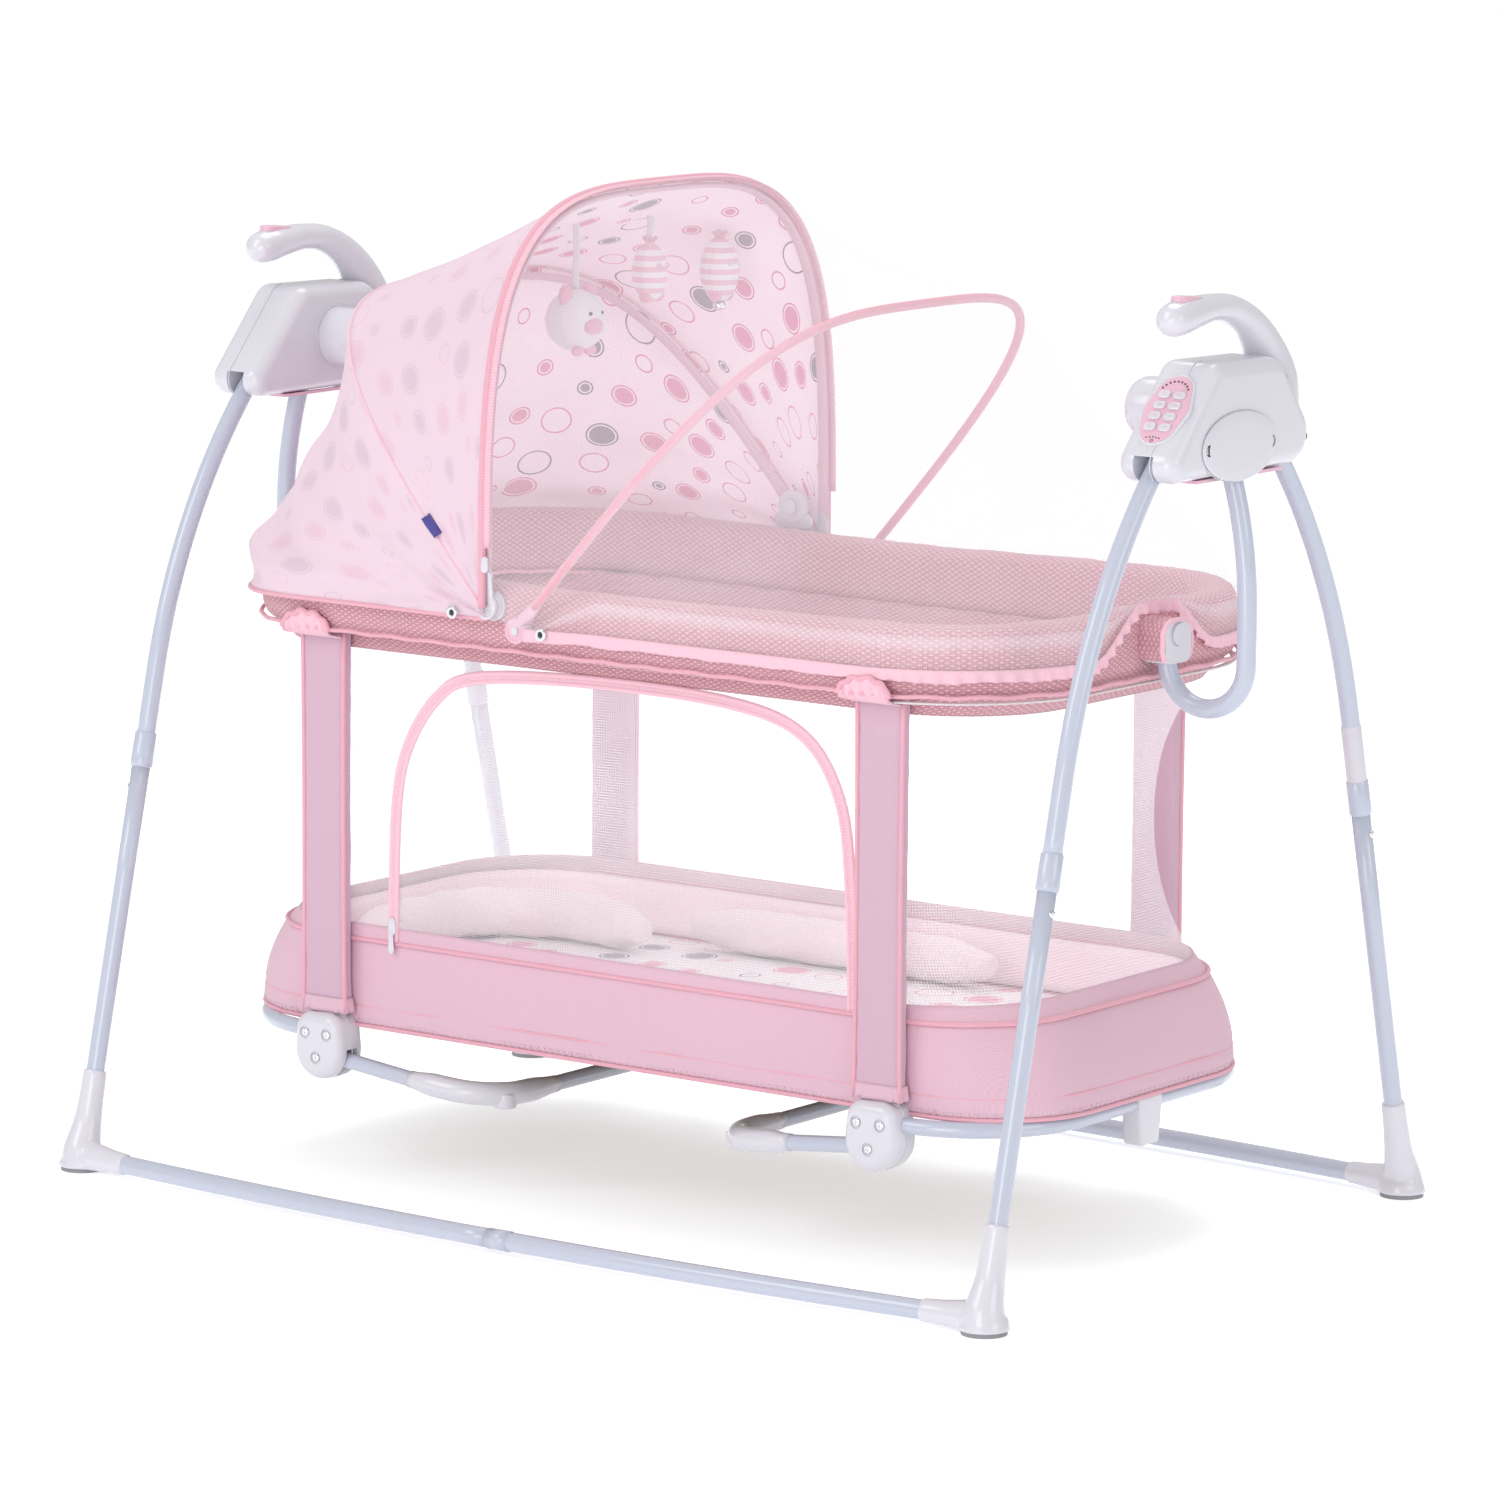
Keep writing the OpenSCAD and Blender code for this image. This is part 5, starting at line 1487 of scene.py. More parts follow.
    def walls(self) -> None:
        """The net walls, drawn in at the ends, with a cloth band along their top and bottom."""
        count = 280
        rows = []
        for j in range(25):
            t = j / 24
            z = self.band_top - 0.004 + t * (self.wall_top - self.band_top + 0.010)
            row = []
            for i, (p, n) in enumerate(rounded_loop(self.wall_half_l(z), self.base_w - 0.0006, self.base_c, count)):
                end = fade(abs(p.x), 0.30, 0.44)
                fold = 0.0022 * end * math.sin(i * 0.75 + 2.2 * math.sin(t * 3)) * math.sin(math.pi * t)
                fold += 0.0011 * ripple(Vector((p.x, p.y, z * 0.4)), 0.06, 3) * math.sin(math.pi * t)
                row.append(p + n * (fold - 0.0008) + Vector((0, 0, z)))
            rows.append(row)
        net = sheet_grid("wall_net", rows, 0.0006, closed=True)
        self.finishes.place(net, "wall_net", "cradle", "mesh_walls")
        for name, z0, z1 in (("wall_band_top", self.wall_top - 0.020, self.wall_top + 0.001),
                             ("wall_band_low", self.band_top - 0.002, self.band_top + 0.016)):
            band_rows = []
            for j in range(5):
                z = z0 + (z1 - z0) * j / 4
                band_rows.append([p + n * (0.0008 + 0.0006 * ripple(Vector((p.x, p.y, z)), 0.03, 4)) + Vector((0, 0, z))
                                  for p, n in rounded_loop(self.wall_half_l(z), self.base_w, self.base_c, count)])
            band = sheet_grid(name, band_rows, 0.0009, closed=True)
            self.finishes.place(band, "rail_spacer" if "top" in name else "pink_plain", "cradle")

    def linings(self) -> None:
        """The inner edge of the rail's cover, and the pale lining that stands inside the lower walls."""
        inner_rows = []
        for j in range(9):
            z = self.wall_top + 0.006 - self.edge_h * j / 8
            inner_rows.append([p - n * (0.0034 + 0.0008 * ripple(Vector((p.x, p.y, z)), 0.05, 8)) + Vector((0, 0, z))
                               for p, n in rounded_loop(self.wall_half_l(min(z, self.wall_top)) - 0.001, self.base_w,
                                                        self.base_c, 240)])
        inner = sheet_grid("rail_lining", inner_rows, 0.0012, closed=True)
        self.finishes.place(inner, "rail_spacer", "cradle")
        lining_rows = []
        for j in range(7):
            z = self.band_low + 0.036 + self.lining_h * j / 6
            half = min(self.base_l - self.band_lean, self.wall_half_l(max(z, self.band_top))) - 0.008
            lining_rows.append([p - n * (0.002 + 0.003 * ripple(Vector((p.x, p.y, z)), 0.07, 9)) + Vector((0, 0, z))
                                for p, n in rounded_loop(half, self.base_w - 0.0075, self.base_c - 0.006, 200)])
        lining = sheet_grid("wall_lining", lining_rows, 0.0016, closed=True)
        # The lining's finish is lightened and glows: painted light for the shade it stands in
        self.finishes.place(lining, "lit_inner_cloth", "cradle")

    def base_band(self) -> None:
        """The cloth band round the base, with top piping, a seam strip and a stitched lower hem."""
        count = 320
        rows = []
        for j in range(17):
            t = j / 16
            z = self.band_low + t * (self.band_top - self.band_low)
            tuck = 0.0035 * (1 - fade(t, 0.0, 0.06))
            row = []
            for p, n in rounded_loop(self.base_l - self.band_lean * t * t, self.base_w, self.base_c, count):
                puff = 0.0016 * math.sin(math.pi * t) + 0.0012 * ripple(Vector((p.x, p.y, z * 0.6)), 0.06, 6)
                seam = 0.0018 * (bump(t, 0.24, 0.02) + 0.7 * bump(abs(p.x), 0.40, 0.004))
                row.append(p + n * (puff * fade(t, 0, 0.1) - seam - tuck) + Vector((0, 0, z)))
            rows.append(row)
        band = sheet_grid("band_cloth", rows, 0.0012, closed=True, offset=-1)
        self.finishes.place(band, "pink_plain", "cradle", "base_band")
        for name, t, size in (("band_piping_top", 1.0, 0.0024), ("band_piping_low", 0.235, 0.0011),
                              ("band_hem", 0.012, 0.0022)):
            loop = ring(self.base_l - self.band_lean * t * t, self.base_w, self.base_c, 320,
                        self.band_low + t * (self.band_top - self.band_low), 0.0012 if t > 0.5 else -0.0004)
            pipe = sweep(name, loop, size, 10, closed=True, normal=(0, 0, 1))
            self.finishes.place(pipe, "pink_piping", "cradle")
        # Two rows of stitches above the lower hem
        points, faces, up = [], [], Vector((0, 0, 0.0004))
        for t in (0.052, 0.082):
            high = Vector((0, 0, self.band_low + t * (self.band_top - self.band_low)))
            loop = rounded_loop(self.base_l - self.band_lean * t * t + 0.0004, self.base_w + 0.0004, self.base_c, 640)
            for (a, n), (b, _) in zip(loop[::2], loop[1::2]):
                k = len(points)
                points += [a + high + up, a + high - up, b + high - up, b + high + up,
                           (a + b) / 2 + n * 0.0007 + high]
                faces += [(k + i, k + (i + 1) % 4, k + 4) for i in range(4)] + [(k + 3, k + 2, k + 1, k)]
        row = Bench.outward(Bench.mesh("band_stitches", points, faces))
        self.finishes.place(row, "blush_plain", "cradle")

    def door_zip(self) -> None:
        """The arched zip of the door in the front wall, piped on both sides, with its slider."""
        points = [(a * self.post_x, -self.base_w, self.band_top + 0.002 + b * (self.wall_top - self.band_top - 0.008))
                  for a, b in self.door]
        line = even(catmull(points, 10), 0.004)
        tape = sweep("door_zip_tape", [p + Vector((0, -0.0021, 0)) for p in line], (0.0028, 0.0010), 14,
                     normal=(0, 1, 0))
        self.finishes.place(tape, "pink_zip", "cradle", "door_zip")
        for side, shift in (("out", 0.0041), ("in", -0.0041)):
            path = []
            for i, p in enumerate(line):
                along = (line[min(i + 1, len(line) - 1)] - line[max(i - 1, 0)]).normalized()
                path.append(p + Vector((-along.z, 0, along.x)) * shift + Vector((0, -0.0018, 0)))
            pipe = sweep(f"door_piping_{side}", path, (0.0026, 0.0021), 12, normal=(0, 1, 0))
            self.finishes.place(pipe, "pink_binding", "cradle")
        place = facing_front(self.door[0][0] * self.post_x + 0.001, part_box("zip_slider")[1][1] + 0.0002,
                             self.band_top + 0.014)
        body = outline_slab("slider", hull_outline([(0, 0, 0.005), (0, 0.009, 0.0042)], 40), 0.0030, 0.0011, place,
                            0.0, 3)
        pull = outline_slab("pull", hull_outline([(0, -0.004, 0.0026), (0, -0.020, 0.0036)], 40), 0.0013, 0.0005,
                            place @ Matrix.Translation((0, 0, 0.0026)), 0.0, 2)
        slider = Bench.join("door_zip_slider", [body, pull])
        self.finishes.place(slider, "white_shell", "zip_slider", "zip_slider")

    def posts(self) -> None:
        """Padded sleeves on the four corner posts, piped along both outer edges, with a gathered lower hem."""
        made, pipes, hems = [], [], []
        z0, z1 = self.hub_top + 0.0002, self.wall_top - 0.001
        for k, (sx, sy) in enumerate(((1, -1), (-1, -1), (1, 1), (-1, 1))):
            rows = []
            for j in range(33):
                t = j / 32
                z = z0 + (z1 - z0) * t
                row = []
                for i in range(40):
                    a = 2 * math.pi * i / 40
                    wide = self.post_w / 2 * (1 - 0.05 * math.sin(math.pi * t)) - 0.001
                    deep = self.post_t / 2 * (0.9 + 0.12 * math.sin(math.pi * t))
                    fold = 0.0010 * ripple(Vector((a * 0.02, k, z)), 0.022, k) * (1 - 0.5 * math.sin(math.pi * t))
                    x = self.post_x * sx + (wide + fold) * power(math.cos(a), 0.42)
                    y = self.post_y * sy + (deep + fold) * power(math.sin(a), 0.62)
                    row.append(Vector((x, y, z)))
                rows.append(row)
            sleeve = sheet_grid(f"post_sleeve_{k}", rows, 0.0, closed=True)
            made.append(sleeve)
            for edge in (-1, 1):
                path = [Vector((self.post_x * sx + edge * (self.post_w / 2 - 0.0015)
                                * (1 - 0.05 * math.sin(math.pi * j / 30)),
                                sy * (self.post_y + self.post_t / 2 - 0.0025), z0 + (z1 - z0) * j / 30))
                        for j in range(31)]
                pipes.append(sweep("post_pipe", path, 0.0024, 8, normal=(0, 1, 0)))
            hem_rows = []
            for j in range(5):
                t = j / 4
                row = []
                for i in range(96):
                    a = 2 * math.pi * i / 96
                    wave = 0.0014 * math.sin(a * 14) * t
                    x = self.post_x * sx + (self.post_w / 2 + 0.0012 * t + wave) * power(math.cos(a), 0.45)
                    y = self.post_y * sy + (self.post_t / 2 + 0.0010 * t + wave) * power(math.sin(a), 0.6)
                    row.append(Vector((x, y, z0 + 0.016 - 0.015 * t)))
                hem_rows.append(row)
            hems.append(sheet_grid("post_hem", hem_rows, 0.0009, closed=True, inner_first=True))
        sleeves = Bench.join("post_sleeves", made)
        self.finishes.place(sleeves, "post_cloth", "cradle", "corner_posts")
        piping = Bench.join("post_piping", pipes)
        self.finishes.place(piping, "pink_piping", "cradle")
        hem = Bench.join("post_hems", hems)
        self.finishes.place(hem, "pink_plain", "cradle")

    def hubs(self) -> None:
        """The egg-shaped hubs on the corners of the base, with wells and cross screws."""
        discs = [(-0.011, self.hub_top - 0.018, 0.018), (0.011, self.hub_top - 0.018, 0.018),
                 (0, self.hub_top - 0.038, self.hub_w / 2)]
        place = Matrix(((1, 0, 0, self.post_x), (0, 0, 1, self.post_y - self.hub_t / 2), (0, 1, 0, 0), (0, 0, 0, 1)))
        egg = outline_slab("hub", hull_outline(discs, 80), self.hub_t, 0.010, place, 0.0, 6)
        face = self.post_y + self.hub_t / 2
        spots = ((-0.014, self.hub_top - 0.021), (0.014, self.hub_top - 0.021), (0.0, self.pin_z))
        for x, z in spots:
            Bench.carve(egg, drum("well", (self.post_x + x, face, z), 0.0066, 0.004, "Y", 32))
        for x0, x1, y0, y1, z0, z1 in ((-0.062, 0.062, -0.1, self.base_w + 0.0004, self.band_low - 0.0005, 0.3),
                                       (-0.062, 0.0095, self.post_y - 0.0084, self.post_y + 0.0084, 0.07,
                                        self.pin_z + 0.0095)):
            Bench.carve(egg, Bench.block((self.post_x + x0, y0, z0), (self.post_x + x1, y1, z1)))
        cap = sweep("cap", [Vector((self.post_x, self.post_y, z)) for z in
                            (self.hub_top - 0.012, self.hub_top - 0.002, self.hub_top + 0.0001)],
                    [(0.024, 0.0115), (0.0225, 0.0112), (0.020, 0.010)], 32, normal=(0, 1, 0))
        Bench.rest(egg, 38)
        seam = [Vector((self.post_x + x, self.post_y, z)) for x, z in
                hull_outline([(x, z, r + 0.0002) for x, z, r in discs], 80)]
        line = sweep("hub_line", seam, 0.0005, 6, closed=True)
        screw = bpy.data.objects["screw_master"]
        eggs, screws, lines = [], [], []
        for sx in (1, -1):
            for sy in (1, -1):
                flip = Matrix.Diagonal((sx, sy, 1, 1))
                eggs += [Bench.copy(egg, "hub_copy", flip), Bench.copy(cap, "cap_copy", flip)]
                lines.append(Bench.copy(line, "line_copy", flip))
                for x, z in spots:
                    at = (Matrix.Translation((sx * (self.post_x + x), sy * (face - 0.0012), z))
                          @ Matrix.Rotation(-sy * math.pi / 2, 4, "X"))
                    screws.append(Bench.copy(screw, "screw_copy", at))
        Bench.discard(egg, cap, line)
        shells = Bench.join("hub_shells", eggs)
        self.finishes.place(shells, "white_shell", "cradle", "corner_hubs")
        heads = Bench.join("hub_screw_heads", screws)
        self.finishes.place(heads, "chrome_screw", "cradle", "hub_screws")
        joints = Bench.join("hub_seams", lines)
        self.finishes.place(joints, "white_satin", "cradle")

    def blocks(self) -> None:
        """The white foot block under the middle of each end rail."""
        outline = [(-0.021, 0.0), (-0.0155, -0.050), (0.0155, -0.050), (0.021, 0.0)]
        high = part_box("foot_blocks")[1]
        made = []
        for sign in (1, -1):
            place = Matrix(((0, 0, sign, sign * (high[0] - 0.023)), (sign, 0, 0, 0), (0, 1, 0, high[2]), (0, 0, 0, 1)))
            made.append(outline_slab("block", outline, 0.023, 0.0035, place, 0.0, 4))
        blocks = Bench.join("end_foot_blocks", made)
        self.finishes.place(blocks, "white_shell", "cradle", "foot_blocks")

    def fold_legs(self) -> None:
        """The two fold-out legs: a bent tube each, with moulded corner sleeves and caster sockets."""
        y = self.post_y
        half = [(0.004, y), (-0.030, y), (-0.060, y), (-self.reach * 0.6, y - 0.002), (-self.reach * 0.84, y - 0.012),
                (-self.reach * 0.97, y - 0.040), (-self.reach, y - 0.075), (-self.reach, y - 0.150)]
        path = half + [(x, -v) for x, v in reversed(half)]
        tilt = Matrix.Translation((self.post_x, 0, self.pin_z)) @ Matrix.Rotation(
            -math.atan(self.drop / self.reach), 4, "Y")
        line = [tilt @ p for p in catmull([(x, v, 0) for x, v in path], 8)]
        tube = sweep("loop", line, self.tube, 24, normal=tuple(tilt.to_3x3() @ Vector((0, 0, 1))))
        corner = [tilt @ p for p in catmull([(x, v, 0) for x, v in half], 8)][22:53]
        count = len(corner)
        fat = [self.tube + 0.0007 + 0.0033 * fade(k, 0, 4) * (1 - fade(k, count - 5, count - 1)) for k in range(count)]
        sleeve = sweep("sleeve", corner, fat, 28, normal=tuple(tilt.to_3x3() @ Vector((0, 0, 1))))
        knee = corner[count * 5 // 9]
        socket = drum("socket", (knee.x - 0.004, knee.y - 0.002, knee.z - 0.006), 0.0115, 0.016, "-Z", 32, 0.002,
                      (0.0040, -0.011))
        for side, sign in (("right", 1), ("left", -1)):
            tubes = Bench.copy(tube, f"leg_tube_{side}", Matrix.Diagonal((sign, 1, 1, 1)))
            self.finishes.place(tubes, "tube_paint", f"leg_loop_{side}", f"leg_loop_{side}")
            parts = [Bench.copy(m, "part", Matrix.Diagonal((sign, sy, 1, 1))) for m in (sleeve, socket)
                     for sy in (1, -1)]
            corners = Bench.join(f"leg_corners_{side}", parts)
            self.finishes.place(corners, "white_shell", f"leg_loop_{side}")
        Bench.discard(tube, sleeve, socket)

    def mattress(self) -> None:
        """The printed mattress, piped round its top edge and crowned."""
        half_l, half_w, corner = self.base_l - 0.024, self.base_w - 0.006, self.base_c - 0.012
        low, high = self.band_low + 0.0042, self.band_low + 0.0338
        count = 200
        rows = [ring(half_l - inset, half_w - inset, corner - inset, count, z) for inset, z in
                ((0.004, low), (0.0, low + 0.005), (-0.0012, (low + high) / 2), (0.0, high - 0.005),
                 (0.004, high - 0.0008), (0.02, high + 0.0005))]
        edge = ring(half_l - 0.02, half_w - 0.02, corner - 0.02, count, 0.0)
        for j in range(1, 14):
            t = 1 - j / 13
            row = []
            for p in edge:
                q = Vector((p.x * (t ** 0.9) if t else 0.0, p.y * t, 0))
                crown = 0.0035 * (1 - t ** 4) + 0.0010 * ripple(q, 0.05, 11) + 0.0006 * ripple(q, 0.02, 12)
                quilt = 0.0012 * (bump((q.x / 0.12) % 1.0, 0.5, 0.06) + bump((q.y / 0.12 + 0.5) % 1.0, 0.5, 0.06))
                row.append(q + Vector((0, 0, high + 0.0005 + crown - quilt * (1 - t ** 6))))
            rows.append(row)
        pad = sheet_grid("mattress_pad", rows, 0.0, closed=True)
        work = bmesh.new()
        work.from_mesh(pad.data)
        bmesh.ops.holes_fill(work, edges=[e for e in work.edges if e.is_boundary], sides=0)
        work.to_mesh(pad.data)
        work.free()
        Bench.rest(Bench.outward(pad), 180)
        self.finishes.place(pad, "bed_print", "cradle", "mattress")
        pipe = sweep("mattress_piping", ring(half_l - 0.001, half_w - 0.001, corner, 240, high - 0.0015), 0.0022, 8,
                     closed=True, normal=(0, 0, 1))
        self.finishes.place(pipe, "pink_piping", "cradle")

    def bolsters(self) -> None:
        """The stuffed nest at the head end and the long bolster along the back."""
        bed = self.band_low + 0.0342
        made = []
        for name, spots, radius in (("nest", self.nest, self.nest_radius), ("back", self.bolster, self.bolster_radius)):
            line = catmull([(x, y, 0) for x, y in spots], 10)
            count = len(line)
            sizes = [radius * (0.55 + 0.45 * fade(min(k, count - 1 - k), 0, 6)) * (1 + 0.03 * math.sin(k * 1.1))
                     for k in range(count)]
            roll = sweep(name, [p + Vector((0, 0, bed + radius + 0.003)) for p in line], sizes, 20, normal=(0, 0, 1))
            Bench.outward(roll)
            made.append(Padding.stuff(roll, 0.005, 4.0, 0.006))
        for roll in made:
            for v in roll.data.vertices:
                pucker = 0.0016 * ripple(v.co, 0.02, 21) + 0.0010 * ripple(v.co, 0.009, 22)
                v.co += v.normal * pucker
                v.co.z = max(v.co.z, bed + 0.0003)
        rolls = Bench.join("nest_rolls", made)
        Bench.subdivide(rolls, 1)
        Bench.rest(rolls, 180)
        self.finishes.place(rolls, "blush_brushed", "cradle", "bolsters")

    def pouches(self) -> None:
        """Mesh pouches over the end brackets, and tucked cloth where the posts meet the rail."""
        for sign, side in ((1, "right"), (-1, "left")):
            rows = []
            for k in range(7):
                out = self.pouch_x + self.pouch_h * k / 6
                rows.append([Vector((sign * out, (0.0248 + 0.0006 * math.sin(i * 1.3)) * power(math.cos(a), 0.7),
                                     self.pouch_z + (0.0228 - 0.0010 * k / 6) * power(math.sin(a), 0.7)))
                             for i, a in enumerate(math.radians(-42 + 264 * i / 40) for i in range(41))])
            pouch = sheet_grid(f"bracket_pouch_{side}", rows, 0.0012)
            self.finishes.place(pouch, "rail_spacer", "cradle")
            edge = sweep(f"pouch_edge_{side}", rows[-1], (0.0026, 0.0030), 10, normal=(1, 0, 0))
            self.finishes.place(edge, "pink_binding", "cradle")
        tucks, rims = [], []
        face = self.post_y + self.post_t / 2 + 0.002
        arc = [(math.cos(a), math.sin(a)) for a in (math.pi * i / 40 for i in range(41))]
        for sx, sy in ((1, -1), (-1, -1), (1, 1), (-1, 1)):
            rows = []
            for t in (k / 8 for k in range(9)):
                rows.append([Vector((sx * (self.post_x + (0.0295 - 0.002 * t) * x),
                                     sy * (self.rail_w + 0.0032 + (face - self.rail_w - 0.0032) * fade(t, 0.3, 1.0)
                                           + 0.0024 * math.sin(i * 1.1 + t) * math.sin(math.pi * t)),
                                     self.wall_top + 0.001 - 0.010 * t
                                     + (0.018 + 0.0016 * math.sin(i * 0.8)) * z * (1 - fade(t, 0, 0.7))))
                             for i, (x, z) in enumerate(arc)])
            tucks.append(sheet_grid("post_tuck", rows, 0.0009))
            rims.append(sweep("post_rim", rows[0], (0.0030, 0.0026), 10, normal=(0, 1, 0)))
        tuck = Bench.join("post_tucks", tucks)
        self.finishes.place(tuck, "pink_binding", "cradle")
        rim = Bench.join("post_rims", rims)
        self.finishes.place(rim, "pink_piping", "cradle")

    def eyelets(self) -> None:
        """Metal press studs on the corners of hood and net."""
        rings, holes = [], []
        for sign, axis in ((-1, "-Y"), (1, "Y")):
            for x, y, z in self.studs:
                rings.append(drum("eyelet", (x, sign * y, z), 0.0064, 0.0026, axis, 32, 0.0009, (0.0034, -0.0012)))
                holes.append(drum("hole", (x, sign * (y + 0.0002), z), 0.0033, 0.0012, axis, 24, 0.0))
        for name, parts, finish in (("stud_rings", rings, "chrome_screw"), ("stud_holes", holes, "black_part")):
            made = Bench.join(name, parts)
            self.finishes.place(made, finish, "cradle")

    def build(self) -> None:
        """Builds the crib and everything that is fixed to it."""
        for step in (self.rail_cover, self.walls, self.linings, self.base_band, self.door_zip, self.posts, self.hubs,
                     self.blocks, self.fold_legs, self.mattress, self.bolsters, self.pouches, self.eyelets):
            step()
            LOG.info("%s made", step.__name__)


# ---- Hood, net and toys --------------------------------------------------------------------


@dataclass
class Hood:
    """The folding hood, the sheer net and their bows."""

    finishes: Finishes
    hub_x: float = -0.105
    hub_z: float = 0.613
    height: float = 0.402
    lean: float = math.radians(41)
    square: float = 3.6
    net_x: float = -0.066
    net_z: float = 0.593
    net_len: float = 0.430
    net_lean: float = math.radians(42)
    front_y: float = 0.2801
    rear_y: float = 0.2731
    net_y: float = 0.2821
    skin_y: float = 0.2875
    rail_l: float = 0.495
    rail_w: float = 0.268
    rail_c: float = 0.165
    steps: int = 120
    hinge: Point = (-0.133, 0.2655, 0.6565)
    label_size: tuple[float, float] = (0.0105, 0.024)

    def arch(self, x: float, z: float, lean: float, width: float, reach: float, square: float,
             count: int) -> list[Vector]:
        """Points of an arch over the crib.

        Args:
            x: Where its feet stand along X.
            z: Height of its feet.
            lean: Its lean towards the head end.
            width: Half width at its feet.
            reach: Height along the lean.
            square: Squareness of its shoulders.
            count: Steps from foot to foot.

        Returns:
            Points from the +Y foot to the -Y foot, evenly spaced.
        """
        fine = []
        for k in range(241):
            t = math.pi * k / 240
            y, r = width * power(math.cos(t), 2 / square), reach * power(math.sin(t), 2 / square)
            fine.append(Vector((x - r * math.sin(lean), y, z + r * math.cos(lean))))
        return Hood.spaced(fine, count)

    @staticmethod
    def spaced(line: Sequence[Vector], count: int) -> list[Vector]:
        """A line as count even steps."""
        length = sum((b - a).length for a, b in zip(line, line[1:]))
        points = even(line, length / count)
        while len(points) < count + 1:
            points.append(points[-1].copy())
        return points[:count + 1]

    def rail_path(self, x0: float, sign: int, grow: float, z_side: float, z_end: float,
                  count: int) -> list[Vector]:
        """A path round one end of the rail, from the +Y side to the -Y side.

        Args:
            x0: Where it starts on the sides.
            sign: 1 for the foot end, -1 for the head end.
            grow: Distance outside the rail.
            z_side: Height on the sides.
            z_end: Height at the end.
            count: Steps.

        Returns:
            The points, evenly spaced.
        """
        half_l, half_w, corner = self.rail_l + grow, self.rail_w + grow, self.rail_c + grow
        line = [Vector((x0 + (sign * (half_l - corner) - x0) * k / 20, half_w, 0)) for k in range(20)]
        line += [Vector((sign * (half_l - corner + corner * math.sin(a)), half_w - corner + corner * math.cos(a), 0))
                 for a in (math.pi / 2 * k / 20 for k in range(21))]
        line += [Vector((p.x, -p.y, 0)) for p in reversed(line)]
        for p in line:
            t = fade(abs(p.x), abs(self.rail_l - self.rail_c), self.rail_l)
            p.z = z_side + (z_end - z_side) * t
        return Hood.spaced(line, count)

    def bow(self, name: str, line: Sequence[Vector], size: tuple[float, float], finish: str, body: str,
            node: str, foot: Point, direction: Vector) -> None:
        """A sleeved bow with moulded eyes at its feet.

        Args:
            name: Name of the pieces.
            line: Line of the bow.
            size: Half sizes of its section, across and along X.
            finish: Finish of the sleeve.
            body: Body it rides on.
            node: CAD node it stands for.
            foot: Place of the eye on the +Y side.
            direction: Direction of the bow at its feet.
        """
        keep = tuple(direction.cross(Vector((0, 1, 0))))
        self.finishes.place(sweep(name, line, size, 18, normal=keep), finish, body, node)
        eyes = []
        for sign in (1, -1):
            centre = Vector((foot[0], sign * foot[1], foot[2]))
            eyes.append(drum("eye", tuple(centre), 0.0125, 0.0048, "Y" if sign > 0 else "-Y", 36, 0.0012,
                             (0.003, -0.0008)))
            neck = [centre + direction * d for d in (0.006, 0.014, 0.030, 0.040)]
            eyes.append(sweep("neck", neck, [(0.0026, 0.0085), (0.0026, 0.0078), (0.0030, 0.0066), (0.0030, 0.0052)],
                              18, normal=keep))
        ends = Bench.rest(Bench.join(name + "_eyes", eyes), 40)
        self.finishes.place(ends, "white_shell" if "hood" in name else "pink_shell", body)

    def gore(self, name: str, rows: list[list[Vector]], finish: tuple[str, str],
             node: str | None = None, thickness: float = 0.0009) -> None:
        """A panel of cloth over rows of points, with its flat sizes and an inner face of its own.

        Args:
            name: Name of the piece.
            rows: Rows across the crib, each with as many points.
            finish: Its outer and inner finishes.
            node: The node that it stands for, if any.
            thickness: Thickness of the cloth.
        """
        count, steps = len(rows[0]) - 1, len(rows) - 1
        along, up = [0.0], [0.0]
        for i in range(count):
            along.append(along[-1] + (rows[steps // 2][i + 1] - rows[steps // 2][i]).length)
        for j in range(steps):
            up.append(up[-1] + (rows[j + 1][count // 2] - rows[j][count // 2]).length)
        piece = sheet_grid(name, rows, 0.0, flat=lambda j, i: (along[i], up[j]))
        piece.data.materials.append(None)
        piece.data.materials.append(None)
        Bench.modifier(piece, "SOLIDIFY", thickness=thickness, offset=0.0, use_even_offset=False, material_offset=1)
        self.finishes.dress(piece, *finish)
        if node:
            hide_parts(node)
        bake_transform(piece)

    @staticmethod
    def between(first: Sequence[Vector], last: Sequence[Vector], steps: int,
                sag: Callable[[float, float, Vector], Vector]) -> list[list[Vector]]:
        """Rows between two lines.

        Args:
            first: First line.
            last: Last line, with as many points.
            steps: Steps between the lines.
            sag: Shift of a point from (place between the lines, place along them, point).

        Returns:
            The rows, both lines among them.
        """
        count = len(first) - 1
        return [[a.lerp(b, j / steps) + sag(j / steps, i / count, a.lerp(b, j / steps))
                 for i, (a, b) in enumerate(zip(first, last))] for j in range(steps + 1)]

    def canopy(self) -> None:
        """The two panels of the hood, lined with printed cloth, with piped seams."""
        n = self.steps
        front = self.arch(self.hub_x, self.hub_z, 0.0, self.skin_y, self.height, self.square, n)
        rear = self.arch(self.hub_x, self.hub_z, self.lean, self.skin_y, self.height - 0.012, self.square, n)
        end = self.rail_path(self.hub_x, -1, 0.0115, self.hub_z - 0.012, 0.596, n)

        def roof(s: float, t: float, p: Vector) -> Vector:
            arch = math.sin(math.pi * s)
            high = fade(p.z, 0.66, 0.95)
            out = Vector((0, p.y, (p.z - 0.6) * 1.2)).normalized()
            tension = -0.006 * arch * high
            crease = 0.0022 * math.sin(26 * t + 5 * s) * arch * (1 - high) + 0.0014 * ripple(p, 0.05, 31) * arch
            return out * (tension + crease)

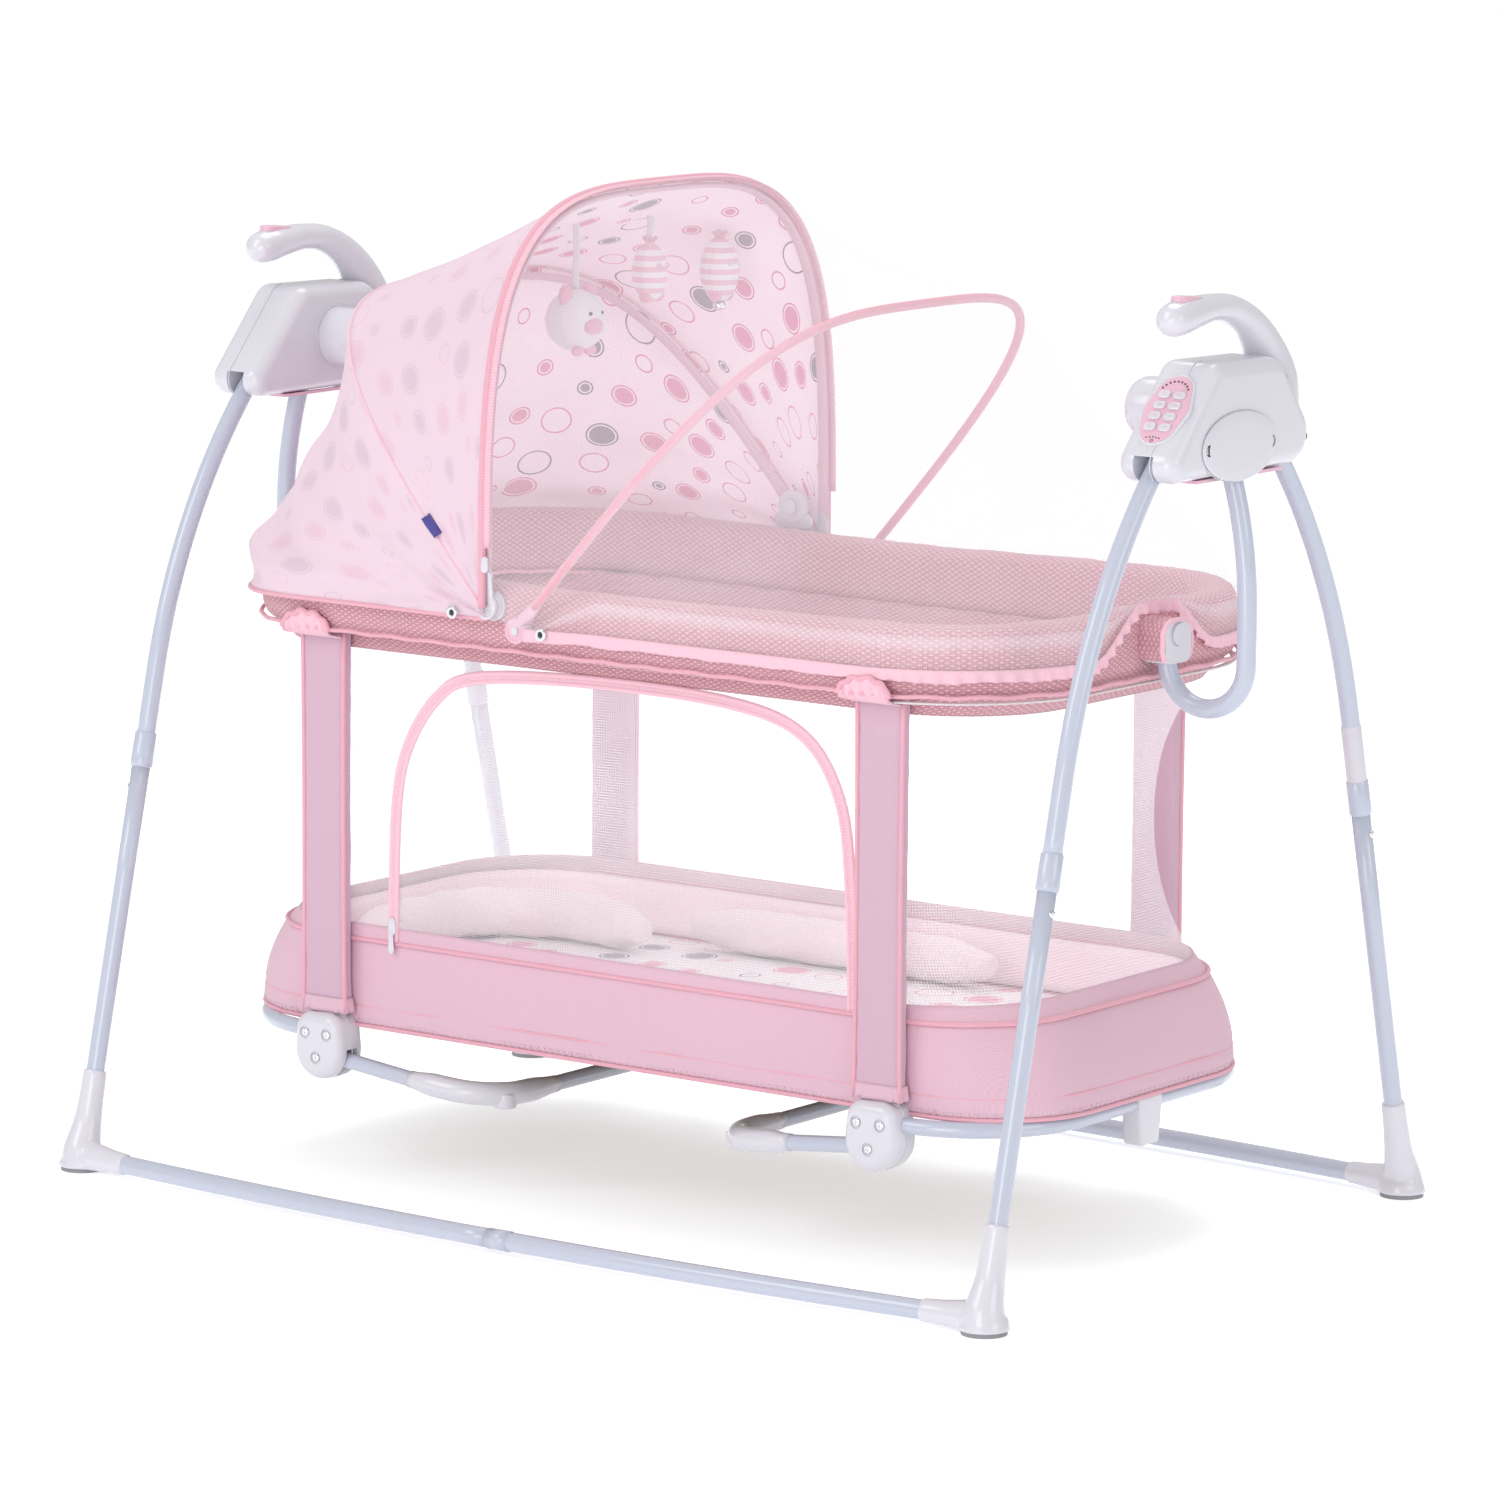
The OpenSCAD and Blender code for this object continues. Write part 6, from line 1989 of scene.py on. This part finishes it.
        def back(s: float, t: float, p: Vector) -> Vector:
            arch = math.sin(math.pi * s)
            out = Vector((p.x + 0.1, p.y * 1.1, (p.z - 0.55))).normalized()
            dip = -0.020 * math.sin(math.pi * s ** 0.9) * fade(p.z, 0.66, 0.82)
            flare = 0.017 * bump(s, 0.86, 0.11) * fade(abs(p.x), 0.22, 0.42)
            crease = (0.0030 * math.sin(38 * t + 4 * math.sin(6 * s)) * fade(s, 0.15, 0.7)
                      * (1 - 0.4 * fade(s, 0.9, 1.0)) + 0.0020 * ripple(p, 0.045, 32) * arch)
            return out * (dip + flare + crease)

        cloth = ("hood_lining", "hood_outside")
        self.gore("hood_roof", self.between(front, rear, 28, roof), cloth, "canopy")
        self.gore("hood_back", self.between(rear, end, 36, back), cloth)
        hem = sweep("hood_hem", [q + back(1.0, i / n, q) for i, q in enumerate(end)], 0.0024, 10, normal=(0, 0, 1))
        self.finishes.place(hem, "pink_piping", "cradle")
        for name, line, size, finish, body in (("hood_pipe_front", front, 0.0042, "pink_piping", "hood_front"),
                                               ("hood_pipe_rear", rear, 0.0015, "pink_binding", "hood_rear")):
            self.finishes.place(sweep(name, line, size, 10, normal=(1, 0, 0)), finish, body)
        tape = sweep("hood_zip", [p + Vector((0.0058, 0, 0)) + Vector((0, p.y, p.z - 0.6)).normalized() * 0.0004
                                  for p in front[6:-6]], (0.0016, 0.0048), 12, normal=(1, 0, 0))
        self.finishes.place(tape, "pink_zip", "hood_front")
        spot = front[-5]
        slider = outline_slab("hood_zip_slider", hull_outline([(0, 0, 0.0045), (0, 0.008, 0.0038)], 32), 0.0032, 0.001,
                              facing_front(spot.x + 0.0058, spot.y - 0.0008, spot.z), 0.0, 3)
        self.finishes.place(slider, "white_shell", "hood_front")

    def bows(self) -> None:
        """The bows of hood and net."""
        n = 110
        up = Vector((0, 0, 1))
        back = Vector((-math.sin(self.lean), 0, math.cos(self.lean)))
        fore = Vector((math.sin(self.net_lean), 0, math.cos(self.net_lean)))
        front = self.arch(self.hub_x, self.hub_z, 0.0, self.front_y, self.height - 0.008, self.square, n)
        rear = self.arch(self.hub_x, self.hub_z, self.lean, self.rear_y, self.height - 0.024, self.square, n)
        net = self.arch(self.net_x, self.net_z, -self.net_lean, self.net_y, self.net_len, self.square, n)
        self.bow("hood_bow_front", front[3:-3], (0.0028, 0.0062), "pink_plain", "hood_front", "hood_front_bow",
                 (self.hub_x, self.front_y, self.hub_z), up)
        self.bow("hood_bow_rear", rear[3:-3], (0.0028, 0.0052), "pink_plain", "hood_rear", "hood_rear_bow",
                 (self.hub_x, self.rear_y, self.hub_z), back)
        self.bow("net_bow_sleeve", net[3:-3], (0.0046, 0.0046), "pink_piping", "net_bow", "net_bow",
                 (self.net_x, self.net_y, self.net_z), fore)

    def hubs(self) -> None:
        """The hinge covers of the hood, on the inside of its bows."""
        parts = []
        x, away, z = self.hinge
        for sign, axis in ((1, "-Y"), (-1, "Y")):
            y = sign * away
            parts.append(drum("hub", (x, y, z), 0.0172, 0.008, axis, 40, 0.0022, (0.0125, -0.0012)))
            parts.append(drum("cap", (x, y - sign * 0.0068, z), 0.0078, 0.003, axis, 32, 0.001))
            place = Matrix(((1, 0, 0, x), (0, 0, 1, y - 0.003 + sign * 0.001), (0, -1, 0, z - 0.015), (0, 0, 0, 1)))
            parts.append(outline_slab("foot", hull_outline([(-0.016, 0.0, 0.008), (0.016, 0.0, 0.008)], 40), 0.006,
                                      0.0015, place, 0.0, 3))
        covers = Bench.rest(Bench.join("hood_hub_covers", parts), 40)
        self.finishes.place(covers, "white_shell", "cradle")

    def nets(self) -> None:
        """The sheer net, from the hood's front over its own bow to the foot end."""
        n = self.steps
        front = [p + Vector((0.0085, 0, 0)) for p in
                 self.arch(self.hub_x, self.hub_z, 0.0, self.skin_y, self.height, self.square, n)]
        bow = self.arch(self.net_x, self.net_z, -self.net_lean, self.net_y + 0.0045, self.net_len + 0.0045,
                        self.square, n)
        lines = []
        for grow, z, middle, foot in ((-0.006, 0.6395, 0.644, 0.601), (0.003, 0.629, 0.642, 0.597),
                                      (0.0032, 0.592, 0.640, 0.593)):
            line = self.rail_path(self.net_x + 0.015, 1, grow, z, z, n)
            for p in line:
                corner = 1 - fade(p.x, self.net_x + 0.015, self.net_x + 0.10)
                p.y += math.copysign((self.skin_y + 0.0012 - self.rail_w - grow) * corner, p.y)
                p.z += (foot - z) * corner + (middle - z) * (1 - fade(abs(p.y), 0.022, 0.105)) * fade(p.x, 0.3, 0.4)
            lines.append(line)
        end, edge, low = lines

        def near(s: float, t: float, p: Vector) -> Vector:
            arch = math.sin(math.pi * s)
            out = Vector((0.15, p.y, p.z - 0.62)).normalized()
            fold = 0.0024 * math.sin(30 * t + 8 * s) * arch * (1 - fade(p.z, 0.7, 0.9))
            return out * (-0.022 * arch * fade(p.z, 0.66, 0.9) + fold + 0.0014 * ripple(p, 0.06, 41) * arch)

        def far(s: float, t: float, p: Vector) -> Vector:
            arch = math.sin(math.pi * s)
            out = Vector((p.x, p.y * 1.2, p.z - 0.5)).normalized()
            fold = 0.0032 * math.sin(34 * t + 5 * math.sin(5 * s)) * fade(s, 0.1, 0.8) * (1 - fade(s, 0.8, 1))
            return out * (-0.010 * arch * fade(p.z, 0.64, 0.8) + fold + 0.0016 * ripple(p, 0.06, 42) * arch)

        skirt = self.between(edge, low, 8, lambda s, t, p: Vector((0, p.y * 0.004, 0)) * math.sin(t * 260) * s)
        tops = self.between(end, edge, 3, lambda s, t, p: Vector((0, 0, 0.0022 * math.sin(math.pi * s))))
        cloth = ("sheer_net", "sheer_net")
        rows = self.between(front, bow, 30, near)
        self.gore("net_near", rows, cloth, "net", 0.0004)
        rows = self.between(bow, end, 30, far) + tops[1:] + skirt[1:]
        self.gore("net_far", rows, cloth, thickness=0.0004)
        # Gathered binding of the net's hem
        fine = self.spaced(low, 900)
        ruffle = []
        for j in range(6):
            t = j / 5
            row = []
            for i, p in enumerate(fine):
                tight = 0.25 + 0.75 * fade(p.x, 0.30, 0.38)
                out = Vector((p.x if p.x > 0.33 else 0.0, p.y, 0)).normalized()
                wave = math.sin(i * 0.62 + 2.0 * math.sin(i * 0.037)) * 0.0026 * t * tight
                drop = 0.0045 - (0.0125 + 0.002 * ripple(p, 0.03, 7)) * t
                row.append(p + out * (0.0010 + wave) + Vector((0, 0, drop)))
            ruffle.append(row)
        hem = sheet_grid("net_hem", ruffle, 0.0009)
        self.finishes.place(hem, "pink_binding", "cradle")

    def label(self) -> None:
        """The bare cloth label sewn into the hood's side seam."""
        along = Vector((-math.sin(self.lean), 0, math.cos(self.lean)))
        across = Vector((along.z, 0, -along.x))
        middle = Vector((self.hub_x, -self.skin_y, self.hub_z)) + along * 0.098
        rows = [[middle + along * (0.024 * j / 6 - 0.012) + across * (0.0024 * i - 0.001)
                 - Vector((0, 0.0025 + 0.0022 * math.sin(1.1 * i + j * 0.3), 0)) for i in range(5)] for j in range(7)]
        tag = sheet_grid("cloth_label", rows, 0.0006)
        self.finishes.place(tag, "navy_label", "cradle")

    def build(self) -> None:
        """Builds hood and net."""
        for step in (self.bows, self.canopy, self.hubs, self.nets, self.label):
            step()
            LOG.info("%s made", step.__name__)


@dataclass
class Toys:
    """Three soft toys on ribbons under the hood."""

    finishes: Finishes
    x: float = -0.167
    top: float = 0.972
    drop: float = 0.093
    places: tuple[float, float, float] = (-0.060, 0.062, 0.180)
    ball_radius: float = 0.031
    pegs: tuple[tuple[str, float, float, float], ...] = (("toy_ring", 0.0185, 0.930, 0.904),
                                                         ("toy_bell", 0.0205, 0.9255, 0.8976))

    def ribbon(self, y: float, low: float) -> Obj:
        """A flat ribbon from the hood down to a toy."""
        top = self.top - (0.022 if y > 0.1 else 0.0)
        rows = [[Vector((self.x - 0.004 + 0.0027 * i, y + 0.0012 * math.sin(j / 2), top + (low - top) * j / 10))
                 for i in range(4)] for j in range(11)]
        return sheet_grid("ribbon", rows, 0.0009)

    def ball(self, name: str, centre: Vector, size: tuple[float, float, float], lumps: float = 0.0) -> Obj:
        """A stuffed ball with four sewn panels.

        Args:
            name: Name of the piece.
            centre: Its middle.
            size: Its radii along the axes.
            lumps: Seed of its unevenness.

        Returns:
            The piece.
        """
        Bench.clear_selection()
        bpy.ops.mesh.primitive_uv_sphere_add(segments=48, ring_count=32, radius=1.0, location=(0, 0, 0))
        piece = bpy.context.object
        piece.name = name
        for v in piece.data.vertices:
            a = math.atan2(v.co.y, v.co.x)
            seam = 0.045 * max(0.0, math.cos(4 * a)) ** 24 * (1 - abs(v.co.z) ** 3)
            v.co = Vector(c * s for c, s in zip(v.co * (1 - seam), size))
            v.co += v.co.normalized() * 0.0008 * ripple(v.co, 0.012, lumps)
            v.co += centre
        return Bench.rest(piece, 180)

    def dressed(self, piece: Obj, finish: str, body: str, node: str | None = None) -> Obj:
        """Finishes a toy's piece and hangs it on its body.

        Args:
            piece: The piece.
            finish: Its finish.
            body: The toy's body.
            node: The CAD node it stands for, or None.

        Returns:
            The piece.
        """
        self.finishes.place(piece, finish, body, node)
        return piece

    def build(self) -> None:
        """Builds the three toys."""
        y = self.places[0]
        body = "toy_ball"
        centre = Vector((self.x, y, self.top - self.drop - 0.004))
        self.dressed(self.ball("ball_body", centre, (self.ball_radius,) * 3, 1), "white_plush", body, node=body)
        ears = [self.ball("ear", centre + Vector((0.002, dy, 0.026)), (0.006, 0.0095, 0.011), 2)
                for dy in (-0.019, 0.019)]
        ears.append(self.ball("muzzle", centre + Vector((0.027, -0.006, -0.004)), (0.009, 0.0125, 0.009), 3))
        self.dressed(Bench.join("ball_ears", ears), "pink_plush", body)
        eyes = [drum("eye", tuple(centre + Vector((0.0285, dy, 0.009))), 0.0018, 0.0026, "X", 16, 0.0006)
                for dy in (-0.012, 0.006)]
        self.dressed(Bench.join("ball_eyes", eyes), "black_part", body)
        bows = [self.ball("bow", centre + Vector((0.012, dy - 0.002, -0.030)), (0.004, 0.009, 0.0055), 4)
                for dy in (-0.010, 0.010)]
        self.dressed(Bench.join("ball_bow", bows), "pink_plush", body)
        self.dressed(self.ribbon(y, centre.z + 0.030), "white_plain", body).name = "ball_ribbon"
        for k, (body, radius, high, low) in enumerate(self.pegs):
            y = self.places[k + 1]
            centre = Vector((self.x, y, (high + low) / 2 - 0.003))
            tall = (high - low) / 2 + radius * 0.95
            self.dressed(self.ball(f"{body}_body", centre, (radius, radius, tall), 5 + k), "striped_plush", body,
                         node=body)
            root = centre + Vector((0, 0, (high - low) / 2 + radius * 0.8))
            tuft = [sweep("tuft", [root, centre + Vector((0.008 * math.cos(a), 0.008 * math.sin(a), tall + 0.006))],
                          [0.0022, 0.0010], 8) for a in (2 * math.pi * j / 9 for j in range(9))]
            self.dressed(Bench.join(f"{body}_tuft", tuft), "pink_plush", body)
            eyes = [drum("eye", tuple(centre + Vector((radius * 0.93, dy, 0.008))), 0.0028, 0.0024, "X", 20, 0.0006,
                         (0.0008, -0.0006)) for dy in (-0.0065, 0.0065)]
            self.dressed(Bench.join(f"{body}_eyes", eyes), "white_shell" if k else "pink_shell", body)
            feet = [self.ball("foot", centre + Vector((0.002, dy, low - centre.z - radius * 0.75)),
                              (0.007, 0.006, 0.007), 7) for dy in (-0.010, 0.010)]
            self.dressed(Bench.join(f"{body}_feet", feet), "pink_plush", body)
            self.dressed(self.ribbon(y, high + radius * 0.9), "white_plain", body).name = f"{body}_ribbon"
        bell = drum("bell", (self.x, self.places[2], 0.8716), 0.0068, 0.009, "Z", 28, 0.003)
        self.dressed(bell, "chrome_screw", "toy_bell").name = "toy_bell_bell"
        LOG.info("toys made")


# ---- Studio --------------------------------------------------------------------------------


@dataclass
class Studio:
    """Floor, lamps, world and camera."""

    azimuth: float = math.radians(36.70)
    elevation: float = math.radians(9.29)
    roll: float = 0.007
    place: Point = (4.2762, -5.7226, 1.6146)
    lens: float = 172.15
    floor_tint: Colour = (0.882, 0.9, 0.925)
    floor_lift: float = 0.49
    floor_share: float = 0.5
    sky: float = 0.58

    def floor(self) -> None:
        """A pale floor that runs up into a backdrop behind."""
        Bench.clear_selection()
        bpy.ops.mesh.primitive_plane_add(size=60, location=(0, 0, -0.0003))
        floor = bpy.context.object
        floor.name = "floor"
        pen = Pen("floor_paper")
        rays = pen.node("LightPath").outputs
        seen = self.floor_share
        for name in ("Is Camera Ray", "Is Glossy Ray", "Is Transmission Ray"):
            seen = pen.math("MAXIMUM", rays[name], seen)
        glow = pen.node("Emission", {"Strength": pen.math("MULTIPLY", seen, self.floor_lift)})
        paper = pen.node("BsdfDiffuse", {"Color": self.floor_tint})
        both = pen.node("AddShader", {0: paper.outputs[0], 1: glow.outputs[0]})
        pen.nodes.remove(pen.shader)
        pen.feed(pen.nodes["Material Output"].inputs["Surface"], both.outputs[0])
        floor.data.materials.append(pen.material)

    def world(self) -> None:
        """An even pale sky that looks white to the camera."""
        world = bpy.data.worlds.new("studio_sky")
        bpy.context.scene.world = world
        world.use_nodes = True
        nodes, links = world.node_tree.nodes, world.node_tree.links
        back = nodes["Background"]
        back.inputs["Color"].default_value = (1, 1, 1, 1)
        rays = nodes.new("ShaderNodeLightPath")
        mix = nodes.new("ShaderNodeMapRange")
        mix.inputs["To Min"].default_value = self.sky
        links.new(rays.outputs["Is Camera Ray"], mix.inputs["Value"])
        links.new(mix.outputs["Result"], back.inputs["Strength"])

    def lamp(self, name: str, place: Point, aim: Point, size: float, power_w: float) -> None:
        """A soft square lamp.

        Args:
            name: Its name.
            place: Where it stands.
            aim: Where it points.
            size: Length of its side.
            power_w: Its power in watts.
        """
        data = bpy.data.lights.new(name, "AREA")
        data.size = size
        data.energy = power_w
        lamp = bpy.data.objects.new(name, data)
        bpy.context.scene.collection.objects.link(lamp)
        lamp.location = place
        lamp.rotation_euler = (Vector(aim) - Vector(place)).to_track_quat("-Z", "Y").to_euler()

    def camera(self) -> None:
        """The camera, in front of the part and towards its foot end, looking down a little."""
        ca, sa = math.cos(self.azimuth), math.sin(self.azimuth)
        ce, se = math.cos(self.elevation), math.sin(self.elevation)
        forward = Vector((-sa * ce, ca * ce, -se))
        right = Vector((ca, sa, 0))
        up = right.cross(forward)
        cr, sr = math.cos(self.roll), math.sin(self.roll)
        right, up = right * cr + up * sr, up * cr - right * sr
        data = bpy.data.cameras.new("camera")
        data.lens = self.lens
        data.sensor_width = 36
        data.clip_end = 100
        camera = bpy.data.objects.new("camera", data)
        bpy.context.scene.collection.objects.link(camera)
        camera.matrix_world = Matrix(((right.x, up.x, -forward.x, self.place[0]),
                                      (right.y, up.y, -forward.y, self.place[1]),
                                      (right.z, up.z, -forward.z, self.place[2]), (0, 0, 0, 1)))
        bpy.context.scene.camera = camera

    def build(self) -> None:
        """Sets up the studio."""
        bpy.context.scene.view_settings.view_transform = "Standard"
        self.camera()
        self.floor()
        self.world()
        for name, place, size, power_w in (("key", (-1.6, -4.0, 3.4), 2.4, 57), ("front", (1.2, -4.6, 0.9), 2.0, 40),
                                           ("fill", (4.6, -0.4, 2.2), 2.2, 31), ("top", (-0.4, 1.2, 4.2), 2.6, 60)):
            self.lamp(name, place, (0, 0, 0.5), size, power_w)


def kept_nodes(finishes: Finishes) -> None:
    """Finishes the CAD nodes that stay."""
    nodes = frame["nodes"]
    for finish, names in (("tube_paint", ("hangers", "end_rails", "rail_tube")),
                          ("white_shell", ("end_brackets", "hood_mounts", "release_button_right",
                                           "release_button_left")),
                          ("pink_shell", ("slot_trims",)), ("rubber_pad", ("rear_foot_pads", "front_foot_pads")),
                          ("turned_steel", ("swing_shafts", "leg_pins")), ("nylon_part", ("axle_bushes",)),
                          ("black_part", ("power_inlet", "speaker")), ("green_board", ("circuit_board",)),
                          ("copper_wire", ("drive_coil",)), ("brown_board", ("base_board",))):
        finishes.redress(nodes, finish, *names)


def main() -> None:
    """Builds the part's pieces and the studio."""
    Studio().build()
    finishes = Finishes()
    kept_nodes(finishes)
    stand = Stand(finishes)
    stand.build()
    Heads(finishes, stand).build()
    Crib(finishes).build()
    Hood(finishes).build()
    Toys(finishes).build()
    bpy.data.objects.remove(bpy.data.objects["screw_master"])
    Bench.clear_selection()


if __name__ == "__main__":
    main()
